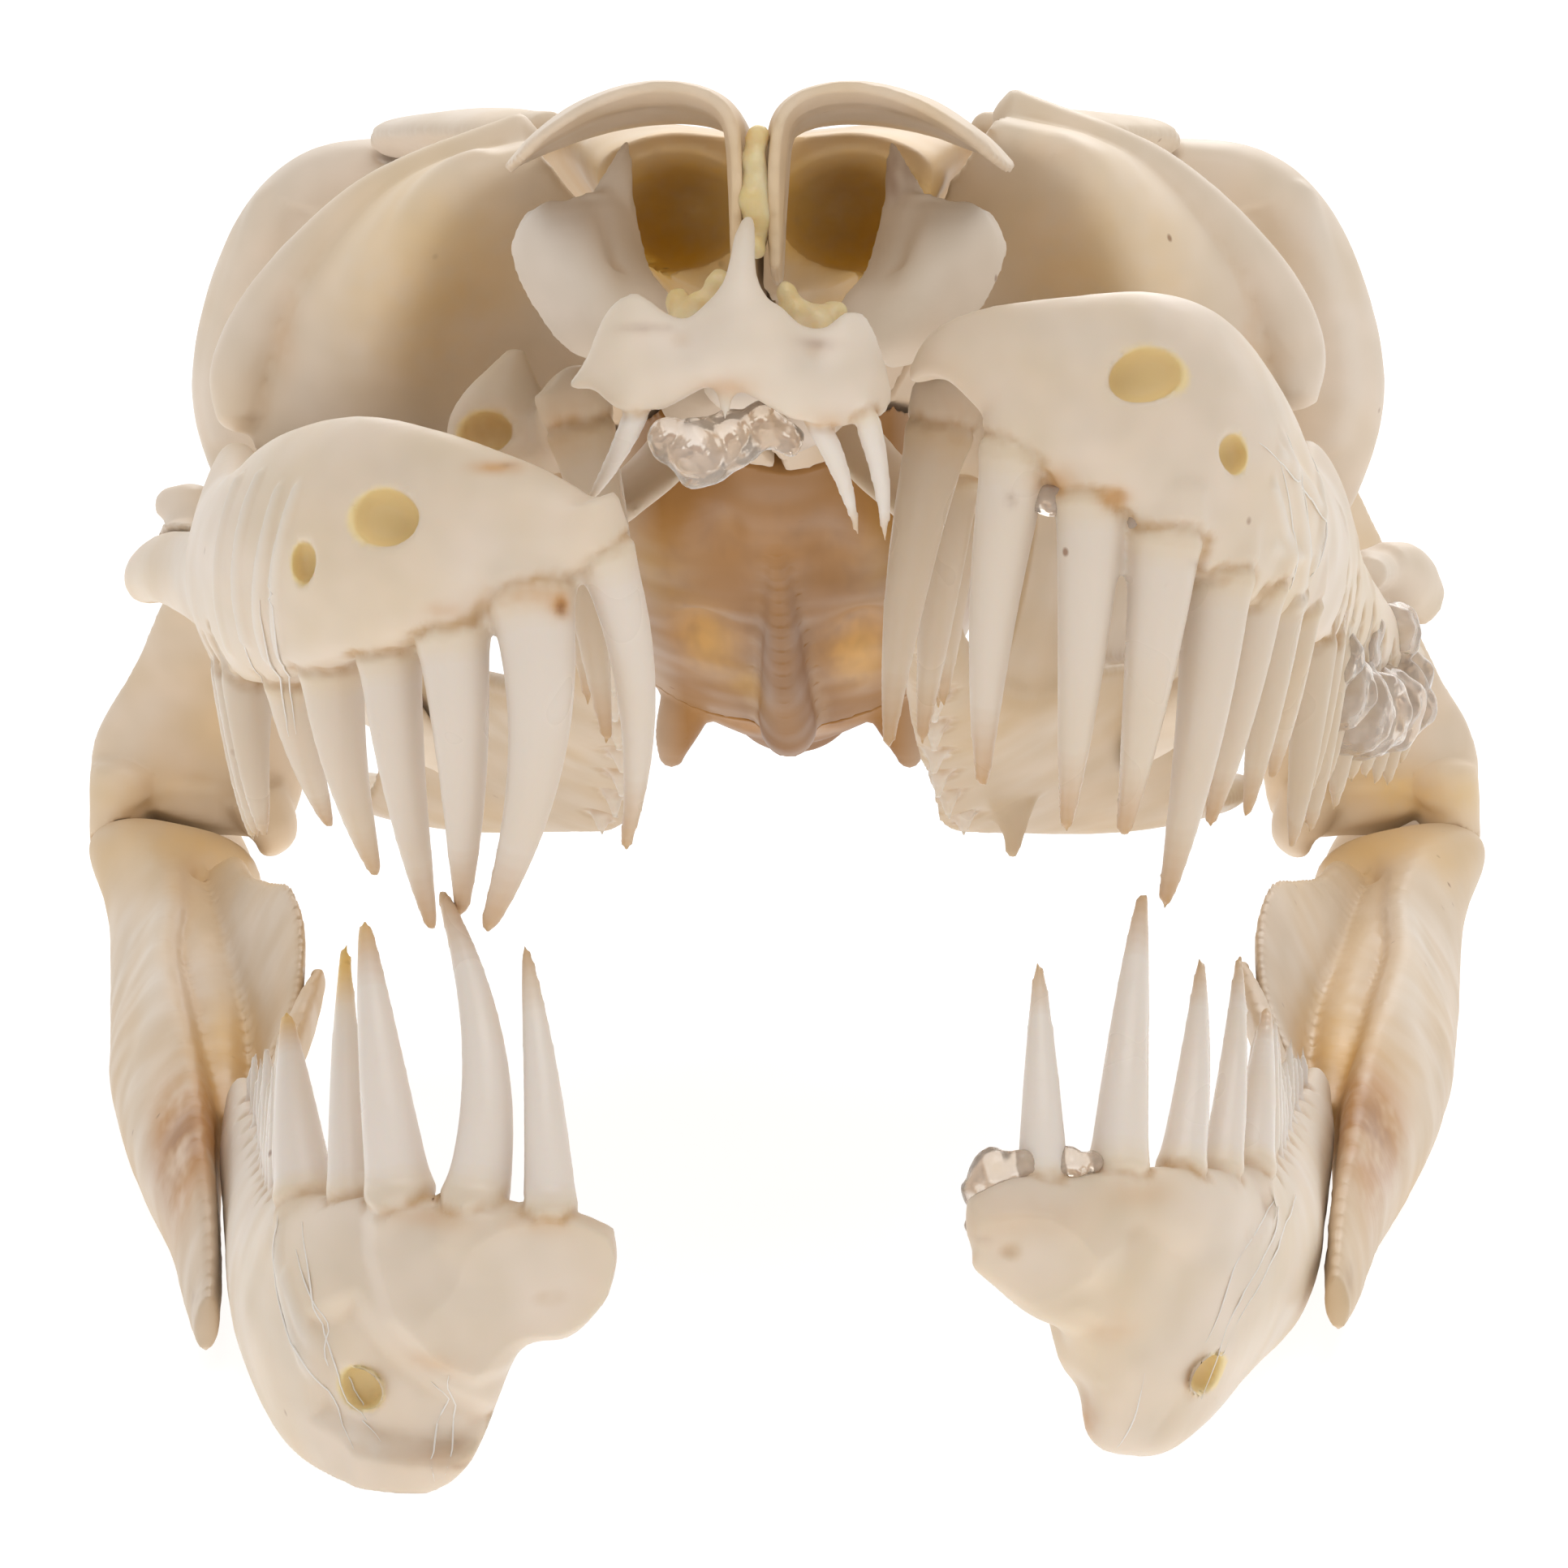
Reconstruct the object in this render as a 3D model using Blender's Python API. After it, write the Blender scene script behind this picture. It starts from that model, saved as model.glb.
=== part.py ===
"""A python's skull with its jaws agape, resting on its two lower jaws.

Metres, +Z up, the snout towards -Y, the origin on the floor under the middle of the skull.
Every table of stations is in millimetres and drawn for the animal's left side, at +X; the right side
mirrors it. The cranium is drawn level in its own frame: x out from the midline, y back from the snout
and z up from the palate. It is then tipped back by GAPE and set over the lower jaws, which are drawn
where they lie on the floor.
"""

import math

import bmesh
import bpy
import numpy as np
from mathutils import Matrix, Vector

MM = 0.001
GAP = 0.3  # the suture left between two bones
HEAVY, THINNED = 150, 0.74  # bones of more faces than this are thinned to this share of them
FLOOR_BLOCK = 0.4  # metres, the cube under the floor that levels the lower jaws
LEFT, RIGHT = 1, -1
SIDE_NAMES = {LEFT: "l", RIGHT: "r"}

GAPE = 15.6  # degrees that the palate rises towards the snout
SNOUT = (-1.2, 4.1, 40.1)  # the front of the palate over the floor frame
YAW = 0.9  # degrees that the snout points towards the right
MIDDLE = (0.0, 59.4, 0.0)  # the point of the floor frame that becomes the origin

JAW_PITCH = {LEFT: 0.7, RIGHT: 0.0}  # degrees that the front of each lower jaw stands off the floor
JAW_YAW = {LEFT: 0.8, RIGHT: 0.0}  # degrees that it turns towards the midline
JAW_HEEL = (28.0, 88.0, 0.0)  # where each lower jaw pitches and turns

UP, BACK = (0, 0, 1), (0, 1, 0)


def clear_scene():
    for obj in list(bpy.data.objects):
        bpy.data.objects.remove(obj)


BONE_COLOURS = {  # linear colour and roughness of each slot
    "toothed_bone": ((0.66, 0.55, 0.44), 0.45),
    "roof_bone": ((0.62, 0.48, 0.34), 0.5),
    "deep_bone": ((0.50, 0.33, 0.17), 0.55),
}
TOOTHED = ("premaxilla", "maxilla", "dentary", "palatine", "pterygoid")
DEEP = ("parabasisphenoid", "basioccipital", "vomer", "septomaxilla")


def slot_of(name):
    stem = name.split("_")[0]
    if stem in TOOTHED:
        return "toothed_bone"
    return "deep_bone" if stem in DEEP else "roof_bone"


def make_materials():
    for name, (colour, roughness) in BONE_COLOURS.items():
        made = bpy.data.materials.new(name)
        made.use_nodes = True
        shader = made.node_tree.nodes["Principled BSDF"]
        shader.inputs["Base Color"].default_value = (*colour, 1)
        shader.inputs["Roughness"].default_value = roughness
        shader.inputs["Metallic"].default_value = 0


def spline(rows, count):
    """A Catmull-Rom curve through rows of numbers, read at count even steps."""
    rows = np.array(rows, float)
    ends = np.concatenate([[2 * rows[0] - rows[1]], rows, [2 * rows[-1] - rows[-2]]])
    t = np.linspace(0, len(rows) - 1, count)
    i = np.minimum(t.astype(int), len(rows) - 2)
    f = (t - i).reshape(-1, *[1] * (rows.ndim - 1))
    a, b, c, d = ends[i], ends[i + 1], ends[i + 2], ends[i + 3]
    cubic = (3 * b - a - 3 * c + d) * f**3
    return 0.5 * (2 * b + (c - a) * f + (2 * a - 5 * b + 4 * c - d) * f**2 + cubic)


def solid(points, faces, side=LEFT):
    """A closed mesh object from points in millimetres, mirrored for the right side."""
    mesh = bpy.data.meshes.new("piece")
    placed = np.array(points, float) * (side, 1, 1) * MM
    mesh.from_pydata(placed.tolist(), [], [tuple(f) for f in faces])
    work = bmesh.new()
    work.from_mesh(mesh)
    bmesh.ops.recalc_face_normals(work, faces=work.faces)
    if work.calc_volume(signed=True) < 0:
        bmesh.ops.reverse_faces(work, faces=work.faces)
    bmesh.ops.triangulate(work, faces=work.faces)
    work.to_mesh(mesh)
    work.free()
    piece = bpy.data.objects.new("piece", mesh)
    bpy.context.scene.collection.objects.link(piece)
    return piece


def skin(rings, poles, side=LEFT):
    """Closes a run of rings of points into a solid, with a pole beyond each end."""
    count, sides = len(rings), len(rings[0])
    points = [p for ring in rings for p in ring] + list(poles)
    faces = []
    for i in range(count - 1):
        for k in range(sides):
            n = (k + 1) % sides
            a, b = i * sides, (i + 1) * sides
            faces.append((a + k, a + n, b + n, b + k))
    last = (count - 1) * sides
    for k in range(sides):
        n = (k + 1) % sides
        faces.append((n, k, count * sides))
        faces.append((last + k, last + n, count * sides + 1))
    return solid(points, faces, side)


def bar(stations, rings, sides, side=LEFT, up=UP, dome=0.5):
    """A tapering round-ended bar. A station is x, y, z, half width, half height and a roll in degrees
    that leans its top towards the midline."""
    rows = spline([(*s, 0) if len(s) == 5 else s for s in stations], rings)
    centre = rows[:, :3]
    along = np.gradient(centre, axis=0)
    along /= np.linalg.norm(along, axis=1, keepdims=True)
    out = np.cross(along, up)
    out /= np.linalg.norm(out, axis=1, keepdims=True)
    top = np.cross(out, along)
    loops = []
    for c, o, t, (w, h, roll) in zip(centre, out, top, rows[:, 3:]):
        r = math.radians(roll)
        o, t = o * math.cos(r) + t * math.sin(r), t * math.cos(r) - o * math.sin(r)
        angles = 2 * math.pi * (np.arange(sides) + 0.5) / sides
        loops.append([c + o * w * math.cos(a) + t * h * math.sin(a) for a in angles])
    reach = dome * rows[:, 3:5].min(axis=1)
    poles = (centre[0] - along[0] * reach[0], centre[-1] + along[-1] * reach[-1])
    return skin(loops, poles, side)


def blade(stations, rings, sides, side=LEFT, dome=0.4):
    """A bar between an upper and a lower edge. A station is the upper edge's x, y, z, the lower
    edge's x, y, z and the half widths at the top, the middle and the bottom."""
    rows = spline(stations, rings)
    top, low, wide = rows[:, :3], rows[:, 3:6], rows[:, 6:]
    middle = (top + low) / 2
    along = np.gradient(middle, axis=0)
    along /= np.linalg.norm(along, axis=1, keepdims=True)
    loops = []
    for m, a, u, w in zip(middle, along, top - low, wide):
        out = np.cross(a, u)
        out /= np.linalg.norm(out)
        loop = []
        for k in range(sides):
            angle = 2 * math.pi * (k + 0.5) / sides
            s = 0.5 + 0.5 * math.sin(angle)
            half = w[0] * s * (2 * s - 1) + w[1] * 4 * s * (1 - s) + w[2] * (1 - s) * (1 - 2 * s)
            square = math.copysign(abs(math.cos(angle)) ** 0.7, math.cos(angle))
            loop.append(m + u * (s - 0.5) + out * half * square)
        loops.append(loop)
    reach = dome * wide[:, 1]
    poles = (middle[0] - along[0] * reach[0], middle[-1] + along[-1] * reach[-1])
    return skin(loops, poles, side)


def plate(grid, thickness, across, along, side=LEFT):
    """A curved plate through a grid of points, its two faces split into triangles alike."""
    fine = spline(np.swapaxes(spline(grid, along), 0, 1), across)
    normal = np.cross(np.gradient(fine, axis=0), np.gradient(fine, axis=1))
    normal /= np.linalg.norm(normal, axis=2, keepdims=True)
    faces_of = [fine + normal * thickness / 2, fine - normal * thickness / 2]
    rows, columns = fine.shape[:2]
    points = np.concatenate([f.reshape(-1, 3) for f in faces_of])
    under = rows * columns
    faces = []
    for i in range(rows - 1):
        for j in range(columns - 1):
            a = i * columns + j
            b, c, d = a + 1, a + columns + 1, a + columns
            faces += [(a, b, c), (a, c, d)]
            faces += [(under + a, under + c, under + b), (under + a, under + d, under + c)]
    rim = [j for j in range(columns)]
    rim += [i * columns + columns - 1 for i in range(1, rows)]
    rim += [(rows - 1) * columns + j for j in range(columns - 2, -1, -1)]
    rim += [i * columns for i in range(rows - 2, 0, -1)]
    for a, b in zip(rim, rim[1:] + rim[:1]):
        faces.append((a, under + a, under + b, b))
    return solid(points, faces, side)


def fang(root, tip, bow, radius, side=LEFT, sides=5, rings=4, sink=1.6):
    """A curved tooth that thins to a point: bow is how far its middle stands off the straight line."""
    root, tip, bow = (np.array(v, float) for v in (root, tip, bow))
    start = root - (tip - root + 4 * bow) / np.linalg.norm(tip - root + 4 * bow) * sink
    loops = []
    for t in np.linspace(0, 1, rings, endpoint=False):
        centre = root + (tip - root) * t + bow * 4 * t * (1 - t) if t else start
        along = tip - root + bow * 4 * (1 - 2 * t)
        along /= np.linalg.norm(along)
        out = np.cross(along, BACK)
        out /= np.linalg.norm(out)
        top = np.cross(out, along)
        wide = radius * (1 - t) ** 0.62
        angles = 2 * math.pi * np.arange(sides) / sides
        loops.append([centre + wide * (out * math.cos(a) + top * math.sin(a)) for a in angles])
    return skin(loops, (start, tip), side)


def apply_modifiers(obj):
    bpy.context.view_layer.update()
    graph = bpy.context.evaluated_depsgraph_get()
    made = bpy.data.meshes.new_from_object(obj.evaluated_get(graph))
    obj.modifiers.clear()
    obj.data = made


def keep_largest(obj):
    """Drops all but the largest closed surface of a mesh."""
    work = bmesh.new()
    work.from_mesh(obj.data)
    shells = sorted(loose_shells(work), key=shell_size)
    loose = [v for shell in shells[:-1] for v in shell]
    bmesh.ops.delete(work, geom=loose, context="VERTS")
    work.to_mesh(obj.data)
    work.free()


def shell_size(shell):
    """The product of a shell's three extents."""
    points = np.array([v.co for v in shell])
    return float(np.prod(points.max(axis=0) - points.min(axis=0)))


def boolean(obj, others, operation):
    """Applies one Boolean of obj with a collection of closed meshes, which are then removed."""
    group = bpy.data.collections.new("pieces")
    for other in others:
        group.objects.link(other)
    modifier = obj.modifiers.new(operation.lower(), "BOOLEAN")
    modifier.operation = operation
    modifier.solver = "EXACT"
    modifier.operand_type = "COLLECTION"
    modifier.collection = group
    apply_modifiers(obj)
    for other in others:
        bpy.data.objects.remove(other)
    bpy.data.collections.remove(group)


def is_closed(mesh):
    work = bmesh.new()
    work.from_mesh(mesh)
    closed = all(len(edge.link_faces) == 2 for edge in work.edges)
    work.free()
    return closed


def thin_out(obj, ratio):
    """Collapses the slivers that Booleans leave, unless that would open the surface."""
    before = obj.data
    modifier = obj.modifiers.new("thin out", "DECIMATE")
    modifier.ratio = ratio
    apply_modifiers(obj)
    if not is_closed(obj.data):
        obj.data = before


def bone(name, pieces, frame, holes=()):
    """Joins pieces into one bone, bores its holes and puts it in its place."""
    first, *others = pieces
    if others:
        boolean(first, others, "UNION")
        keep_largest(first)
    if holes:
        boolean(first, holes, "DIFFERENCE")
    first.name = name
    first.data.name = name
    first.data.transform(frame)
    first.data.materials.clear()
    first.data.materials.append(bpy.data.materials[slot_of(name)])
    return first


def swollen(obj, by):
    """A copy of a bone with its surface moved out."""
    copy = bpy.data.objects.new("swollen", obj.data.copy())
    bpy.context.scene.collection.objects.link(copy)
    work = bmesh.new()
    work.from_mesh(copy.data)
    work.normal_update()
    moves = [v.normal * by * MM * min(v.calc_shell_factor(), 1.6) for v in work.verts]
    for vert, move in zip(work.verts, moves):
        vert.co += move
    work.to_mesh(copy.data)
    work.free()
    return copy


def part_from(obj, *neighbours):
    """Cuts a bone back from its neighbours, leaving a suture between them."""
    for other in neighbours:
        boolean(obj, [swollen(other, GAP)], "DIFFERENCE")
    keep_largest(obj)


def shift(vector):
    return Matrix.Translation(Vector(vector) * MM)


def turn(degrees, axis):
    return Matrix.Rotation(math.radians(degrees), 4, axis)


# Frames

def make_frames():
    """The matrices that put the bones in place: of the whole skull, its cranium and each lower jaw."""
    skull = shift((-MIDDLE[0], -MIDDLE[1], -MIDDLE[2]))
    frames = {"skull": skull, "cranium": skull @ shift(SNOUT) @ turn(-YAW, "Z") @ turn(-GAPE, "X")}
    for side, letter in SIDE_NAMES.items():
        heel = np.array(JAW_HEEL) * (side, 1, 1)
        tilt = turn(JAW_YAW[side] * -side, "Z") @ turn(-JAW_PITCH[side], "X")
        frames["jaw_" + letter] = skull @ shift(heel) @ tilt @ shift(-heel)
    return frames


# Snout

def make_premaxilla(frames):
    """The one bone of the snout that is drawn as it stands, from the right side to the left."""
    body = [
        (-6.7, 3.4, 1.7, -6.6, 3.4, 1.3, 0.3, 0.4, 0.3), (-5.6, 2.7, 3.0, -5.4, 2.7, 0.6, 0.6, 0.9, 0.5),
        (-4.6, 2.2, 4.2, -4.0, 2.1, 0.0, 0.6, 1.2, 0.8), (-2.6, 1.6, 3.4, -2.4, 1.5, 0.5, 0.8, 1.3, 0.8),
        (-0.6, 1.1, 4.2, -0.7, 1.1, 1.0, 0.9, 1.4, 0.8), (1.6, 1.4, 3.2, 1.4, 1.3, 0.6, 0.8, 1.3, 0.8),
        (3.6, 2.0, 3.9, 3.4, 1.9, -0.3, 0.6, 1.2, 0.8), (4.7, 2.7, 2.6, 4.6, 2.7, -0.2, 0.5, 0.9, 0.5),
        (5.1, 3.3, 1.4, 5.0, 3.3, 0.2, 0.3, 0.4, 0.3),
    ]
    rise = [(-0.5, 1.3, 3.2, 2.3, 0.9), (-0.4, 1.8, 5.0, 1.0, 0.7), (-0.3, 3.2, 6.8, 0.55, 0.5),
            (-0.2, 4.9, 8.0, 0.4, 0.4)]
    floor = [(-0.5, 1.8, 1.6, 1.2, 0.7), (-0.5, 5.4, 1.6, 1.4, 0.6), (-0.4, 8.8, 1.7, 1.2, 0.5)]
    pieces = [blade(body, 17, 8), bar(rise, 6, 8, up=BACK), bar(floor, 5, 8)]
    teeth = [((-4.2, 2.3, 0.6), (-6.5, 5.0, -3.2)), ((2.3, 1.9, 0.2), (3.9, 4.4, -4.3)),
             ((3.8, 2.3, 0.2), (4.7, 4.8, -4.6))]
    pieces += [fang(root, tip, (0.2, -0.4, 0.0), 0.8, sink=1.0) for root, tip in teeth]
    return [bone("premaxilla", pieces, frames["cranium"])]


def make_nasal(side, frames):
    hood = [
        [(0.75, 5.6, 6.2), (0.7, 5.0, 8.5), (0.75, 4.6, 10.6), (1.1, 4.3, 12.0), (2.2, 4.2, 12.75),
         (4.0, 4.2, 12.9), (6.0, 4.6, 12.4), (7.9, 5.8, 11.5), (9.0, 7.8, 10.9)],
        [(0.75, 9.0, 6.4), (0.72, 9.0, 9.0), (0.75, 9.0, 11.4), (1.1, 9.0, 12.8), (2.4, 9.0, 13.5),
         (4.4, 9.0, 13.6), (6.6, 9.2, 13.0), (8.5, 10.0, 12.0), (9.6, 11.4, 11.2)],
        [(0.75, 15.5, 7.6), (0.72, 16.0, 10.4), (0.75, 16.0, 12.8), (1.1, 16.0, 14.0), (2.4, 16.0, 14.6),
         (4.4, 16.0, 14.7), (6.6, 16.4, 14.3), (8.6, 17.0, 13.4), (9.8, 17.8, 12.6)],
        [(0.75, 20.5, 11.0), (0.72, 21.8, 12.8), (0.75, 23.0, 14.2), (1.1, 23.8, 15.1), (2.2, 24.0, 15.6),
         (3.8, 24.0, 15.7), (5.6, 24.0, 15.5), (7.4, 24.2, 15.1), (8.8, 24.4, 14.7)],
    ]
    pieces = [plate(hood, 0.9, 11, 5, side)]
    return bone("nasal_" + SIDE_NAMES[side], pieces, frames["cranium"])


def make_septomaxilla(side, frames):
    cup = [
        [(9.5, 13.5, 8.5), (8.8, 12.5, 9.7), (7.3, 11.5, 9.9), (6.1, 11.5, 10.3), (4.9, 12.5, 10.2)],
        [(9.2, 12.5, 7.3), (8.0, 10.5, 8.1), (6.8, 9.8, 8.3), (5.7, 10.8, 8.5), (4.6, 12.2, 8.6)],
        [(8.4, 11.5, 5.7), (7.2, 9.2, 6.4), (6.1, 8.8, 6.5), (5.2, 9.8, 6.5), (4.2, 11.5, 7.2)],
        [(7.1, 10.5, 4.0), (6.2, 8.6, 4.6), (5.5, 8.4, 5.2), (4.6, 9.2, 5.7), (3.5, 10.5, 6.1)],
        [(5.0, 10.5, 3.3), (4.3, 9.4, 3.5), (3.7, 9.3, 3.8), (3.1, 10.0, 4.1), (2.4, 11.2, 4.2)],
    ]
    spike = [(5.8, 11.9, 9.4, 1.0, 0.4), (5.4, 12.0, 11.0, 0.65, 0.4), (5.1, 12.4, 12.5, 0.25, 0.25)]
    pieces = [plate(cup, 0.8, 6, 7, side), bar(spike, 5, 6, side, BACK)]
    if side == LEFT:
        twig = [(7.6, 12.4, 6.6, 0.45, 0.45), (9.4, 15.5, 7.6, 0.4, 0.4), (10.8, 17.5, 9.0, 0.5, 0.5)]
        pieces.append(bar(twig, 4, 6, side))
    return bone("septomaxilla_" + SIDE_NAMES[side], pieces, frames["cranium"])


def make_vomer(side, frames):
    body = [(1.9, 9.2, 2.8, 1.0, 1.2), (2.3, 12.0, 2.7, 1.6, 1.6), (1.8, 17.0, 2.9, 1.2, 1.6),
            (1.1, 24.0, 3.8, 0.7, 1.5), (0.9, 31.0, 5.4, 0.45, 0.7)]
    piece = bar(body, 9, 8, side)
    return bone("vomer_" + SIDE_NAMES[side], [piece], frames["cranium"])


# Brow and orbit

def make_prefrontal(side, frames):
    shell = [
        [(10.0, 31.0, 16.6), (9.0, 24.5, 15.0), (7.6, 28.5, 13.8), (6.2, 31.5, 13.6)],
        [(15.6, 31.0, 14.6), (12.4, 24.4, 13.4), (9.4, 29.5, 11.6), (6.9, 33.5, 11.4)],
        [(19.6, 32.0, 10.6), (14.6, 26.0, 9.6), (11.6, 31.5, 8.8), (7.2, 35.5, 8.8)],
        [(21.4, 32.4, 6.4), (15.8, 29.6, 5.2), (12.2, 31.5, 5.2), (8.4, 34.0, 5.8)],
        [(20.6, 32.0, 3.4), (16.0, 31.0, 2.6), (12.6, 31.8, 2.8), (9.2, 33.6, 3.8)],
    ]
    ridge = [(9.6, 29.6, 16.6, 1.2, 1.0), (15.6, 30.8, 14.4, 1.2, 1.2), (19.6, 32.0, 10.8, 1.4, 1.5),
             (21.4, 32.2, 7.6, 1.4, 1.5), (21.6, 32.0, 5.2, 0.9, 1.1)]
    low = 0.5 * side
    shell = [[(x, y, z + low) for x, y, z in row] for row in shell]
    ridge = [(x, y, z + low, wide, deep) for x, y, z, wide, deep in ridge]
    pieces = [plate(shell, 1.1, 8, 9, side), bar(ridge, 7, 8, side, BACK)]
    return bone("prefrontal_" + SIDE_NAMES[side], pieces, frames["cranium"])


def make_supraorbital(side, frames):
    rim = [(9.0, 31.4, 17.0, 0.8, 0.6, -10), (10.6, 35.6, 17.8, 1.6, 0.7, -10),
           (12.4, 41.0, 18.9, 2.6, 0.8, -8),
           (14.6, 46.6, 19.7, 2.8, 0.9, -4), (16.4, 49.4, 19.9, 1.4, 0.7, 0)]
    return bone("supraorbital_" + SIDE_NAMES[side], [bar(rim, 8, 8, side)], frames["cranium"])


def make_postorbital(side, frames):
    out = 0.45 * side
    arch = [(12.0, 50.4, 18.6, 1.4, 2.0), (17.0 + out, 51.4, 18.9, 1.6, 2.6),
            (20.4 + out, 52.4, 18.1, 2.0, 3.0),
            (22.5 + out, 54.0, 15.4, 2.3, 3.0), (23.8 + out, 56.4, 10.7, 2.4, 2.6),
            (23.5 + out, 58.2, 6.8, 1.8, 2.0),
            (23.0 + out, 59.0, 4.3, 0.9, 1.0)]
    piece = bar(arch, 13, 10, side, BACK)
    return bone("postorbital_" + SIDE_NAMES[side], [piece], frames["cranium"])


# Braincase

BRAINCASE = [  # y, crest, upper slope x z, widest x z, lower side x z, lower edge x z, keel
    (24.2, 15.0, 4.2, 15.2, 6.6, 13.8, 5.6, 11.0, 3.0, 9.2, 8.8),
    (34.0, 17.2, 5.0, 17.6, 8.6, 16.8, 5.6, 12.4, 3.2, 8.6, 7.2),
    (43.0, 19.0, 6.0, 19.4, 10.4, 18.6, 6.4, 13.0, 3.6, 7.4, 5.8),
    (50.0, 20.0, 6.6, 20.0, 12.8, 18.4, 9.0, 12.6, 4.4, 6.2, 4.6),
    (57.0, 20.5, 4.6, 19.0, 11.2, 14.6, 10.6, 9.4, 5.8, 4.4, 3.6),
    (66.0, 20.8, 2.6, 18.0, 9.6, 13.2, 10.4, 8.6, 6.4, 3.6, 2.4),
    (76.0, 20.4, 2.0, 17.4, 8.2, 12.6, 9.6, 8.0, 6.4, 3.0, 1.6),
    (86.0, 19.4, 1.8, 16.8, 7.4, 12.6, 9.4, 8.2, 6.8, 2.8, 0.8),
    (96.0, 17.0, 2.8, 15.2, 8.4, 12.2, 9.6, 7.8, 6.4, 2.4, 0.4),
    (103.0, 14.6, 4.2, 13.4, 7.4, 10.4, 6.8, 6.2, 4.2, 2.2, 0.6),
    (108.0, 12.6, 3.8, 11.8, 5.4, 9.2, 4.8, 5.8, 3.2, 2.6, 1.4),
]
BRAINCASE_RINGS, BRAINCASE_SIDES = 22, 20


def braincase_ring(row):
    """One closed section of the braincase: its left half's points, and their mirror images."""
    y, crest, *half, keel = row
    pairs = list(zip(half[::2], half[1::2]))
    loop = [(0, crest), *pairs, (0, keel), *[(-x, z) for x, z in reversed(pairs)]]
    round_again = loop[-2:] + loop + loop[:3]
    smooth = spline(round_again, 2 * len(round_again) - 1)
    return [(x, y, z) for x, z in smooth[4 : 4 + BRAINCASE_SIDES]]


def parted(obj, axis, at, wave=0.4, length=6.0, centre=(0.0, 60.0, 10.0)):
    """Cuts one closed mesh in two along a suture, and gives the lower part on that axis first."""
    index = "xyz".index(axis)
    others = [i for i in range(3) if i != index]
    steps, reach = 61, 62.0
    grid = []
    for a in np.linspace(-reach, reach, steps) + centre[others[0]]:
        row = []
        for b in (centre[others[1]] - reach, centre[others[1]] + reach):
            point = [0.0, 0.0, 0.0]
            point[others[0]], point[others[1]] = a, b
            point[index] = at(a) + wave * math.sin(2 * math.pi * a / length)
            row.append(point)
        grid.append(row)
    boolean(obj, [plate(grid, GAP, 2, steps)], "DIFFERENCE")
    work = bmesh.new()
    work.from_mesh(obj.data)
    work.verts.index_update()
    shells = sorted(loose_shells(work), key=shell_size)[-2:]
    shells.sort(key=lambda s: shell_middle(s)[index])
    indices = [{v.index for v in shell} for shell in shells]
    work.free()
    return [part_of(obj, chosen) for chosen in indices]


def part_of(obj, chosen):
    """A new object with only the chosen vertices of another."""
    mesh = obj.data.copy()
    work = bmesh.new()
    work.from_mesh(mesh)
    work.verts.index_update()
    bmesh.ops.delete(work, geom=[v for v in work.verts if v.index not in chosen], context="VERTS")
    work.to_mesh(mesh)
    work.free()
    made = bpy.data.objects.new("part", mesh)
    bpy.context.scene.collection.objects.link(made)
    return made


def make_braincase(frames):
    """Models the braincase whole, then parts it along its sutures."""
    rings = [braincase_ring(row) for row in spline(BRAINCASE, BRAINCASE_RINGS)]
    ends = [np.mean(rings[0], axis=0) - (0, 0.4, 0), np.mean(rings[-1], axis=0) + (0, 0.4, 0)]
    whole = skin(rings, ends)
    condyle = bar([(0, 103, 3.6, 3.6, 2.6), (0, 108, 3.2, 3.0, 2.4), (0, 110, 3.2, 1.8, 1.5)], 5, 8)
    keel = bar([(0, 62, 3.4, 1.0, 1.4), (0, 78, 1.6, 1.2, 1.8), (0, 92, 0.4, 1.4, 1.6),
                (0, 99, 0.6, 1.0, 0.9)], 7, 8)
    spurs = [bar([(4.6, 96, 2.6, 1.6, 1.2), (5.6, 99, 0.6, 1.0, 1.0),
                  (5.9, 100.5, -0.6, 0.5, 0.5)], 4, 6, side)
             for side in (LEFT, RIGHT)]
    boolean(whole, [condyle, keel, *spurs], "UNION")
    brain_hole = bar([(0, 100, 8.2, 2.2, 2.4), (0, 112, 8.2, 2.6, 2.8)], 2, 8)
    nose_holes = [bar([(3.2, 21, 12.2, 1.7, 1.5),
                       (3.0, 29, 12.6, 1.1, 1.1)], 3, 8, side) for side in (LEFT, RIGHT)]
    boolean(whole, [brain_hole, *nose_holes], "DIFFERENCE")
    front, back = parted(whole, "y", lambda x: 46.6 + 0.012 * x * x, 0.5, 7.0)
    parts = dict(zip(("frontal_r", "frontal_l"), parted(front, "x", lambda y: 0.0, 0.25, 5.0)))
    middle, rear = parted(back, "y", lambda x: 94.4, 0.4, 6.0)
    base, roof = parted(middle, "z", lambda x: 8.2, 0.3, 5.0)
    parts["parabasisphenoid"] = base
    parts["parietal"], ear = parted(roof, "y", lambda x: 84.5 - 0.02 * x * x, 0.4, 5.0)
    ear_low, ear_top = parted(ear, "z", lambda x: 12.4, 0.3, 7.0)
    parts["basioccipital"], sides = parted(rear, "z", lambda x: 5.0, 0.3, 6.0)
    parts["prootic_r"], parts["prootic_l"] = parted(ear_low, "x", lambda y: 0.0, 0.0, 5.0)
    parts["exoccipital_r"], parts["exoccipital_l"] = parted(sides, "x", lambda y: 0.0, 0.0, 5.0)
    parts["supraoccipital"] = ear_top
    for spare in (whole, front, back, middle, rear, roof, ear, ear_low, sides):
        bpy.data.objects.remove(spare)
    return [bone(name, [obj], frames["cranium"]) for name, obj in parts.items()]


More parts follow.
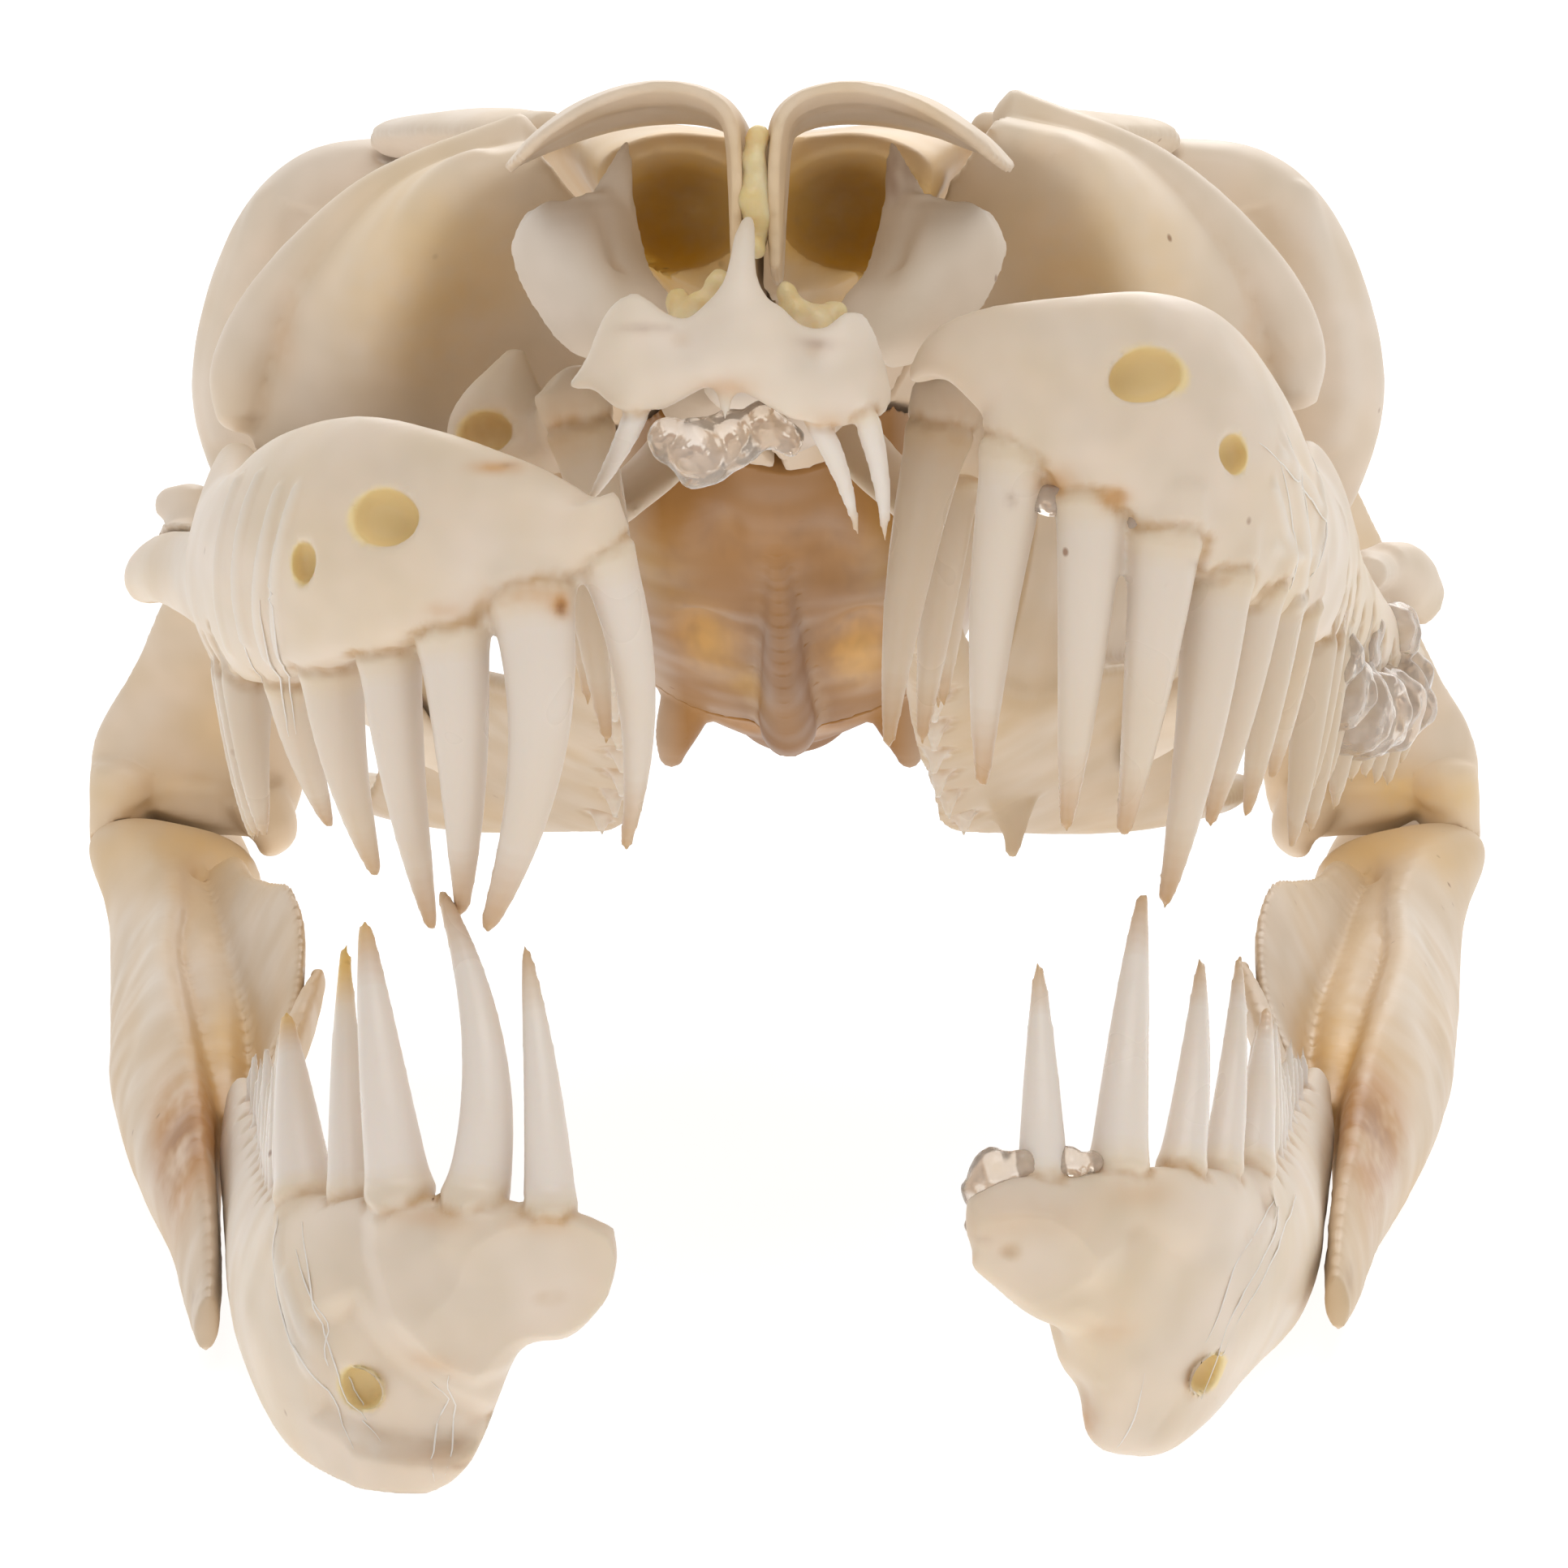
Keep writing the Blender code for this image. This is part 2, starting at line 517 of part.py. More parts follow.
def loose_shells(work):
    left, shells = set(work.verts), []
    while left:
        shell, todo = set(), [left.pop()]
        while todo:
            vert = todo.pop()
            shell.add(vert)
            near = [e.other_vert(vert) for e in vert.link_edges]
            todo += [v for v in near if v in left]
            left.difference_update(near)
        shells.append(shell)
    return shells


def shell_middle(shell):
    points = np.array([v.co for v in shell])
    return Vector((points.max(axis=0) + points.min(axis=0)) / 2)


def make_supratemporal(side, frames):
    slip = [(6.6, 74.0, 15.2, 0.9, 1.4, 35), (8.2, 82.0, 15.2, 1.1, 2.6, 35),
            (11.6, 90.0, 14.8, 1.1, 2.9, 30),
            (17.0, 96.0, 13.6, 1.1, 2.6, 25), (21.4, 99.6, 12.8, 0.9, 1.8, 20)]
    return bone("supratemporal_" + SIDE_NAMES[side], [bar(slip, 9, 8, side)], frames["cranium"])


# Palate and upper jaw

MAXILLA = {  # each bends round its own side of the snout, and the right one hangs the lower
    LEFT: [
        (5.9, 5.2, 2.4, 6.2, 5.2, 1.4, 0.3, 0.4, 0.3), (6.8, 4.4, 3.6, 7.2, 4.0, 1.2, 0.6, 0.8, 0.5),
        (8.6, 3.6, 4.3, 9.0, 2.6, -0.2, 0.9, 1.3, 1.0), (12.0, 3.4, 4.7, 11.2, 1.8, -2.4, 1.4, 2.0, 1.4),
        (14.8, 4.2, 5.0, 14.6, 2.2, -4.0, 1.7, 2.5, 1.6), (17.0, 7.4, 4.8, 17.2, 5.4, -6.0, 1.7, 2.5, 1.7),
        (18.6, 12.6, 4.0, 19.0, 11.0, -6.2, 1.6, 2.4, 1.7),
        (19.8, 18.0, 2.6, 20.2, 17.5, -5.8, 1.5, 2.2, 1.5),
        (21.2, 26.0, 2.4, 21.6, 25.5, -5.2, 1.4, 2.0, 1.4),
        (21.9, 31.5, 3.9, 22.6, 32.0, -4.6, 1.3, 1.8, 1.3),
        (23.2, 39.0, 1.6, 23.6, 39.0, -4.0, 1.2, 1.6, 1.2),
        (25.4, 50.0, 0.4, 25.8, 50.0, -3.7, 1.0, 1.4, 1.0),
        (27.6, 60.0, -0.2, 27.8, 60.0, -2.6, 0.7, 1.0, 0.7),
        (28.4, 63.4, -1.0, 28.4, 63.4, -2.0, 0.3, 0.35, 0.3),
    ],
    RIGHT: [
        (4.9, 1.6, -3.9, 5.3, 1.3, -5.6, 0.5, 0.8, 0.6), (7.0, 1.5, -2.5, 7.2, 1.2, -6.2, 1.0, 1.4, 1.0),
        (8.7, 2.2, -1.6, 9.2, 1.5, -6.9, 1.3, 1.9, 1.2), (11.8, 3.6, -0.3, 12.0, 2.6, -8.2, 1.6, 2.4, 1.5),
        (14.7, 6.0, 0.6, 14.6, 4.6, -8.6, 1.7, 2.6, 1.6), (17.6, 10.6, 0.8, 17.0, 8.8, -8.7, 1.7, 2.5, 1.6),
        (19.6, 16.0, 0.5, 18.9, 14.4, -8.4, 1.6, 2.2, 1.5),
        (20.9, 22.0, 1.0, 20.6, 21.0, -7.2, 1.4, 2.0, 1.3),
        (21.5, 30.0, 3.6, 21.4, 29.5, -6.2, 1.3, 1.7, 1.2),
        (22.4, 38.0, 2.6, 22.0, 38.0, -4.6, 1.0, 1.4, 1.0),
        (24.2, 47.0, 2.7, 23.9, 47.0, -1.8, 0.9, 1.2, 0.9),
        (26.4, 54.0, 3.6, 26.4, 54.0, 0.4, 0.8, 1.1, 0.9),
        (28.0, 59.6, 3.7, 28.0, 59.6, 1.3, 0.7, 0.9, 0.7),
        (28.6, 61.6, 2.9, 28.6, 61.6, 2.0, 0.3, 0.35, 0.3),
    ],
}
MAXILLA_FANGS = {  # the front teeth: root, tip, sideways bow and radius
    LEFT: [
        ((9.9, 2.6, -1.0), (8.6, 7.6, -13.4), -0.3, 1.35), ((12.6, 2.4, -2.6),
        (11.7, 7.9, -15.0), 0.1, 1.35),
        ((15.4, 3.0, -4.0), (13.9, 8.8, -15.1), 0.1, 1.4), ((17.4, 5.8, -4.9),
        (15.5, 12.0, -17.4), 0.3, 1.4),
        ((19.0, 9.4, -4.9), (17.4, 16.0, -13.8), 0.2, 1.2), ((20.1, 14.0, -4.6),
        (19.0, 20.5, -12.9), 0.1, 1.1),
        ((21.0, 18.6, -4.4), (20.2, 25.0, -10.9), 0.1, 1.0),
    ],
    RIGHT: [
        ((5.5, 1.7, -4.9), (4.9, 7.8, -15.6), -0.6, 1.2), ((8.3, 1.9, -6.4), (10.1, 6.6, -19.0), -1.2, 1.6),
        ((11.2, 2.9, -7.7), (11.0, 8.0, -18.2), -0.3, 1.4), ((13.6, 4.8, -8.2),
        (12.2, 11.0, -18.5), 0.2, 1.25),
        ((16.0, 8.4, -8.3), (14.6, 15.0, -15.9), 0.3, 1.3), ((17.9, 12.6, -8.2),
        (16.8, 20.0, -13.4), 0.2, 1.1),
    ],
}
TEETH = {"maxilla": 17, "dentary": 16}


def edge_teeth(stations, edge, count, span, lengths, radii, lean, sink=1.4):
    """Teeth set evenly along a run of stations, with lengths and radii that pass from front to back.
    edge picks the upper or the lower edge's columns."""
    path = spline(stations, 300)[:, edge : edge + 3]
    row = []
    for share in np.linspace(0, 1, count):
        at = span[0] + (span[1] - span[0]) * share
        root = path[int(at / (len(stations) - 1) * 299)]
        length = lengths[0] + (lengths[1] - lengths[0]) * share
        radius = radii[0] + (radii[1] - radii[0]) * share
        lean_by = np.array(lean) / np.linalg.norm(lean)
        root = root - lean_by * 0.3
        row.append((root, root + lean_by * length, 0.0, radius, sink))
    return row


def add_teeth(pieces, row, side, forward=0.09):
    """Adds teeth that all bow forwards by a share of their length."""
    for root, tip, sideways, radius, *sink in row:
        length = np.linalg.norm(np.array(tip) - np.array(root))
        small = length < 8
        pieces.append(fang(root, tip, (sideways, -forward * length, 0), radius, side,
                           rings=3 if small else 4, sink=sink[0] if sink else 1.6))


def make_maxilla(side, frames):
    stations, front = MAXILLA[side], MAXILLA_FANGS[side]
    pieces = [blade(stations, 23, 10, side)]
    add_teeth(pieces, front, side)
    count = TEETH["maxilla"] - len(front)
    span, lengths = ((8.4, 12.0), (7.2, 2.8)) if side == LEFT else ((6.6, 9.4), (6.6, 2.0))
    add_teeth(pieces, edge_teeth(stations, 3, count, span, lengths, (0.95, 0.55), (-0.1, 0.55, -1)), side)
    if side == LEFT:
        holes = [bar([(14.4, -1.6, 1.5, 1.5, 1.1), (14.7, 4.6, 1.3, 1.3, 1.0)], 2, 8, side),
                 bar([(17.7, 2.0, -1.0, 0.55, 0.75), (17.2, 9.2, -1.0, 0.45, 0.6)], 2, 6, side)]
    else:
        holes = [bar([(13.3, -1.6, -3.7, 1.4, 1.15), (13.7, 4.8, -3.7, 1.2, 1.0)], 2, 8, side),
                 bar([(17.2, 4.0, -4.9, 0.5, 0.8), (16.6, 11.4, -4.9, 0.4, 0.6)], 2, 6, side)]
    return bone("maxilla_" + SIDE_NAMES[side], pieces, frames["cranium"], holes)


def make_palatine(side, frames):
    body = [(7.0, 16.4, 3.6, 1.0, 1.0), (7.3, 18.6, 3.0, 1.5, 1.4), (7.7, 26.0, 1.4, 1.7, 1.5),
            (7.4, 34.0, 0.0, 1.4, 1.3), (6.8, 42.0, -0.9, 0.9, 0.9)]
    tower = [(9.6, 21.0, 0.8, 2.4, 1.5), (10.2, 21.6, 3.0, 2.3, 1.4), (9.8, 22.2, 6.0, 0.4, 0.4)]
    outer = [(8.6, 25.6, 1.6, 3.6, 0.8), (13.6, 27.4, 2.4, 3.4, 0.7), (18.0, 29.4, 2.0, 3.0, 0.7),
             (21.4, 31.0, 0.8, 1.6, 0.7)]
    inner = [(7.0, 32.0, 0.8, 2.6, 0.7), (4.6, 34.0, 3.2, 2.4, 0.6), (2.8, 35.6, 6.2, 1.2, 0.5)]
    pieces = [bar(body, 9, 8, side), bar(tower, 5, 8, side, BACK), bar(outer, 5, 6, side),
              bar(inner, 5, 6, side)]
    front = [((7.1, 17.6, 2.4), (5.0, 23.0, -10.0), -0.3, 1.3, 1.4), ((7.6, 22.6, 1.4),
             (6.3, 29.4, -9.0), 0.0, 1.15, 1.4)]
    add_teeth(pieces, front, side)
    rest = [((7.8, 27.2, 0.4), (7.2, 32.6, -7.0), 0.0, 0.95, 1.2), ((7.5, 31.8, -0.4),
            (7.0, 36.6, -6.6), 0.0, 0.85, 1.2),
            ((7.2, 36.4, -1.0), (6.8, 40.6, -6.0), 0.0, 0.75, 1.0)]
    add_teeth(pieces, rest, side)
    hole = bar([(10.9, 17, 2.4, 1.1, 0.9), (10.9, 21.8, 2.4, 0.9, 0.8)], 2, 8, side)
    return bone("palatine_" + SIDE_NAMES[side], pieces, frames["cranium"], [hole])


PTERYGOID = [
    (6.8, 41.6, -1.1, 0.9, 0.8, 0), (7.2, 52.0, -2.4, 1.6, 1.2, 12), (8.8, 62.0, -3.4, 3.0, 1.1, 26),
    (11.6, 72.0, -2.8, 5.6, 1.0, 32), (13.0, 80.0, -3.2, 6.0, 1.0, 30), (16.4, 92.0, -3.8, 3.8, 1.0, 12),
    (20.0, 103.0, -2.0, 2.2, 1.0, 0), (22.0, 109.0, -0.8, 1.2, 0.8, 0),
]
PTERYGOID_TEETH = [  # the line that their roots stand on
    (6.8, 42.6, -1.4), (7.0, 52.0, -3.3), (7.0, 62.0, -4.6), (7.4, 70.0, -5.4), (8.4, 77.0, -6.0),
]


def make_pterygoid(side, frames):
    pieces = [bar(PTERYGOID, 16, 8, side)]
    for share, root in enumerate(spline(PTERYGOID_TEETH, 9)):
        length = 3.4 - 0.2 * share
        tip = root + np.array((-0.04, 0.8, -0.6)) * length
        bow = np.array((0, -0.1, -0.1)) * length
        pieces.append(fang(root, tip, bow, 0.7 - 0.02 * share, side, rings=3, sink=1.0))
    if side == LEFT:
        pieces.append(bar([(10.6, 79.0, -5.0, 1.2, 0.8), (10.7, 80.0, -6.6, 0.5, 0.5),
                           (10.6, 80.4, -7.5, 0.3, 0.3)],
                          4, 6, side, BACK))
    return bone("pterygoid_" + SIDE_NAMES[side], pieces, frames["cranium"])


def make_ectopterygoid(side, frames):
    high = 0 if side == LEFT else 1.2
    strut = [(25.6, 52.0, 1.6 + high, 0.9, 0.8), (25.8, 57.0, 2.4 + high, 1.5, 1.0),
             (24.2, 63.0, 2.2 + high, 1.9, 1.0),
             (20.2, 71.0, -0.2, 1.5, 1.0), (17.0, 78.0, -1.9, 1.6, 0.9), (15.4, 82.0, -3.0, 1.2, 0.8)]
    if side == LEFT:
        prong = [(26.4, 56.5, 2.8, 1.2, 1.0), (27.7, 58.5, 2.3, 1.3, 1.5), (28.8, 60.0, 1.4, 0.8, 1.2)]
    else:
        prong = [(24.8, 57.0, 4.4, 1.4, 1.2), (25.9, 57.5, 5.2, 1.2, 1.2), (27.2, 58.0, 5.6, 0.5, 0.6)]
    pieces = [bar(strut, 10, 8, side), bar(prong, 4, 6, side)]
    return bone("ectopterygoid_" + SIDE_NAMES[side], pieces, frames["cranium"])


# Quadrate and lower jaw

def make_quadrate(side, frames):
    shaft = [(30.2, 112.2, 8.2, 5.0, 2.1, 0), (29.6, 112.2, 10.4, 5.4, 2.2, 0),
             (28.0, 110.6, 14.6, 4.8, 1.6, -8),
             (26.4, 107.4, 18.6, 4.9, 1.4, -20), (24.6, 103.0, 23.2, 5.0, 1.3, -35),
             (23.4, 100.4, 26.0, 4.4, 1.2, -42)]
    return bone("quadrate_" + SIDE_NAMES[side], [bar(shaft, 10, 12, side, BACK)], frames["skull"])


DENTARY_TIP = {
    LEFT: [(8.0, -1.4, 10.3, 8.4, -1.5, 7.8, 0.5, 0.8, 0.5),
           (9.6, -1.1, 11.0, 9.8, -1.1, 6.3, 1.0, 1.4, 0.8),
           (11.3, -0.6, 11.0, 11.8, -0.7, 4.7, 1.3, 1.9, 1.0),
           (12.9, 0.3, 11.0, 12.6, 0.2, 0.9, 1.4, 2.1, 1.1),
           (14.7, 1.6, 10.9, 14.3, 1.3, 0.0, 1.5, 2.2, 1.3),
           (16.5, 4.1, 10.4, 15.5, 3.9, -0.3, 1.5, 2.2, 1.2),
           (18.1, 8.2, 9.7, 16.8, 8.4, -0.3, 1.5, 2.1, 1.1),
           (19.2, 14.6, 8.7, 18.6, 15.6, -0.1, 1.4, 1.9, 1.0)],
    RIGHT: [(6.3, -1.4, 10.4, 6.5, -1.5, 7.8, 0.5, 0.8, 0.5),
            (7.8, -1.1, 10.9, 7.8, -1.1, 6.3, 1.0, 1.4, 0.8),
            (9.8, -0.7, 11.1, 9.8, -0.8, 5.6, 1.2, 1.8, 1.0),
            (12.2, 0.2, 11.1, 11.9, 0.0, 0.9, 1.4, 2.1, 1.1),
            (14.7, 1.6, 10.9, 14.8, 1.3, -0.5, 1.5, 2.3, 1.3),
            (16.5, 4.1, 10.4, 16.6, 3.8, -0.6, 1.5, 2.3, 1.3),
            (18.1, 8.2, 9.7, 18.3, 8.4, -0.5, 1.5, 2.2, 1.2),
            (19.2, 14.6, 8.7, 19.8, 15.6, -0.2, 1.4, 2.0, 1.1)],
}
DENTARY = [
    (20.2, 23.4, 7.5, 21.0, 24.4, 0.2, 1.2, 1.7, 1.0), (21.2, 34.0, 6.6, 22.2, 35.0, 0.8, 1.0, 1.4, 0.9),
    (22.4, 45.0, 6.0, 23.4, 46.0, 2.4, 0.8, 1.1, 0.7), (23.4, 53.0, 5.8, 24.0, 53.0, 4.2, 0.4, 0.5, 0.4),
]
DENTARY_FANGS = {
    LEFT: [
        ((10.8, -0.3, 10.4), (10.7, 4.9, 18.2), 0.0, 1.0), ((13.6, 1.0, 10.6),
        (14.7, 8.3, 20.4), -0.1, 1.15),
        ((16.0, 3.5, 10.2), (17.0, 10.9, 17.4), 0.1, 0.95), ((17.6, 6.4, 9.6),
        (18.6, 13.9, 17.2), 0.1, 0.85),
        ((18.9, 10.0, 9.2), (19.8, 16.6, 14.6), 0.0, 0.95),
    ],
    RIGHT: [
        ((8.7, -0.8, 10.4), (9.8, 5.1, 19.9), -0.2, 1.15), ((11.4, 0.1, 10.7),
        (13.0, 7.3, 21.7), -1.2, 1.4),
        ((14.2, 1.4, 10.7), (15.8, 7.2, 20.5), 0.0, 1.3), ((16.2, 4.1, 10.0),
        (16.8, 12.0, 18.8), 0.0, 0.95),
        ((18.1, 8.0, 9.4), (19.2, 14.5, 15.6), 0.0, 1.25),
    ],
}
MENTAL_HOLE = {LEFT: (17.0, 2.9), RIGHT: (15.6, 4.1)}  # how far out and how high it is bored


def make_dentary(side, frames):
    stations, front = DENTARY_TIP[side] + DENTARY, DENTARY_FANGS[side]
    pieces = [blade(stations, 20, 10, side)]
    add_teeth(pieces, front, side)
    count = TEETH["dentary"] - len(front)
    add_teeth(pieces, edge_teeth(stations, 0, count, (6.9, 10.3), (5.6, 1.8), (0.85, 0.45),
    (0.1, 0.75, 1)), side)
    out, high = MENTAL_HOLE[side]
    hole = bar([(out, -2.5, high, 0.8, 0.8), (out + 0.6, 4.8, high, 0.7, 0.7)], 2, 8, side)
    return bone("dentary_" + SIDE_NAMES[side], pieces, frames["jaw_" + SIDE_NAMES[side]], [hole])


SURANGULAR = [
    (22.7, 20.0, 3.2, 22.9, 20.0, 0.9, 0.3, 0.5, 0.4), (23.4, 29.0, 4.4, 23.8, 29.0, 0.1, 0.5, 0.8, 0.7),
    (24.5, 40.0, 5.2, 24.9, 40.0, -0.3, 0.7, 1.1, 1.0), (25.4, 50.0, 5.8, 26.4, 50.0, -0.4, 0.8, 1.7, 1.4),
    (26.5, 60.0, 6.2, 27.7, 60.0, -0.5, 0.9, 2.1, 1.8), (27.8, 71.0, 6.5, 28.9, 71.0, -0.5, 1.0, 2.3, 2.0),
    (29.0, 82.0, 6.6, 30.0, 82.0, -0.6, 1.0, 2.0, 2.0), (29.5, 94.0, 7.2, 31.2, 94.0, -0.4, 1.0, 2.0, 2.0),
    (30.4, 103.0, 7.8, 31.6, 103.0, 1.6, 1.8, 2.4, 2.0),
    (30.3, 108.6, 8.2, 31.4, 109.0, 2.6, 4.8, 4.0, 2.6),
    (30.2, 112.0, 6.9, 31.6, 112.0, 2.6, 5.0, 4.2, 2.6),
    (30.4, 116.4, 8.3, 31.8, 116.4, 3.0, 3.2, 3.2, 2.2),
    (31.4, 121.0, 6.8, 32.0, 121.0, 4.2, 1.0, 1.4, 1.0),
]
PREARTICULAR = [
    (22.4, 52.0, 6.4, 23.4, 52.0, 1.8, 0.4, 0.6, 0.5), (21.6, 60.0, 8.0, 23.8, 60.0, 0.9, 0.5, 0.8, 0.9),
    (21.7, 67.0, 9.8, 24.8, 67.0, 0.5, 0.5, 0.9, 1.2), (22.6, 74.0, 10.6, 26.0, 74.0, 0.5, 0.5, 0.9, 1.3),
    (23.9, 82.0, 9.6, 27.4, 82.0, 0.5, 0.5, 0.9, 1.4), (25.5, 92.0, 8.2, 28.8, 92.0, 0.8, 0.6, 1.0, 1.5),
    (27.0, 104.0, 7.2, 29.6, 104.0, 2.4, 0.9, 1.4, 1.5),
]


def make_compound(side, frames):
    """The surangular wall and the taller prearticular crest, with the muscle's trough between them."""
    pieces = [blade(SURANGULAR, 19, 10, side), blade(PREARTICULAR, 12, 8, side)]
    return bone("compound_" + SIDE_NAMES[side], pieces, frames["jaw_" + SIDE_NAMES[side]])


def make_small_jaw_bones(side, frames):
    """The three thin bones on the inner face of the lower jaw."""
    tables = {
        "splenial": [(16.4, 14.0, 4.0, 0.7, 1.2), (18.2, 25.0, 3.8, 0.8, 2.2), (20.2, 37.0, 3.4, 0.7, 1.4)],
        "angular": [(20.4, 37.8, 3.0, 0.6, 1.2), (21.6, 48.0, 2.8, 0.9, 1.9), (22.4, 59.0, 2.8, 0.5, 0.9)],
        "coronoid": [(21.9, 48.0, 6.0, 0.5, 0.8, 15), (21.4, 56.0, 6.8, 0.7, 1.5, 15),
                     (21.0, 64.0, 7.8, 0.5, 1.0, 15)],
    }
    frame = frames["jaw_" + SIDE_NAMES[side]]
    return {name: bone(f"{name}_{SIDE_NAMES[side]}", [bar(rows, 7, 6, side)], frame)
            for name, rows in tables.items()}


def flatten(obj):
    """Cuts a bone level with the floor."""
    mesh = bpy.data.meshes.new("floor")
    work = bmesh.new()
    bmesh.ops.create_cube(work, size=FLOOR_BLOCK, matrix=shift((0, 0, -FLOOR_BLOCK / 2 / MM)))
    work.to_mesh(mesh)
    work.free()
    block = bpy.data.objects.new("floor", mesh)
    bpy.context.scene.collection.objects.link(block)
    boolean(obj, [block], "DIFFERENCE")
    keep_largest(obj)


MEETINGS = [  # a bone, and the bones that it is cut back from
    ("nasal_*", "frontal_*"), ("premaxilla", "nasal_l nasal_r"), ("prefrontal_*", "frontal_* nasal_*"),
    ("supraorbital_*", "frontal_* parietal prefrontal_*"),
    ("postorbital_*", "parietal frontal_* supraorbital_*"),
    ("supratemporal_*", "parietal prootic_* supraoccipital exoccipital_*"),
    ("vomer_*", "premaxilla frontal_*"),
    ("septomaxilla_*", "vomer_* nasal_* premaxilla"), ("maxilla_*", "prefrontal_* premaxilla"),
    ("palatine_*", "maxilla_* prefrontal_* frontal_* vomer_*"),
    ("pterygoid_*", "palatine_* parabasisphenoid"),
    ("ectopterygoid_*", "maxilla_* pterygoid_*"), ("compound_*", "dentary_*"),
    ("splenial_*", "dentary_* compound_*"),
    ("angular_*", "compound_* splenial_* dentary_*"), ("coronoid_*", "compound_* dentary_*"),
    ("quadrate_*", "supratemporal_* compound_* pterygoid_*"),
]


def main():
    clear_scene()
    make_materials()
    frames = make_frames()
    made = {obj.name: obj for obj in make_braincase(frames)}
    made["premaxilla"] = make_premaxilla(frames)[0]
    builders = (make_nasal, make_septomaxilla, make_vomer, make_prefrontal, make_supraorbital,
                make_postorbital, make_supratemporal, make_maxilla, make_palatine, make_pterygoid,
                make_ectopterygoid, make_quadrate, make_dentary, make_compound)
    for side in (LEFT, RIGHT):
        for builder in builders:
            obj = builder(side, frames)
            made[obj.name] = obj
        for obj in make_small_jaw_bones(side, frames).values():
            made[obj.name] = obj
    for name, others in MEETINGS:
        for letter in SIDE_NAMES.values() if "*" in name else [""]:
            neighbours = [made[other.replace("*", letter)] for other in others.split()]
            part_from(made[name.replace("*", letter)], *neighbours)
    for obj in made.values():
        if len(obj.data.polygons) > HEAVY:
            thin_out(obj, THINNED)
    for letter in SIDE_NAMES.values():
        flatten(made["dentary_" + letter])
        flatten(made["compound_" + letter])
    return made


main()
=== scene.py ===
"""The looks of a python's skull with its jaws agape, for display on a table or shelf.

Every bone of the frame is remade here with a finer surface, in its own place: the same named stations
give its shape, its neighbours in the frame cut it back to leave the suture, and colour, teeth, threads
and glue are added as they show on the real one. Tables are in millimetres and drawn for the animal's
left side, at +X; the right side mirrors it.
"""

import math

import bmesh
import bpy
import numpy as np
from mathutils import Matrix, Vector
from mathutils.bvhtree import BVHTree
from mathutils.kdtree import KDTree


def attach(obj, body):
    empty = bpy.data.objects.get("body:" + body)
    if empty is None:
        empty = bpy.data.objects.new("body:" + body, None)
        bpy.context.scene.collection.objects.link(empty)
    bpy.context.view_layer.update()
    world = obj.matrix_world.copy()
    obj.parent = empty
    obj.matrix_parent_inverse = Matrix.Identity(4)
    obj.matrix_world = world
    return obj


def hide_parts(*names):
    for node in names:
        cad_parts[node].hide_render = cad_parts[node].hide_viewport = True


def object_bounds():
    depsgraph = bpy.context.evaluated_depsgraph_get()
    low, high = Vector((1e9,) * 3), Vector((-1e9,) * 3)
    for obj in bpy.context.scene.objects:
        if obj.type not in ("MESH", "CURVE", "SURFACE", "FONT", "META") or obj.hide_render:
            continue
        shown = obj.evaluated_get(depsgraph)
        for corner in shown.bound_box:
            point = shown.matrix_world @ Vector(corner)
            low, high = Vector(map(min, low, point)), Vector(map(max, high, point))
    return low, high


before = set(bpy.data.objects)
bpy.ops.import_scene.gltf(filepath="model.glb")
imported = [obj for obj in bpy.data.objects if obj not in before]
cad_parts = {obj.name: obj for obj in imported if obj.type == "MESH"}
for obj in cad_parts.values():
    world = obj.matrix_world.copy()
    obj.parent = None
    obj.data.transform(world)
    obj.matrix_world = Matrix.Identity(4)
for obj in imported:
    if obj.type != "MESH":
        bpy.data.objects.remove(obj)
CAD_BOX = [list(corner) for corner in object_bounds()]

bl_info = {
    "name": "Python skull",
    "version": (1, 0, 0),
    "blender": (4, 5, 0),
    "location": "3D View > Sidebar > Skull",
    "description": "Makes the bones, teeth and stage of a python's skull over its packed frame",
    "category": "Object",
}

MM = 0.001
TAPER, TIP_SHARE = 0.62, 0.05  # how a tooth thins, and the share of its width left at the tip
FOOT_SWELL, FOOT_LENGTH = 0.16, 0.07  # how far a tooth's foot swells, and over what share of its length
SOCKET_DEPTH = 0.16  # how deep the groove round a tooth's foot is, in millimetres
RIDGE_SHARE = 0.7  # the share of a ridge's height and whiteness that is used
LEFT, RIGHT = 1, -1
SIDE_NAMES = {LEFT: "l", RIGHT: "r"}
UP, BACK = (0, 0, 1), (0, 1, 0)

GAPE = 15.6  # degrees that the palate rises towards the snout
SNOUT = (-1.2, 4.1, 40.1)  # the front of the palate over the floor
YAW = 0.9  # degrees that the snout points towards the right
MIDDLE = (0.0, 59.4, 0.0)  # the point of the drawing that is the frame's origin
JAW_PITCH = {LEFT: 0.7, RIGHT: 0.0}  # degrees that the front of each lower jaw stands off the floor
JAW_YAW = {LEFT: 0.8, RIGHT: 0.0}  # degrees that it turns towards the midline
JAW_HEEL = (28.0, 88.0, 0.0)  # where each lower jaw pitches and turns


# Shapes, as points in millimetres and faces

class Form:
    """A closed surface: its points, its faces, and for each point how far along a tooth it lies."""

    def __init__(self, points, faces, tooth=0.0):
        self.points = np.array(points, float)
        self.faces = [tuple(int(i) for i in face) for face in faces]
        self.tooth = np.zeros(len(self.points)) + tooth

    def mirrored(self, side):
        self.points = self.points * (side, 1, 1)
        return self


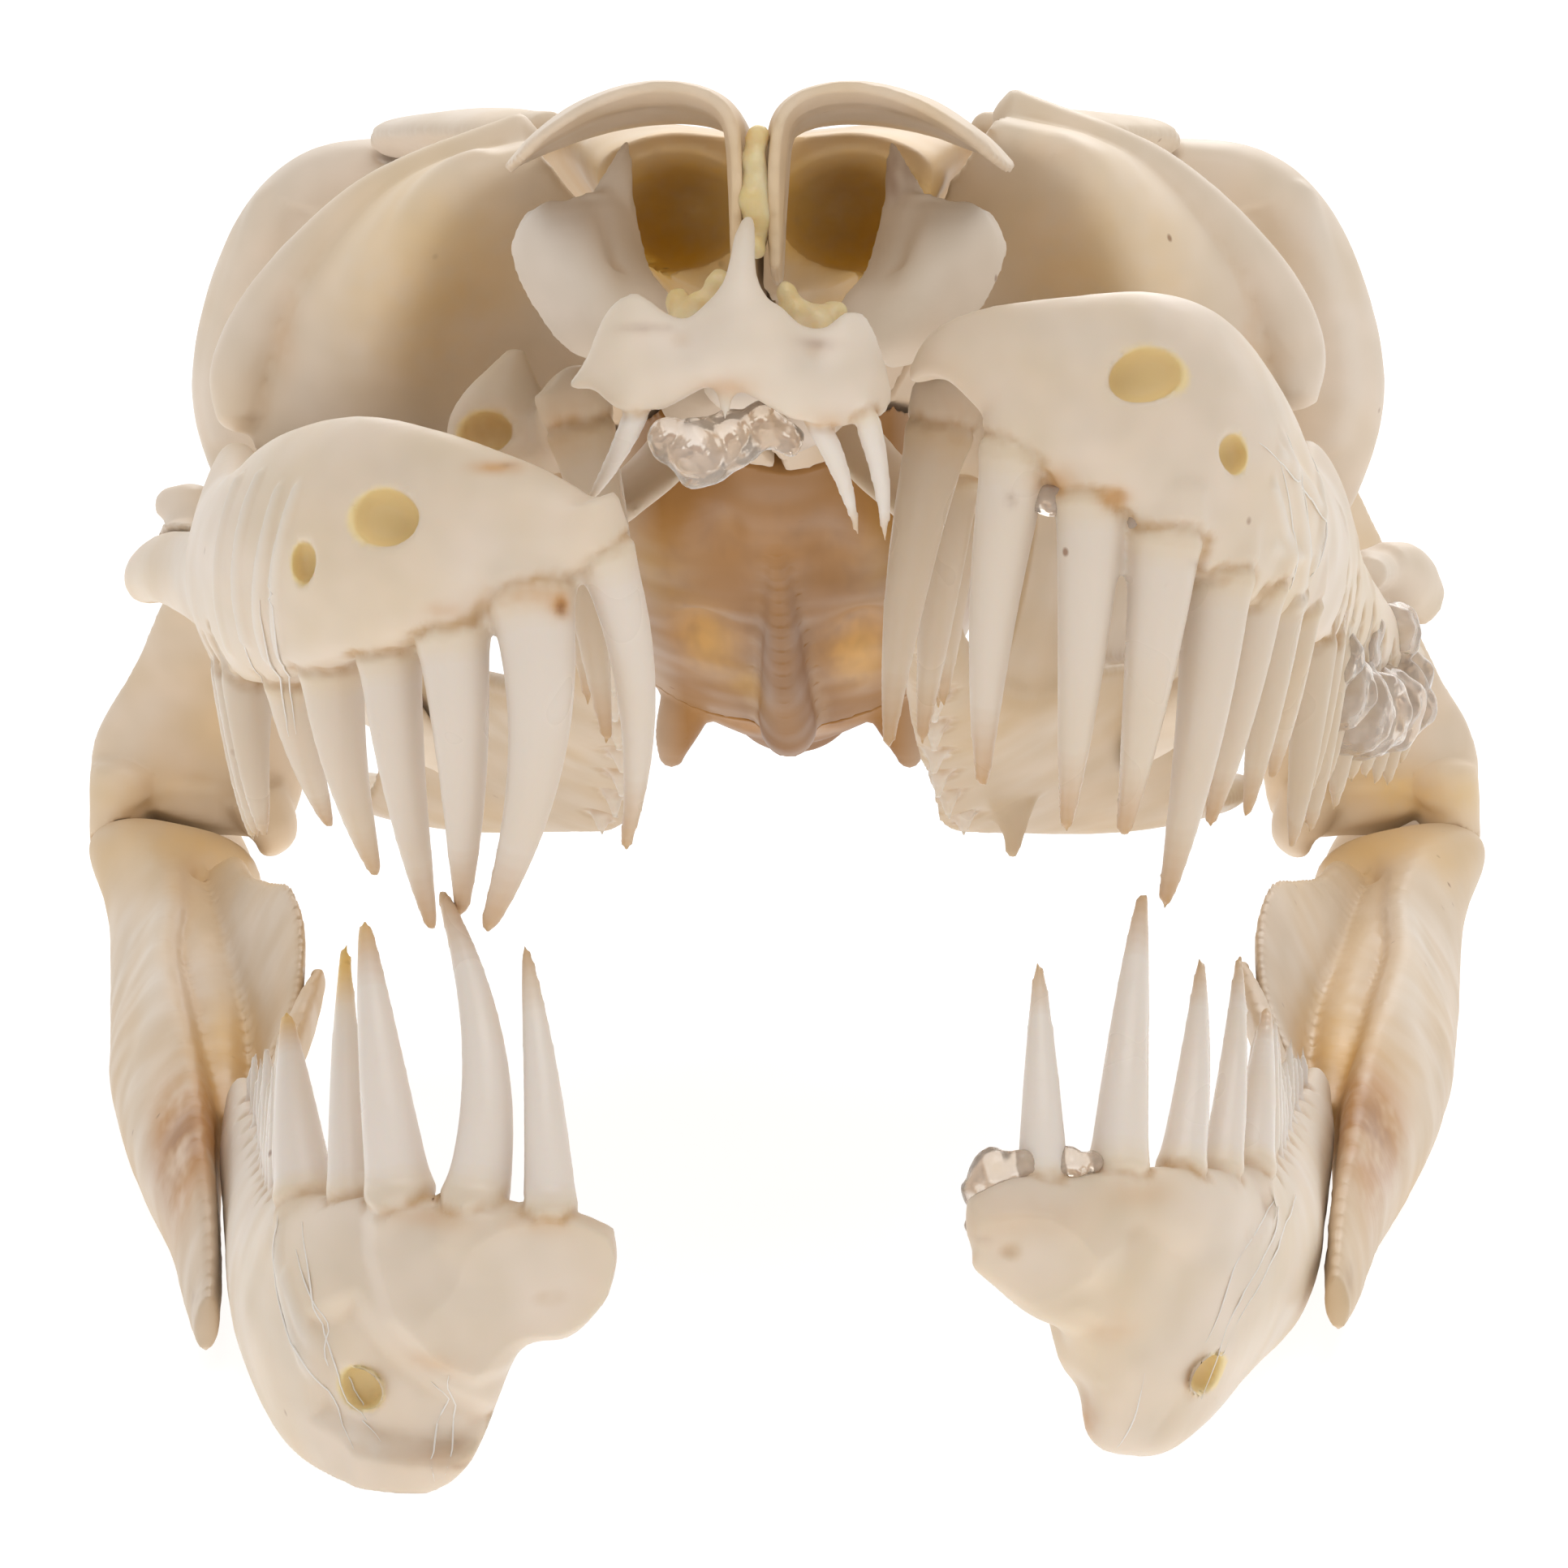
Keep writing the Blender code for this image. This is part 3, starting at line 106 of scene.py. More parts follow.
def spline(rows, count):
    """A smooth curve through rows of numbers, read at count even steps."""
    rows = np.array(rows, float)
    ends = np.concatenate([[2 * rows[0] - rows[1]], rows, [2 * rows[-1] - rows[-2]]])
    t = np.linspace(0, len(rows) - 1, count)
    i = np.minimum(t.astype(int), len(rows) - 2)
    f = (t - i).reshape(-1, *[1] * (rows.ndim - 1))
    a, b, c, d = ends[i], ends[i + 1], ends[i + 2], ends[i + 3]
    cubic = (3 * b - a - 3 * c + d) * f**3
    return 0.5 * (2 * b + (c - a) * f + (2 * a - 5 * b + 4 * c - d) * f**2 + cubic)


def skin(rings, poles, tooth=0.0):
    """Closes a run of rings of points into a surface, with a pole beyond each end."""
    count, sides = len(rings), len(rings[0])
    faces = []
    for i in range(count - 1):
        for k in range(sides):
            n = (k + 1) % sides
            a, b = i * sides, (i + 1) * sides
            faces.append((a + k, a + n, b + n, b + k))
    last = (count - 1) * sides
    for k in range(sides):
        n = (k + 1) % sides
        faces.append((n, k, count * sides))
        faces.append((last + k, last + n, count * sides + 1))
    points = [p for ring in rings for p in ring] + list(poles)
    return Form(points, faces, tooth)


def bar(stations, up=UP, dome=0.5, rings=48, sides=24, side=LEFT):
    """A tapering round-ended bar. A station is x, y, z, half width, half height and a roll in degrees
    that leans its top towards the midline."""
    rows = spline([(*s, 0) if len(s) == 5 else s for s in stations], rings)
    centre = rows[:, :3]
    along = np.gradient(centre, axis=0)
    along /= np.linalg.norm(along, axis=1, keepdims=True)
    out = np.cross(along, up)
    out /= np.linalg.norm(out, axis=1, keepdims=True)
    top = np.cross(out, along)
    angles = 2 * math.pi * (np.arange(sides) + 0.5) / sides
    loops = []
    for c, o, t, (w, h, roll) in zip(centre, out, top, rows[:, 3:]):
        r = math.radians(roll)
        o, t = o * math.cos(r) + t * math.sin(r), t * math.cos(r) - o * math.sin(r)
        loops.append(c + np.outer(np.cos(angles) * max(w, 0.05), o) + np.outer(np.sin(angles) * max(h, 0.05), t))
    reach = dome * rows[:, 3:5].min(axis=1)
    poles = (centre[0] - along[0] * reach[0], centre[-1] + along[-1] * reach[-1])
    return skin(loops, poles).mirrored(side)


def blade(stations, dome=0.4, rings=110, sides=40, side=LEFT):
    """A bar between an upper and a lower edge. A station is the upper edge's x, y, z, the lower
    edge's x, y, z and the half widths at the top, the middle and the bottom."""
    rows = spline(stations, rings)
    top, low, wide = rows[:, :3], rows[:, 3:6], rows[:, 6:]
    middle = (top + low) / 2
    along = np.gradient(middle, axis=0)
    along /= np.linalg.norm(along, axis=1, keepdims=True)
    angles = 2 * math.pi * (np.arange(sides) + 0.5) / sides
    s = 0.5 + 0.5 * np.sin(angles)
    square = np.sign(np.cos(angles)) * np.abs(np.cos(angles)) ** 0.7
    loops = []
    for m, a, u, w in zip(middle, along, top - low, wide):
        out = np.cross(a, u)
        out /= np.linalg.norm(out)
        half = w[0] * s * (2 * s - 1) + w[1] * 4 * s * (1 - s) + w[2] * (1 - s) * (1 - 2 * s)
        loops.append(m + np.outer(s - 0.5, u) + np.outer(half * square, out))
    reach = dome * wide[:, 1]
    poles = (middle[0] - along[0] * reach[0], middle[-1] + along[-1] * reach[-1])
    return skin(loops, poles).mirrored(side)


def plate(grid, thickness, across=40, along=40, side=LEFT, rim=0.55, border=0.18):
    """A curved plate through a grid of points, thinner towards its rim."""
    fine = spline(np.swapaxes(spline(grid, along), 0, 1), across)
    normal = np.cross(np.gradient(fine, axis=0), np.gradient(fine, axis=1))
    normal /= np.linalg.norm(normal, axis=2, keepdims=True)
    rows, columns = fine.shape[:2]
    a, b = np.linspace(0, 1, rows)[:, None], np.linspace(0, 1, columns)[None]
    inward = np.minimum(np.minimum(a, 1 - a), np.minimum(b, 1 - b)) / border
    half = thickness / 2 * (rim + (1 - rim) * np.clip(inward, 0, 1))[:, :, None]
    points = np.concatenate([(fine + normal * half).reshape(-1, 3), (fine - normal * half).reshape(-1, 3)])
    under = rows * columns
    faces = []
    for i in range(rows - 1):
        for j in range(columns - 1):
            p = i * columns + j
            q, r, s = p + 1, p + columns + 1, p + columns
            faces += [(p, q, r, s), (under + p, under + s, under + r, under + q)]
    edge = [j for j in range(columns)]
    edge += [i * columns + columns - 1 for i in range(1, rows)]
    edge += [(rows - 1) * columns + j for j in range(columns - 2, -1, -1)]
    edge += [i * columns for i in range(rows - 2, 0, -1)]
    for p, q in zip(edge, edge[1:] + edge[:1]):
        faces.append((p, under + p, under + q, q))
    return Form(points, faces).mirrored(side)


def fang(root, tip, bow, radius, side=LEFT, sink=1.6, sides=20, rings=26):
    """A curved tooth that thins to a point, with a slightly swollen foot: bow is how far its middle
    stands off the straight line, and sink is how deep its root goes."""
    root, tip, bow = (np.array(v, float) for v in (root, tip, bow))
    start = root - (tip - root + 4 * bow) / np.linalg.norm(tip - root + 4 * bow) * sink
    loops, along_tooth = [], []
    angles = 2 * math.pi * np.arange(sides) / sides
    for t in np.linspace(0, 1, rings, endpoint=False):
        centre = root + (tip - root) * t + bow * 4 * t * (1 - t) if t else start
        along = tip - root + bow * 4 * (1 - 2 * t)
        along /= np.linalg.norm(along)
        out = np.cross(along, BACK)
        out /= np.linalg.norm(out)
        top = np.cross(out, along)
        foot = FOOT_SWELL * math.exp(-((t / FOOT_LENGTH) ** 2))
        wide = radius * ((1 - (1 - TIP_SHARE) * t) ** TAPER + foot)
        loops.append(centre + wide * (np.outer(np.cos(angles), out) + np.outer(np.sin(angles), top)))
        along_tooth += [t] * sides
    return skin(loops, (start, tip), np.array(along_tooth + [0.0, 1.0])).mirrored(side)


def edge_line(stations, edge, span, count=60):
    """A stretch of one edge of a blade: edge picks the upper or the lower edge's columns."""
    path = spline(stations, 600)[:, edge : edge + 3]
    shares = np.linspace(span[0], span[1], count) / (len(stations) - 1)
    return path[(shares * 599).astype(int)]


# Meshes

def new_object(name, mesh):
    obj = bpy.data.objects.new(name, mesh)
    bpy.context.scene.collection.objects.link(obj)
    return obj


def discard(obj):
    mesh = obj.data
    bpy.data.objects.remove(obj)
    if mesh.users == 0:
        bpy.data.meshes.remove(mesh)


def form_object(name, forms):
    """One object that holds every form, with its faces turned outwards."""
    points, faces = [], []
    for form in forms:
        start = len(points)
        points += form.points.tolist()
        faces += [tuple(i + start for i in face) for face in form.faces]
    mesh = bpy.data.meshes.new(name)
    mesh.from_pydata(points, [], faces)
    work = bmesh.new()
    work.from_mesh(mesh)
    bmesh.ops.recalc_face_normals(work, faces=work.faces)
    bmesh.ops.triangulate(work, faces=work.faces)
    work.to_mesh(mesh)
    work.free()
    return new_object(name, mesh)


def bake(obj):
    """Applies an object's modifiers to its mesh."""
    bpy.context.view_layer.update()
    graph = bpy.context.evaluated_depsgraph_get()
    made = bpy.data.meshes.new_from_object(obj.evaluated_get(graph))
    spent = obj.data
    obj.modifiers.clear()
    obj.data = made
    bpy.data.meshes.remove(spent)


def regrain(obj, cell):
    """Joins the overlapping surfaces of a mesh into one with even cells."""
    modifier = obj.modifiers.new("regrain", "REMESH")
    modifier.mode = "VOXEL"
    modifier.voxel_size = cell
    bake(obj)


def cut(obj, cutter):
    """Takes one closed mesh out of another."""
    modifier = obj.modifiers.new("cut", "BOOLEAN")
    modifier.operation = "DIFFERENCE"
    modifier.object = cutter
    modifier.solver = "MANIFOLD"
    before = len(obj.data.polygons)
    spare = obj.data.copy()
    bake(obj)
    if len(obj.data.polygons) < 0.3 * before:
        obj.data = spare
        modifier = obj.modifiers.new("cut", "BOOLEAN")
        modifier.operation = "DIFFERENCE"
        modifier.object = cutter
        modifier.solver = "EXACT"
        bake(obj)
    discard(cutter)


def frame_bone(name, to_drawing, swell):
    """A copy of a frame node in a bone's own drawing, with its surface moved out by the suture."""
    copy = new_object("neighbour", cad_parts[name].data.copy())
    copy.data.transform(to_drawing)
    work = bmesh.new()
    work.from_mesh(copy.data)
    bmesh.ops.remove_doubles(work, verts=work.verts, dist=0.0005)
    work.normal_update()
    moves = [v.normal * swell * min(v.calc_shell_factor(), 1.6) for v in work.verts]
    for vert, move in zip(work.verts, moves):
        vert.co += move
    work.to_mesh(copy.data)
    work.free()
    return copy


def points_of(mesh):
    points = np.empty(len(mesh.vertices) * 3)
    mesh.vertices.foreach_get("co", points)
    return points.reshape(-1, 3)


def set_points(mesh, points):
    mesh.vertices.foreach_set("co", points.ravel())
    mesh.update()


def normals_of(mesh):
    normals = np.empty(len(mesh.vertices) * 3)
    mesh.vertices.foreach_get("normal", normals)
    return normals.reshape(-1, 3)


def edges_of(mesh):
    edges = np.empty(len(mesh.edges) * 2, int)
    mesh.edges.foreach_get("vertices", edges)
    return edges.reshape(-1, 2)


def neighbour_means(values, edges):
    """The mean of each point's neighbours' values, which are single numbers or places."""
    count = len(values)
    shares = np.bincount(edges.ravel(), minlength=count).clip(1)
    one, other = edges.T
    means = []
    for column in values.reshape(count, -1).T:
        total = np.bincount(one, column[other], count) + np.bincount(other, column[one], count)
        means.append(total / shares)
    return np.stack(means, axis=1).reshape(values.shape)


def averaged(values, edges, rounds):
    """Values at the points, each averaged with its neighbours' a number of times."""
    for _ in range(rounds):
        values = 0.5 * values + 0.5 * neighbour_means(values, edges)
    return values


def relaxed(points, edges, rounds):
    """Points smoothed without shrinking, by a push in and a longer push out in turn."""
    for step in range(2 * rounds):
        push = neighbour_means(points, edges) - points
        points = points + (0.6 if step % 2 == 0 else -0.62) * push
    return points


def snapped(points, forms, reach=0.25):
    """Points near a form's own surface laid onto it, which takes out the steps of the cells."""
    corners, faces = [], []
    for form in forms:
        faces += [tuple(i + len(corners) for i in face) for face in form.faces]
        corners += form.points.tolist()
    surface = BVHTree.FromPolygons(corners, faces)
    laid = points.copy()
    for i, point in enumerate(points):
        spot = surface.find_nearest(Vector(point), reach)[0]
        if spot is not None:
            laid[i] = spot
    return laid


def piece_labels(mesh):
    """For each point of a mesh, a number that all points of its own closed surface share."""
    edges = edges_of(mesh)
    label = np.arange(len(mesh.vertices))
    while True:
        low = np.minimum(label[edges[:, 0]], label[edges[:, 1]])
        new = label.copy()
        np.minimum.at(new, edges[:, 0], low)
        np.minimum.at(new, edges[:, 1], low)
        new = new[new]
        if (new == label).all():
            return label
        label = new


def keep_points(mesh, keep):
    """Deletes every point of a mesh but the kept ones."""
    work = bmesh.new()
    work.from_mesh(mesh)
    work.verts.ensure_lookup_table()
    bmesh.ops.delete(work, geom=[work.verts[i] for i in np.flatnonzero(~keep)], context="VERTS")
    work.to_mesh(mesh)
    work.free()


def drop_scraps(obj):
    """Keeps only the largest closed surface of a mesh."""
    label = piece_labels(obj.data)
    names, counts = np.unique(label, return_counts=True)
    if len(names) > 1:
        keep_points(obj.data, label == names[counts.argmax()])


def store(mesh, name, values):
    """Keeps a number for each point, which a material reads by its name."""
    attribute = mesh.attributes.get(name) or mesh.attributes.new(name, "FLOAT", "POINT")
    attribute.data.foreach_set("value", np.asarray(values, np.float32))


def within(points, outline, soft):
    """How far inside a closed outline each point lies, from 0 outside to 1 inside, over a soft edge."""
    outline = np.array(outline, float)
    inside, far = np.zeros(len(points), bool), np.full(len(points), 1e9)
    x, z = points.T
    for (ax, az), (bx, bz) in zip(outline, np.roll(outline, -1, axis=0)):
        run = np.array((bx - ax, bz - az))
        t = np.clip(((x - ax) * run[0] + (z - az) * run[1]) / (run @ run), 0, 1)
        far = np.minimum(far, np.hypot(x - ax - t * run[0], z - az - t * run[1]))
        crossing = (az > z) != (bz > z)
        inside ^= crossing & (x < (bx - ax) * (z - az) / (bz - az + 1e-12) + ax)
    share = np.clip(0.5 + np.where(inside, far, -far) / soft, 0, 1)
    return share * share * (3 - 2 * share)


def line_nearness(points, line, radius):
    """How near each point lies to a line, fading out towards the line's ends."""
    fine = spline(line, 24 * len(line))
    tree = KDTree(len(fine))
    for index, point in enumerate(fine):
        tree.insert(point, index)
    tree.balance()
    low, high = fine.min(axis=0) - 3 * radius, fine.max(axis=0) + 3 * radius
    near = np.zeros(len(points))
    for i in np.flatnonzero(((points > low) & (points < high)).all(axis=1)):
        _, index, distance = tree.find(points[i])
        near[i] = math.exp(-((distance / radius) ** 2)) * min(1, 5 * math.sin(math.pi * index / len(fine)))
    return near


def bump_at(points, centre, radius):
    """How much of a round soft-edged brush each point takes."""
    reach = np.linalg.norm((points - np.array(centre)) / np.array(radius), axis=1)
    return np.exp(-(reach**2) * 1.6)


# Geometry Nodes

class NodeWriter:
    """Adds nodes to a node tree, with their settings and the values or links of their sockets."""
    tree = None

    def add(self, kind, settings=None, **sockets):
        """A node. A socket is named by its words, or by its place with an underscore before it."""
        node = self.tree.nodes.new(kind)
        for key, value in (settings or {}).items():
            setattr(node, key, value)
        for key, value in sockets.items():
            key = int(key[1:]) if key[0] == "_" else key.replace("_", " ")
            if isinstance(value, bpy.types.NodeSocket):
                self.tree.links.new(value, node.inputs[key])
            else:
                node.inputs[key].default_value = value
        return node.outputs

    def sum(self, operation, *values):
        return self.add("ShaderNodeMath", {"operation": operation}, **{f"_{i}": v for i, v in enumerate(values)})[0]


class Tree(NodeWriter):
    """A node tree with named inputs."""

    def __init__(self, name, inputs):
        self.tree = bpy.data.node_groups.new(name, "GeometryNodeTree")
        face = self.tree.interface
        face.new_socket("Geometry", in_out="INPUT", socket_type="NodeSocketGeometry")
        for label, kind, value in inputs:
            made = face.new_socket(label, in_out="INPUT", socket_type="NodeSocket" + kind)
            if value is not None:
                made.default_value = value
        face.new_socket("Geometry", in_out="OUTPUT", socket_type="NodeSocketGeometry")
        self.inputs = self.tree.nodes.new("NodeGroupInput").outputs
        self.output = self.tree.nodes.new("NodeGroupOutput").inputs[0]

    def end(self, geometry):
        """Ends the tree in real geometry with its material."""
        real = self.add("GeometryNodeRealizeInstances", _0=geometry)[0]
        dressed = self.add("GeometryNodeSetMaterial", _0=real, Material=self.inputs["Material"])[0]
        self.tree.links.new(dressed, self.output)
        return self.tree


def tooth_row_tree():
    """Teeth set evenly along a line, longest first, each bowed and a little unlike the next."""
    tree = Tree("Tooth row", [
        ("Teeth", "Int", 10), ("First Length", "Float", 6.0), ("Last Length", "Float", 2.0),
        ("First Width", "Float", 0.9), ("Last Width", "Float", 0.5), ("Lean", "Vector", (0.0, 0.5, -1.0)),
        ("Bow", "Float", 0.5), ("Unevenness", "Float", 0.2), ("Seed", "Int", 1), ("Material", "Material", None),
    ])
    given = tree.inputs
    line = tree.add("GeometryNodeMeshToCurve", Mesh=given["Geometry"])[0]
    feet = tree.add("GeometryNodeCurveToPoints", {"mode": "COUNT"}, Curve=line, Count=given["Teeth"])["Points"]
    place = tree.add("GeometryNodeInputIndex")[0]
    share = tree.sum("DIVIDE", place, tree.sum("SUBTRACT", given["Teeth"], 1.0))
    long = tree.add("ShaderNodeMix", _0=share, _2=given["First Length"], _3=given["Last Length"])[0]
    wide = tree.add("ShaderNodeMix", _0=share, _2=given["First Width"], _3=given["Last Width"])[0]
    low = tree.sum("SUBTRACT", 1.0, given["Unevenness"])
    high = tree.sum("ADD", 1.0, given["Unevenness"])
    luck = tree.add("FunctionNodeRandomValue", {"data_type": "FLOAT"}, _2=low, _3=high, Seed=given["Seed"])[1]
    size = tree.add("ShaderNodeCombineXYZ", X=wide, Y=wide, Z=tree.sum("MULTIPLY", long, luck))[0]
    bow = tree.add("ShaderNodeCombineXYZ", Y=given["Bow"], Z=0.45)[0]
    arc = tree.add("GeometryNodeCurveQuadraticBezier", Resolution=16, Start=(0, 0, -0.22), Middle=bow,
                   End=(0, 0, 1))[0]
    along = tree.add("GeometryNodeSplineParameter")[0]
    arc = tree.add("GeometryNodeStoreNamedAttribute", {"data_type": "FLOAT", "domain": "POINT"}, Geometry=arc,
                   Name="tooth", Value=along)[0]
    taper = tree.sum("POWER", tree.sum("SUBTRACT", 1.0, tree.sum("MULTIPLY", along, 0.93)), 0.62)
    ring = tree.add("GeometryNodeCurvePrimitiveCircle", Resolution=14, Radius=1.0)[0]
    tooth = tree.add("GeometryNodeCurveToMesh", Curve=arc, Profile_Curve=ring, Scale=taper, Fill_Caps=True)[0]
    turned = tree.add("FunctionNodeAlignRotationToVector", {"axis": "Z"}, Vector=given["Lean"])[0]
    teeth = tree.add("GeometryNodeInstanceOnPoints", Points=feet, Instance=tooth, Rotation=turned, Scale=size)[0]
    return tree.end(teeth)


def relief_tree():
    """A surface's low swellings and fine grain."""
    tree = Tree("Bone relief", [
        ("Swelling", "Float", 0.1), ("Swelling Size", "Float", 4.0), ("Grain", "Float", 0.02),
        ("Grain Size", "Float", 0.7), ("Seed", "Float", 0.0), ("Material", "Material", None),
    ])
    given = tree.inputs
    place = tree.add("GeometryNodeInputPosition")[0]
    normal = tree.add("GeometryNodeInputNormal")[0]
    height = 0.0
    for depth, size in (("Swelling", "Swelling Size"), ("Grain", "Grain Size")):
        scale = tree.sum("DIVIDE", 1.0, given[size])
        noise = tree.add("ShaderNodeTexNoise", {"noise_dimensions": "4D"}, Vector=place, W=given["Seed"],
                         Scale=scale, Detail=2.0)[0]
        height = tree.sum("MULTIPLY_ADD", tree.sum("SUBTRACT", noise, 0.5), given[depth], height)
    calm = tree.add("GeometryNodeInputNamedAttribute", {"data_type": "FLOAT"}, Name="tooth")[0]
    calm = tree.add("ShaderNodeMapRange", Value=calm, From_Min=0.0, From_Max=0.1, To_Min=1.0, To_Max=0.12)[0]
    shift = tree.add("ShaderNodeVectorMath", {"operation": "SCALE"}, Vector=normal,
                     Scale=tree.sum("MULTIPLY", height, calm))[0]
    made = tree.add("GeometryNodeSetPosition", Geometry=given["Geometry"], Offset=shift)[0]
    return tree.end(made)


def thread_tree():
    """Thin threads along lines, thickest in the middle and wandering a little."""
    tree = Tree("Threads", [
        ("Thickness", "Float", 0.1), ("Wander", "Float", 0.2), ("Wander Size", "Float", 3.0),
        ("Step", "Float", 0.35), ("Seed", "Float", 0.0), ("Material", "Material", None),
    ])
    given = tree.inputs
    line = tree.add("GeometryNodeMeshToCurve", Mesh=given["Geometry"])[0]
    line = tree.add("GeometryNodeResampleCurve", {"mode": "LENGTH"}, Curve=line, Length=given["Step"])[0]
    place = tree.add("GeometryNodeInputPosition")[0]
    noise = tree.add("ShaderNodeTexNoise", {"noise_dimensions": "4D"}, Vector=place, W=given["Seed"],
                     Scale=tree.sum("DIVIDE", 1.0, given["Wander Size"]), Detail=2.0)[1]
    shift = tree.add("ShaderNodeVectorMath", {"operation": "SUBTRACT"}, _0=noise, _1=(0.5, 0.5, 0.5))[0]
    shift = tree.add("ShaderNodeVectorMath", {"operation": "SCALE"}, Vector=shift, Scale=given["Wander"])[0]
    line = tree.add("GeometryNodeSetPosition", Geometry=line, Offset=shift)[0]
    along = tree.add("GeometryNodeSplineParameter")[0]
    middle = tree.sum("SINE", tree.sum("MULTIPLY_ADD", along, 3.0, 0.07))
    wide = tree.sum("MULTIPLY", tree.sum("POWER", middle, 0.5), given["Thickness"])
    ring = tree.add("GeometryNodeCurvePrimitiveCircle", Resolution=6, Radius=1.0)[0]
    made = tree.add("GeometryNodeCurveToMesh", Curve=line, Profile_Curve=ring, Scale=wide, Fill_Caps=True)[0]
    return tree.end(made)


TREE_MAKERS = {"Tooth row": tooth_row_tree, "Bone relief": relief_tree, "Threads": thread_tree}


def run_tree(obj, name, **values):
    """Puts an object's mesh through a node tree with the values of its named inputs."""
    tree = bpy.data.node_groups.get(name) or TREE_MAKERS[name]()
    modifier = obj.modifiers.new(name, "NODES")
    modifier.node_group = tree
    for item in tree.interface.items_tree:
        key = item.name.replace(" ", "_")
        if item.in_out == "INPUT" and key in values:
            modifier[item.identifier] = values[key]
    bake(obj)


def line_object(lines):
    """Lines of points as a mesh of edges."""
    points, edges = [], []
    for line in lines:
        start = len(points)
        points += [tuple(float(c) for c in p) for p in line]
        edges += [(start + i, start + i + 1) for i in range(len(line) - 1)]
    mesh = bpy.data.meshes.new("lines")
    mesh.from_pydata(points, edges, [])
    return new_object("lines", mesh)


def tooth_row(path, count, lengths, widths, lean, bow, side, seed):
    """A row of small teeth as one form of closed cones."""
    obj = line_object([path])
    run_tree(obj, "Tooth row", Teeth=count, First_Length=lengths[0], Last_Length=lengths[1],
             First_Width=widths[0], Last_Width=widths[1], Lean=lean, Bow=bow, Seed=seed)
    mesh = obj.data
    tooth = np.empty(len(mesh.vertices))
    mesh.attributes["tooth"].data.foreach_get("value", tooth)
    form = Form(points_of(mesh), [tuple(p.vertices) for p in mesh.polygons], np.where(tooth < 0.12, 0.0, tooth))
    discard(obj)
    return form.mirrored(side)


# Finishes

class Finish(NodeWriter):
    """A material's node tree over its one shader."""

    def __init__(self, name):
        self.material = bpy.data.materials.new(name)
        self.material.use_nodes = True
        self.tree = self.material.node_tree
        self.shader = self.tree.nodes["Principled BSDF"]
        self.place = self.add("ShaderNodeTexCoord")["Object"]

    def noise(self, size, detail=3.0, roughness=0.55, stretch=None):
        """Cloudy noise with features of about a size in metres."""
        where = self.place
        if stretch:
            where = self.add("ShaderNodeMapping", Vector=where, Scale=stretch)[0]
        return self.add("ShaderNodeTexNoise", Vector=where, Scale=1.0 / size, Detail=detail, Roughness=roughness)[0]

    def ramp(self, value, low, high, bottom=0.0, top=1.0):
        return self.add("ShaderNodeMapRange", Value=value, From_Min=low, From_Max=high, To_Min=bottom,
                        To_Max=top)[0]

    def blend(self, share, under, over, way="MIX"):
        """One colour laid over another by a share."""
        colours = [(*c, 1) if isinstance(c, tuple) else c for c in (under, over)]
        settings = {"data_type": "RGBA", "blend_type": way}
        return self.add("ShaderNodeMix", settings, _0=share, _6=colours[0], _7=colours[1])[2]

    def mark(self, name):
        """The numbers that a mesh keeps under a name."""
        return self.add("ShaderNodeAttribute", {"attribute_name": name})["Fac"]

    def wear(self, colour, roughness, height, strength, depth):
        """Links the colour, roughness and relief to the shader."""
        self.tree.links.new(colour, self.shader.inputs["Base Color"])
        self.tree.links.new(roughness, self.shader.inputs["Roughness"])
        bump = self.add("ShaderNodeBump", Height=height, Strength=strength, Distance=depth)[0]
        self.tree.links.new(bump, self.shader.inputs["Normal"])
        return self.material


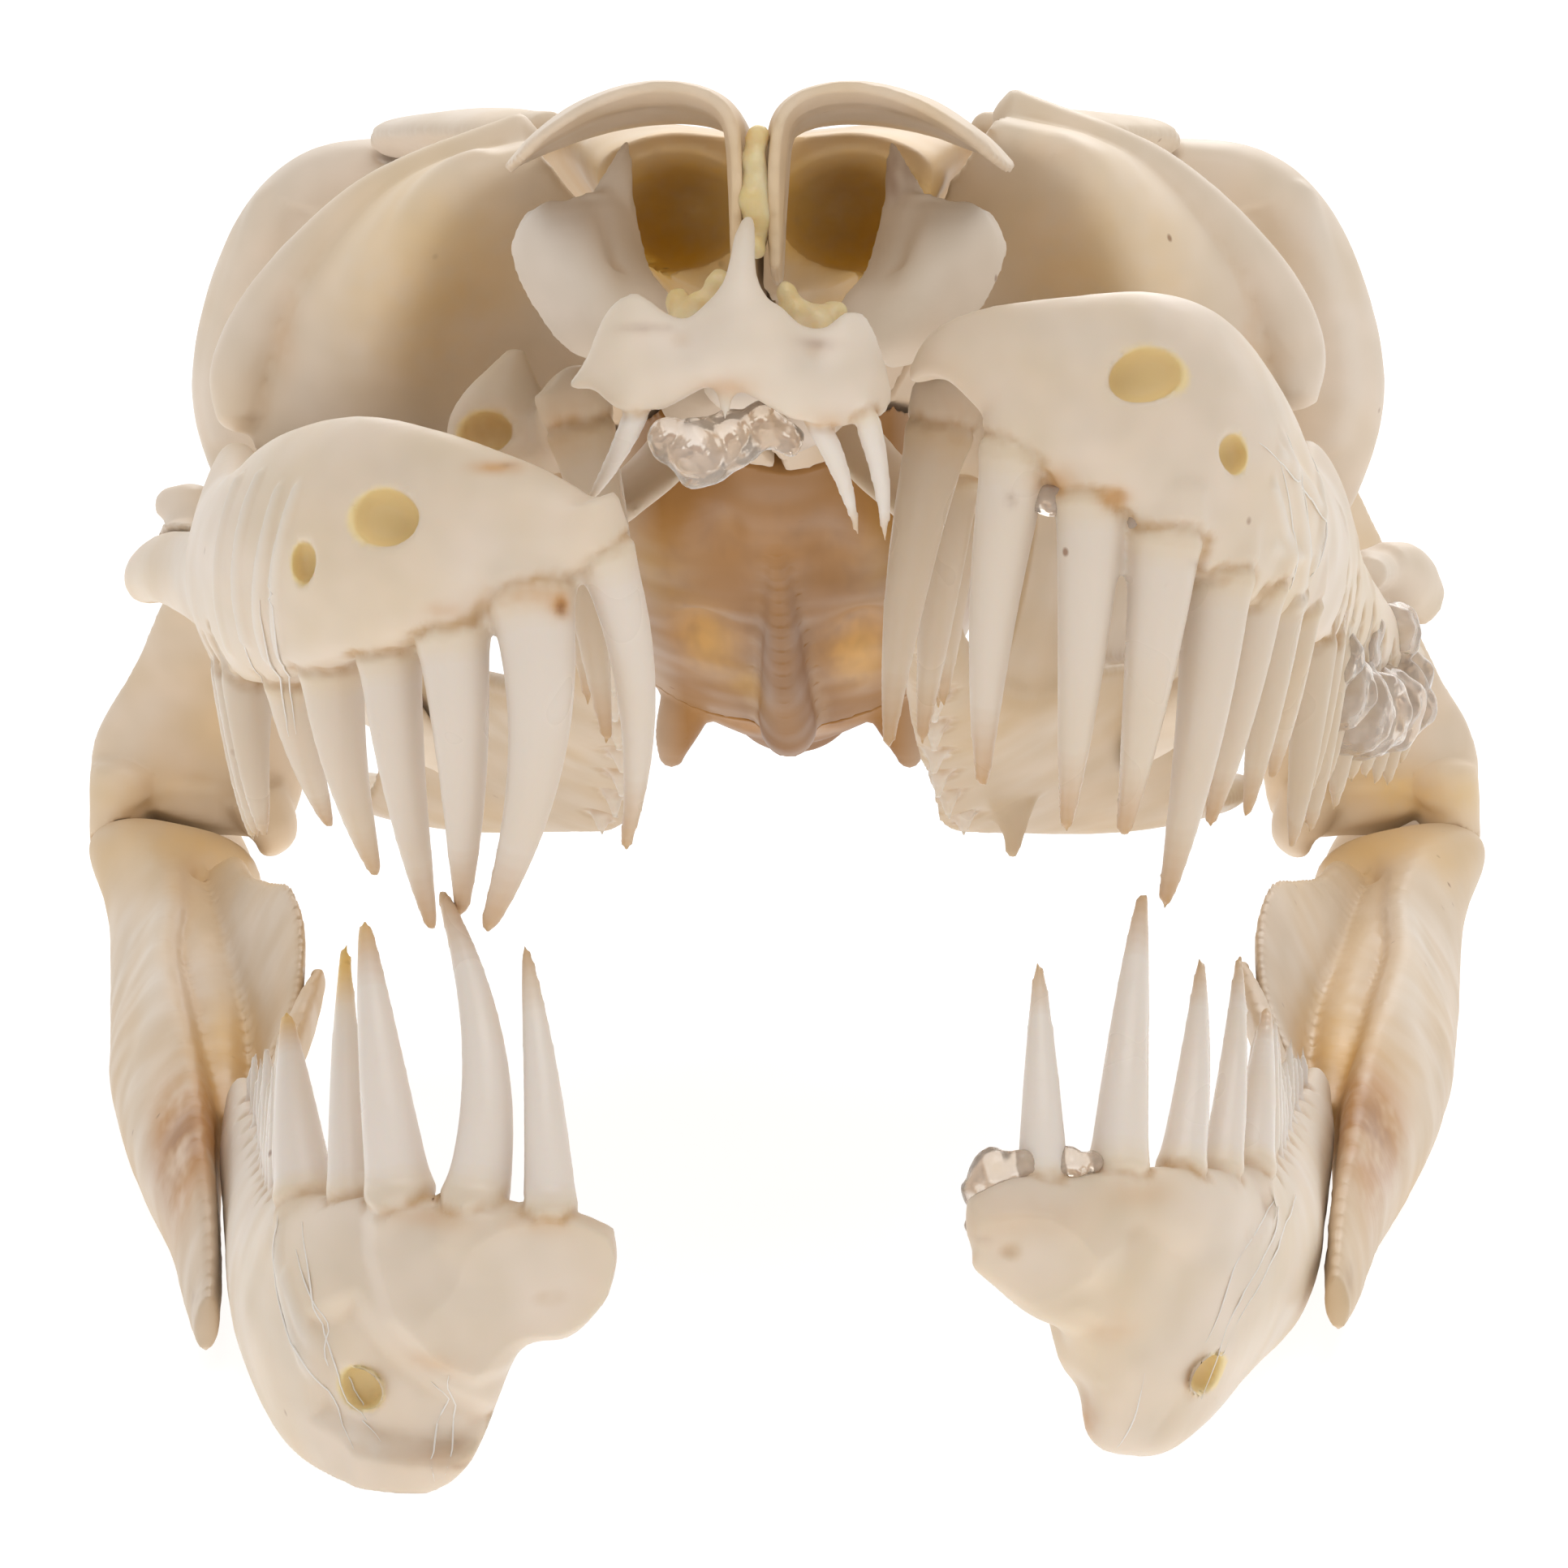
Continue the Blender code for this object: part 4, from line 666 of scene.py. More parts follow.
def bone_finish(name, base, patch, tones, glow, shine, run):
    """Waxy, lightly stained bone: cloudy patches, creases browned by grease and dirt and darkened as painted shade,
    specks, ivory teeth with amber tips, nerve holes whose walls are painted bright as a glow, orange grease with a
    painted glow, and painted shade over bone and teeth that lie in shadow. run is how its clouds stretch along each
    axis."""
    finish = Finish(name)
    cloud = finish.ramp(finish.noise(0.008, 2.0, 0.6, run), 0.42, 0.66)
    colour = finish.blend(cloud, base, patch)
    pale = finish.blend(finish.ramp(cloud, 0.0, 1.0, 0.0, 0.35), tones["pale"], tones["root"])
    colour = finish.blend(finish.mark("pale"), colour, pale)
    streak = finish.ramp(finish.noise(0.0022, 1.0, 0.6, (1.0, 0.12, 1.0)), 0.3, 0.75, 0.95, 1.04)
    colour = finish.blend(1.0, colour, finish.add("ShaderNodeCombineColor", Red=streak, Green=streak,
                                                  Blue=finish.sum("POWER", streak, 1.3))[0], "MULTIPLY")
    breakup = finish.noise(0.0016, 2.0, 0.7, run)

    def marked(mark, low, high, bottom, top, tone, under):
        """A tone laid on where a mark is, broken up by noise."""
        share = finish.sum("MULTIPLY", finish.mark(mark), finish.ramp(breakup, low, high, bottom, top))
        return finish.blend(share, under, tones[tone])

    # creases take a tone of grease and dirt, darkened further as painted shade in the hollows
    colour = marked("crease", 0.3, 0.6, 0.35, 1.0, "crease", colour)
    # nerve holes: a yellow inner wall made bright as a painted glow of light shining through the thin, hollow bone
    colour = finish.blend(finish.mark("hole"), colour, tones["hole"])
    tooth = finish.mark("tooth")
    length = finish.add("ShaderNodeValToRGB", Fac=tooth)
    stops = length[0].node.color_ramp.elements
    stops[0].position, stops[0].color = 0.0, (*tones["root"], 1)
    stops[1].position, stops[1].color = 1.0, (*tones["tip"], 1)
    for at, tone in ((0.14, "ivory"), (0.74, "ivory")):
        stop = stops.new(at)
        stop.color = (*tones[tone], 1)
    stained_tooth = finish.blend(finish.ramp(finish.noise(0.005, 1.0), 0.5, 0.8, 0.0, 0.35), length[0],
                                 tones["root"])
    colour = finish.blend(finish.ramp(tooth, 0.01, 0.07), colour, stained_tooth)
    # the groove round each tooth's foot takes the same tone: dirt with painted shade
    colour = marked("socket", 0.38, 0.62, 0.1, 0.95, "crease", colour)
    colour = marked("stain", 0.25, 0.55, 0.25, 1.0, "stain", colour)
    colour = marked("rust", 0.35, 0.6, 0.1, 1.0, "rust", colour)
    # amber: orange grease, with a painted glow of light shining through thin bone in the nose and the orbit
    colour = marked("amber", 0.2, 0.6, 0.55, 1.0, "amber", colour)
    # painted shade: bone and teeth that lie in shadow are darkened by a multiply colour
    colour = finish.blend(finish.mark("dull"), colour, (0.77, 0.70, 0.58), "MULTIPLY")
    dots = finish.add("ShaderNodeTexVoronoi", Vector=finish.place, Scale=520.0)[0]
    rare = finish.ramp(finish.noise(0.006, 1.0), 0.60, 0.66)
    speck = finish.sum("MULTIPLY", finish.ramp(dots, 0.05, 0.11, 0.75, 0.0), rare)
    colour = finish.blend(speck, colour, tones["rust"])
    colour = finish.blend(finish.mark("thread"), colour, tones["thread"])
    rough = finish.ramp(finish.noise(0.003, 0.0), 0.3, 0.7, 0.36, 0.52)
    rough = finish.sum("MULTIPLY_ADD", finish.ramp(tooth, 0.0, 0.08), -0.1, rough)
    grain = finish.noise(0.0011, 1.0, 0.65, run)
    shader = finish.shader.inputs
    fibre = finish.ramp(finish.mark("thread"), 0.0, 0.5, glow, 0.0)
    finish.tree.links.new(fibre, shader["Subsurface Weight"])
    shader["Subsurface Radius"].default_value = (1.0, 0.62, 0.36)
    shader["Subsurface Scale"].default_value = 0.0016
    shader["Specular IOR Level"].default_value = shine
    return finish.wear(colour, rough, grain, 0.22, 0.00012)


def glue_finish():
    """Set glue, half clear and a little yellow in cloudy patches."""
    finish = Finish("clear_glue")
    shader = finish.shader.inputs
    shader["IOR"].default_value = 1.4
    shader["Transmission Weight"].default_value = 0.7
    colour = finish.blend(finish.ramp(finish.noise(0.002), 0.4, 0.7), (0.97, 0.86, 0.76), (0.95, 0.79, 0.62))
    rough = finish.ramp(finish.noise(0.0015), 0.3, 0.7, 0.04, 0.22)
    return finish.wear(colour, rough, finish.noise(0.0012, 2.0), 0.15, 0.0001)


def tissue_finish():
    """Dried yellow tissue left on the bone."""
    finish = Finish("dried_tissue")
    colour = finish.blend(finish.ramp(finish.noise(0.002), 0.35, 0.65), (0.80, 0.60, 0.28), (0.86, 0.74, 0.5))
    finish.shader.inputs["Subsurface Weight"].default_value = 0.5
    finish.shader.inputs["Subsurface Radius"].default_value = (1.0, 0.6, 0.25)
    finish.shader.inputs["Subsurface Scale"].default_value = 0.001
    rough = finish.ramp(finish.noise(0.001), 0.3, 0.7, 0.3, 0.55)
    return finish.wear(colour, rough, finish.noise(0.0006), 0.4, 0.0002)


# Frames

def shift(vector):
    return Matrix.Translation(Vector(vector) * MM)


def turn(degrees, axis):
    return Matrix.Rotation(math.radians(degrees), 4, axis)


def sided(stem, side):
    """The name of a paired bone or drawing on one side."""
    return f"{stem}_{SIDE_NAMES[side]}"


def drawing_frames():
    """The matrices from each drawing in millimetres to the frame in metres."""
    skull = shift([-c for c in MIDDLE])
    frames = {"skull": skull, "cranium": skull @ shift(SNOUT) @ turn(-YAW, "Z") @ turn(-GAPE, "X")}
    for side in (LEFT, RIGHT):
        heel = np.array(JAW_HEEL) * (side, 1, 1)
        tilt = turn(JAW_YAW[side] * -side, "Z") @ turn(-JAW_PITCH[side], "X")
        frames[sided("jaw", side)] = skull @ shift(heel) @ tilt @ shift(-heel)
    return {name: matrix @ Matrix.Scale(MM, 4) for name, matrix in frames.items()}


DRAWINGS = drawing_frames()

TOOTHED = ("premaxilla", "maxilla", "dentary", "palatine", "pterygoid")
# these bones take deep_bone, a much darker, browner copy of the bone colour painted as shade for bones lying in the
# shadow of the mouth and nose
DEEP_IN_SHADE = ("parabasisphenoid", "basioccipital", "vomer", "septomaxilla")
MEETINGS = [  # a bone, and the bones that it is cut back from
    ("nasal_*", "frontal_*"), ("premaxilla", "nasal_l nasal_r"), ("prefrontal_*", "frontal_* nasal_*"),
    ("supraorbital_*", "frontal_* parietal prefrontal_*"),
    ("postorbital_*", "parietal frontal_* supraorbital_*"),
    ("supratemporal_*", "parietal prootic_* supraoccipital exoccipital_*"),
    ("vomer_*", "premaxilla frontal_*"),
    ("septomaxilla_*", "vomer_* nasal_* premaxilla"), ("maxilla_*", "prefrontal_* premaxilla"),
    ("palatine_*", "maxilla_* prefrontal_* frontal_* vomer_*"),
    ("pterygoid_*", "palatine_* parabasisphenoid"),
    ("ectopterygoid_*", "maxilla_* pterygoid_*"), ("compound_*", "dentary_*"),
    ("splenial_*", "dentary_* compound_*"),
    ("angular_*", "compound_* splenial_* dentary_*"), ("coronoid_*", "compound_* dentary_*"),
    ("quadrate_*", "supratemporal_* compound_* pterygoid_*"),
]


def slot_of(name):
    stem = name.split("_")[0]
    if stem in TOOTHED:
        return "toothed_bone"
    return "deep_bone" if stem in DEEP_IN_SHADE else "roof_bone"


def neighbours_of(name):
    """The bones that a bone is cut back from."""
    letter = name[-1] if name[-2:] in ("_l", "_r") else ""
    stem = name[:-1] + "*" if letter else name
    found = [others for bone, others in MEETINGS if bone == stem]
    return [other.replace("*", letter) for other in found[0].split()] if found else []


def finish_piece(obj, name, drawing, nodes):
    obj.name = "fine_" + name if nodes else name
    obj.data.name = obj.name
    obj.data.transform(DRAWINGS[drawing])
    low, high = CAD_BOX
    set_points(obj.data, np.clip(points_of(obj.data), low, high))
    obj.data.polygons.foreach_set("use_smooth", [True] * len(obj.data.polygons))
    if nodes:
        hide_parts(*nodes)
    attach(obj, "root")


def tooth_shares(forms, points):
    """For each point, how far along a tooth the nearest form point lies."""
    tree = KDTree(sum(len(form.points) for form in forms))
    tooth = []
    for form in forms:
        for point, share in zip(form.points, form.tooth):
            tree.insert(point, len(tooth))
            tooth.append(share)
    tree.balance()
    return np.array([tooth[tree.find(point)[1]] for point in points])


def laid_on(surface, line, proud):
    """A line of points dropped onto a surface, standing a little proud of it."""
    laid = []
    for point in line:
        spot, normal, _, _ = surface.find_nearest(Vector(point))
        laid.append(spot + normal * proud)
    return laid


def add_threads(obj, lines, side, seed, thickness=0.04, proud=0.02, wander=0.3):
    """Adds fine white threads that lie on a bone, and returns how many points they have."""
    surface = BVHTree.FromObject(obj, bpy.context.evaluated_depsgraph_get())
    threads = line_object([laid_on(surface, spline(line, 40) * (side, 1, 1), proud) for line in lines])
    run_tree(threads, "Threads", Thickness=thickness, Wander=wander, Seed=seed)
    work = bmesh.new()
    work.from_mesh(obj.data)
    work.from_mesh(threads.data)
    work.to_mesh(obj.data)
    work.free()
    count = len(threads.data.vertices)
    discard(threads)
    return count


def make_bone(name, forms, drawing, side=LEFT, cell=None, **details):
    """One bone: its forms joined, bored and cut back from its neighbours, then worked and dressed."""
    cell = cell or bpy.context.scene.skull_bone.cell / MM
    obj = form_object(name, forms)
    regrain(obj, cell)
    drop_scraps(obj)
    dress_bone(obj, name, forms, drawing, side, cell=cell, **details)


def set_finish(obj, finish):
    obj.data.materials.clear()
    obj.data.materials.append(bpy.data.materials[finish])


def sunk_bowl(obj, dish, side):
    """Sinks a nerve hole into a bone where its front face is met at x, z, and gives the bowl's place."""
    x, z, wide, high, tilt, depth = dish
    surface = BVHTree.FromObject(obj, bpy.context.evaluated_depsgraph_get())
    y = surface.ray_cast(Vector((x * side, -40, z)), Vector((0, 1, 0)))[0].y
    profile = ((-2.5, 1.0), (0.3, 0.98), (0.7, 0.85), (0.95, 0.55), (1.0, 0.25))
    stations = [(x, y + depth * max(t, -1), z, wide * w, high * w, tilt) for t, w in profile]
    cut(obj, form_object("bowl", [bar(stations, dome=0.1, rings=30, sides=32, side=side)]))
    return x, y, z, wide, high, depth


def dress_bone(obj, name, forms, drawing, side=LEFT, *, cell, rounds=3, snap=False, tight=1.0, dishes=(),
               dents=(), swells=(), ridges=(), swelling=0.12, grain=1.0, stains=(), rusts=(), ambers=(),
               pale=0.0, flank=0.0, dull=(0.0, 0.0), threads=()):
    """Bores, cuts back, smooths, works and dresses one closed mesh as a bone. Dishes are sunk nerve holes; dents,
    swells and ridges work the surface; stains, rusts and ambers colour it at a place, ambers being grease with a
    painted glow of light through thin bone; flank is how pale it turns away from the midline, and the shade pair
    how dark its bone and its teeth are painted, as painted shade where they lie in shadow."""
    sizes = bpy.context.scene.skull_bone
    bowls = [sunk_bowl(obj, dish, side) for dish in dishes]
    to_drawing = DRAWINGS[drawing].inverted()
    others = neighbours_of(name)
    for other in others:
        cut(obj, frame_bone(other, to_drawing, sizes.suture / MM * tight))
    if others or dishes:
        drop_scraps(obj)
        regrain(obj, cell)
        drop_scraps(obj)
    mesh = obj.data
    edges = edges_of(mesh)
    points = relaxed(points_of(mesh), edges, rounds)
    if snap:
        points = relaxed(snapped(points, forms), edges, 2)
    for centre, radius, push in dents:
        amount = bump_at(points, np.array(centre) * (side, 1, 1), radius)
        points = points + amount[:, None] * np.array(push) * (side, 1, 1)
    set_points(mesh, points)
    facing = np.clip(-normals_of(mesh)[:, 1] * 3, 0, 1)
    for outline, reach, push, soft in swells:
        amount = within(points[:, [0, 2]] * (side, 1), outline, soft) * facing * (points[:, 1] < reach)
        points = points + amount[:, None] * np.array(push) * (side, 1, 1)
    white = np.zeros(len(points))
    for line, radius, height, share in ridges:
        amount = line_nearness(points, np.array(line) * (side, 1, 1), radius)
        points = points + (RIDGE_SHARE * amount * height)[:, None] * normals_of(mesh)
        white = np.maximum(white, RIDGE_SHARE * amount * share)
    set_points(mesh, points)
    tooth = hole_marks = socket = np.zeros(len(points))
    if any(form.tooth.any() for form in forms):
        tooth = tooth_shares(forms, points)
        rim = averaged((tooth > 0.01).astype(float), edges, 4)
        socket = 4 * rim * (1 - rim)
        tooth = averaged(tooth, edges, 2)
        set_points(mesh, points - (SOCKET_DEPTH * socket)[:, None] * normals_of(mesh))
    # the hole mark brightens the inner walls of the sunk holes with a painted glow of light through the thin bone
    for x, y, z, wide, high, depth in bowls:
        off = np.hypot((points[:, 0] * side - x) / wide, (points[:, 2] - z) / high)
        deep = np.clip((points[:, 1] - y - 0.1) / (0.3 * depth), 0, 1) * (points[:, 1] < y + depth + 1)
        hole_marks = np.maximum(hole_marks, np.clip((1.15 - off) / 0.2, 0, 1) * deep)
    store(mesh, "tooth", tooth)
    seed = sum(ord(letter) for letter in name) % 97
    run_tree(obj, "Bone relief", Swelling=swelling, Swelling_Size=4.5, Grain=sizes.grain / MM * grain,
             Grain_Size=0.9, Seed=float(seed))
    mesh = obj.data
    points, normals = points_of(mesh), normals_of(mesh)
    edges = edges_of(mesh)
    # The crease mark is the surface's smoothed concavity: it browns the hollows with grease and dirt and darkens
    # them with painted shade where they are occluded.
    sag = ((neighbour_means(points, edges) - points) * normals).sum(axis=1)
    hollow = averaged(sag, edges, 12) / cell**2
    crease = np.clip(hollow * 2.2 - 0.12, 0, 0.7)
    marks = {"tooth": tooth, "socket": socket, "hole": np.clip(hole_marks * 1.3, 0, 1), "crease": crease,
             "stain": np.zeros(len(points)), "rust": np.zeros(len(points)), "thread": white}
    marks["amber"] = np.zeros(len(points))
    marks["pale"] = pale + flank * np.clip((np.abs(points[:, 0]) - 5) / 3, 0, 1)
    # painted shade: the first number darkens the bone, the second the teeth, the more so the further back they
    # stand in the mouth's shadow
    shade = np.clip(tooth * 20, 0, 1) * np.clip(0.3 + points[:, 1] / 25, 0.3, 1)
    marks["dull"] = dull[0] + (dull[1] - dull[0]) * shade
    # stains and rusts are marks on the bone; ambers are grease orange with a painted glow of light through thin
    # bone
    for kind, spots in (("stain", stains), ("rust", rusts), ("amber", ambers)):
        for centre, radius, amount in spots:
            marks[kind] += amount * bump_at(points, np.array(centre) * (side, 1, 1), radius)
        marks[kind] = marks[kind].clip(0, 1)
    if threads:
        extra = add_threads(obj, threads, side, seed)
        for kind, values in marks.items():
            marks[kind] = np.concatenate([values, np.full(extra, 1.0 if kind == "thread" else 0.0)])
    for kind, values in marks.items():
        store(obj.data, kind, values)
    set_finish(obj, slot_of(name))
    finish_piece(obj, name, drawing, [name])


# Snout

PREMAXILLA = [  # across the snout from the right tip to the left
    (-6.8, 3.4, 1.5, -6.7, 3.4, 1.2, 0.2, 0.3, 0.2), (-6.1, 2.9, 2.5, -5.9, 2.9, 1.1, 0.3, 0.5, 0.4),
    (-5.5, 2.4, 3.9, -5.0, 2.4, 0.3, 0.4, 0.8, 0.6), (-4.9, 2.1, 4.5, -4.3, 2.2, 0.0, 0.4, 1.0, 0.8),
    (-4.2, 2.0, 4.6, -3.5, 2.1, 0.2, 0.4, 1.0, 0.8), (-3.3, 1.7, 3.9, -2.6, 1.8, 0.6, 0.5, 1.0, 0.7),
    (-2.5, 1.5, 3.6, -1.7, 1.5, 1.0, 0.6, 1.0, 0.7), (-1.4, 1.4, 4.1, -0.9, 1.4, 0.9, 0.7, 1.2, 0.7),
    (-0.4, 1.3, 4.4, -0.2, 1.3, 0.7, 0.7, 1.3, 0.8), (0.9, 1.3, 4.1, 0.7, 1.4, 0.2, 0.7, 1.2, 0.8),
    (1.7, 1.5, 3.4, 1.5, 1.5, -0.2, 0.6, 1.1, 0.8), (2.6, 1.8, 3.3, 2.4, 1.8, -0.5, 0.5, 1.0, 0.8),
    (3.5, 2.2, 4.0, 3.2, 2.1, -0.4, 0.4, 0.9, 0.7), (4.2, 2.5, 3.8, 4.0, 2.5, -0.2, 0.4, 0.8, 0.6),
    (4.7, 2.8, 2.6, 4.7, 2.9, 0.1, 0.3, 0.5, 0.4), (4.9, 3.1, 1.2, 4.9, 3.1, 0.5, 0.2, 0.3, 0.2),
]


def make_premaxilla():
    """The one bone of the snout that is drawn as it stands, from the right side to the left."""
    rise = [(-0.5, 1.3, 3.4, 1.9, 0.9), (-0.45, 1.7, 4.7, 0.8, 0.7), (-0.4, 2.4, 5.9, 0.5, 0.5),
            (-0.35, 3.3, 6.9, 0.42, 0.42), (-0.25, 4.9, 7.9, 0.25, 0.3)]
    spine = [(-1.0, 1.6, 1.2, 0.5, 0.4), (-1.0, 1.5, 0.5, 0.3, 0.25), (-1.0, 1.5, -0.2, 0.1, 0.12)]
    floor = [(-0.5, 1.8, 1.6, 1.2, 0.7), (-0.5, 5.4, 1.6, 1.4, 0.6), (-0.4, 8.8, 1.7, 1.2, 0.5)]
    forms = [blade(PREMAXILLA, rings=90), bar(rise, BACK), bar(floor), bar(spine, BACK)]
    teeth = [((-4.2, 2.3, 0.6), (-6.5, 5.0, -3.2)), ((2.1, 1.9, 0.3), (3.9, 4.4, -4.2)),
             ((4.1, 2.3, 0.3), (4.9, 4.8, -4.5))]
    forms += [fang(root, tip, (0.25, -0.4, 0.0), 0.55, sink=1.0) for root, tip in teeth]
    make_bone("premaxilla", forms, "cranium", cell=0.17, swelling=0.08, pale=0.8,
              rusts=[((-3.8, 1.2, 3.2), (1.4, 1.5, 0.25), 0.35), ((2.4, 1.4, 2.6), (0.9, 1.5, 0.3), 0.4)],
              stains=[((-0.9, 1.4, 0.9), (1.5, 1.5, 0.5), 0.45), ((2.6, 1.8, -0.3), (1.2, 1.5, 0.5), 0.35)],
              dents=[((-2.6, 0.6, 2.6), (1.3, 1.5, 1.0), (0, 0.4, 0)),
                     ((2.2, 0.7, 2.2), (1.2, 1.5, 0.9), (0, 0.35, 0))])


def make_nasal(side):
    hood = [
        [(0.75, 5.6, 6.2), (0.7, 5.0, 8.5), (0.75, 4.6, 10.6), (1.1, 4.3, 12.0), (2.2, 4.2, 12.75),
         (4.0, 4.2, 12.9), (6.0, 4.6, 12.4), (7.9, 5.8, 11.5), (9.0, 7.8, 10.9)],
        [(0.75, 9.0, 6.4), (0.72, 9.0, 9.0), (0.75, 9.0, 11.4), (1.1, 9.0, 12.8), (2.4, 9.0, 13.5),
         (4.4, 9.0, 13.6), (6.6, 9.2, 13.0), (8.5, 10.0, 12.0), (9.6, 11.4, 11.2)],
        [(0.75, 15.5, 7.6), (0.72, 16.0, 10.4), (0.75, 16.0, 12.8), (1.1, 16.0, 14.0), (2.4, 16.0, 14.6),
         (4.4, 16.0, 14.7), (6.6, 16.4, 14.3), (8.6, 17.0, 13.4), (9.8, 17.8, 12.6)],
        [(0.75, 20.5, 11.0), (0.72, 21.8, 12.8), (0.75, 23.0, 14.2), (1.1, 23.8, 15.1), (2.2, 24.0, 15.6),
         (3.8, 24.0, 15.7), (5.6, 24.0, 15.5), (7.4, 24.2, 15.1), (8.8, 24.4, 14.7)],
    ]
    forms = [plate(hood, 0.85, 90, 60, side, rim=0.42, border=0.22)]
    make_bone(sided("nasal", side), forms, "cranium", side, cell=0.17, swelling=0.1, pale=0.4,
              ambers=[((0.8, 8, 8), (0.5, 6, 4), 0.25), ((4, 22, 14), (4, 3, 2), 0.4)])


def make_septomaxilla(side):
    cup = [
        [(9.5, 13.5, 8.5), (8.8, 12.5, 9.7), (7.3, 11.5, 9.9), (6.1, 11.5, 10.3), (4.9, 12.5, 10.2)],
        [(9.2, 12.5, 7.3), (8.0, 10.5, 8.1), (6.8, 9.8, 8.3), (5.7, 10.8, 8.5), (4.6, 12.2, 8.6)],
        [(8.4, 11.5, 5.7), (7.2, 9.2, 6.4), (6.1, 8.8, 6.5), (5.2, 9.8, 6.5), (4.2, 11.5, 7.2)],
        [(7.1, 10.5, 4.0), (6.2, 8.6, 4.6), (5.5, 8.4, 5.2), (4.6, 9.2, 5.7), (3.5, 10.5, 6.1)],
        [(5.0, 10.5, 3.4), (4.4, 9.2, 3.6), (3.8, 9.0, 4.0), (3.2, 9.6, 4.4), (2.6, 10.6, 4.8)],
    ]
    spike = [(5.8, 11.9, 9.6, 1.0, 0.4), (5.4, 12.0, 11.0, 0.6, 0.35), (5.1, 12.4, 12.5, 0.12, 0.15)]
    forms = [plate(cup, 0.75, 50, 60, side, border=0.12), bar(spike, BACK, side=side)]
    if side == LEFT:
        twig = [(7.6, 12.4, 6.6, 0.45, 0.45), (9.4, 15.5, 7.6, 0.4, 0.4), (10.8, 17.5, 9.0, 0.5, 0.5)]
        forms.append(bar(twig, side=side))
    make_bone(sided("septomaxilla", side), forms, "cranium", side, cell=0.17, pale=1.0,
              ridges=[([(8.2, 12.2, 9.6), (7.6, 10.6, 8.2), (6.8, 9.3, 6.6), (5.9, 8.7, 5.2)], 0.6, 0.55, 0.3),
                      ([(6.5, 11.5, 9.9), (6.0, 10.4, 8.3), (5.4, 9.5, 6.7)], 0.5, -0.4, 0.0)],
              rusts=[((5.3, 12.0, 11.2), (0.8, 1.6, 1.2), 1.2)] if side == LEFT else ())


def make_vomer(side):
    body = [(1.9, 9.2, 2.8, 1.0, 1.2), (2.3, 12.0, 2.7, 1.6, 1.6), (1.8, 17.0, 2.9, 1.2, 1.6),
            (1.1, 24.0, 3.8, 0.7, 1.5), (0.9, 31.0, 5.4, 0.45, 0.7)]
    make_bone(sided("vomer", side), [bar(body, side=side)], "cranium", side, pale=0.7)


# Brow and orbit

def make_prefrontal(side):
    shell = [
        [(10.0, 31.0, 16.6), (9.0, 24.5, 15.0), (7.6, 28.5, 13.8), (6.2, 31.5, 13.6)],
        [(15.6, 31.0, 14.6), (12.4, 24.4, 13.4), (9.4, 29.5, 11.6), (6.9, 33.5, 11.4)],
        [(19.6, 32.0, 10.6), (14.6, 26.0, 9.6), (11.6, 31.5, 8.8), (7.2, 35.5, 8.8)],
        [(21.4, 32.4, 6.4), (15.8, 29.6, 5.2), (12.2, 31.5, 5.2), (8.4, 34.0, 5.8)],
        [(20.6, 32.0, 3.4), (16.0, 31.0, 2.6), (12.6, 31.8, 2.8), (9.2, 33.6, 3.8)],
    ]
    ridge = [(9.6, 29.6, 16.6, 1.2, 1.0), (15.6, 30.8, 14.4, 1.2, 1.2), (19.6, 32.0, 10.8, 1.4, 1.5),
             (21.4, 32.2, 7.6, 1.4, 1.5), (21.6, 32.0, 5.2, 0.9, 1.1)]
    low = 0.5 * side
    shell = [[(x, y, z + low) for x, y, z in row] for row in shell]
    ridge = [(x, y, z + low, wide, deep) for x, y, z, wide, deep in ridge]
    forms = [plate(shell, 1.1, 70, 70, side), bar(ridge, BACK, side=side)]
    make_bone(sided("prefrontal", side), forms, "cranium", side, rounds=5, pale=0.7,
              stains=[((19.6, 31.0, 8.0), (0.7, 3.0, 2.0), 0.25), ((12.0, 25.0, 14.4), (1.5, 3.0, 0.5), 0.2)],
              # the amber on the prefrontal's inner wall is a painted glow of light shining through the thin bone
              ambers=[((13.0, 27.5, 9.6), (5.4, 7.0, 6.0), 0.42)],
              ridges=[([(11.0, 24.4, 15.0), (13.6, 25.2, 12.6), (14.9, 26.4, 9.6), (16.0, 29.6, 5.6)],
                       0.8, 0.35, 0.3)])


def make_supraorbital(side):
    rim = [(9.0, 31.4, 17.0, 0.8, 0.6, -10), (10.6, 35.6, 17.8, 1.6, 0.7, -10),
           (12.4, 41.0, 18.9, 2.6, 0.8, -8), (14.6, 46.6, 19.7, 2.8, 0.9, -4),
           (16.4, 49.4, 19.9, 1.4, 0.7, 0)]
    make_bone(sided("supraorbital", side), [bar(rim, side=side)], "cranium", side, pale=0.7)


def make_postorbital(side):
    out = 0.45 * side
    arch = [(12.0, 50.4, 18.6, 1.4, 2.0), (17.0 + out, 51.4, 18.9, 1.6, 2.6),
            (20.4 + out, 52.4, 18.1, 2.0, 3.0), (22.5 + out, 54.0, 15.4, 2.3, 3.0),
            (23.8 + out, 56.4, 10.7, 2.4, 2.6), (23.5 + out, 58.2, 6.8, 1.8, 2.0),
            (23.0 + out, 59.0, 4.3, 0.9, 1.0)]
    make_bone(sided("postorbital", side), [bar(arch, BACK, rings=80, sides=32, side=side)], "cranium",
              side, rounds=5, pale=0.7,
              ridges=[([(22.6, 50.7, 18.7), (23.5, 50.7, 15.8), (24.5, 52.4, 12.6), (24.9, 53.9, 10.0),
                        (24.2, 55.5, 7.4)], 0.7, 0.4, 0.3),
                      ([(20.4, 50.0, 17.4), (21.4, 50.6, 14.6), (22.4, 52.6, 11.0)], 1.0, -0.5, 0.0)])


# Braincase

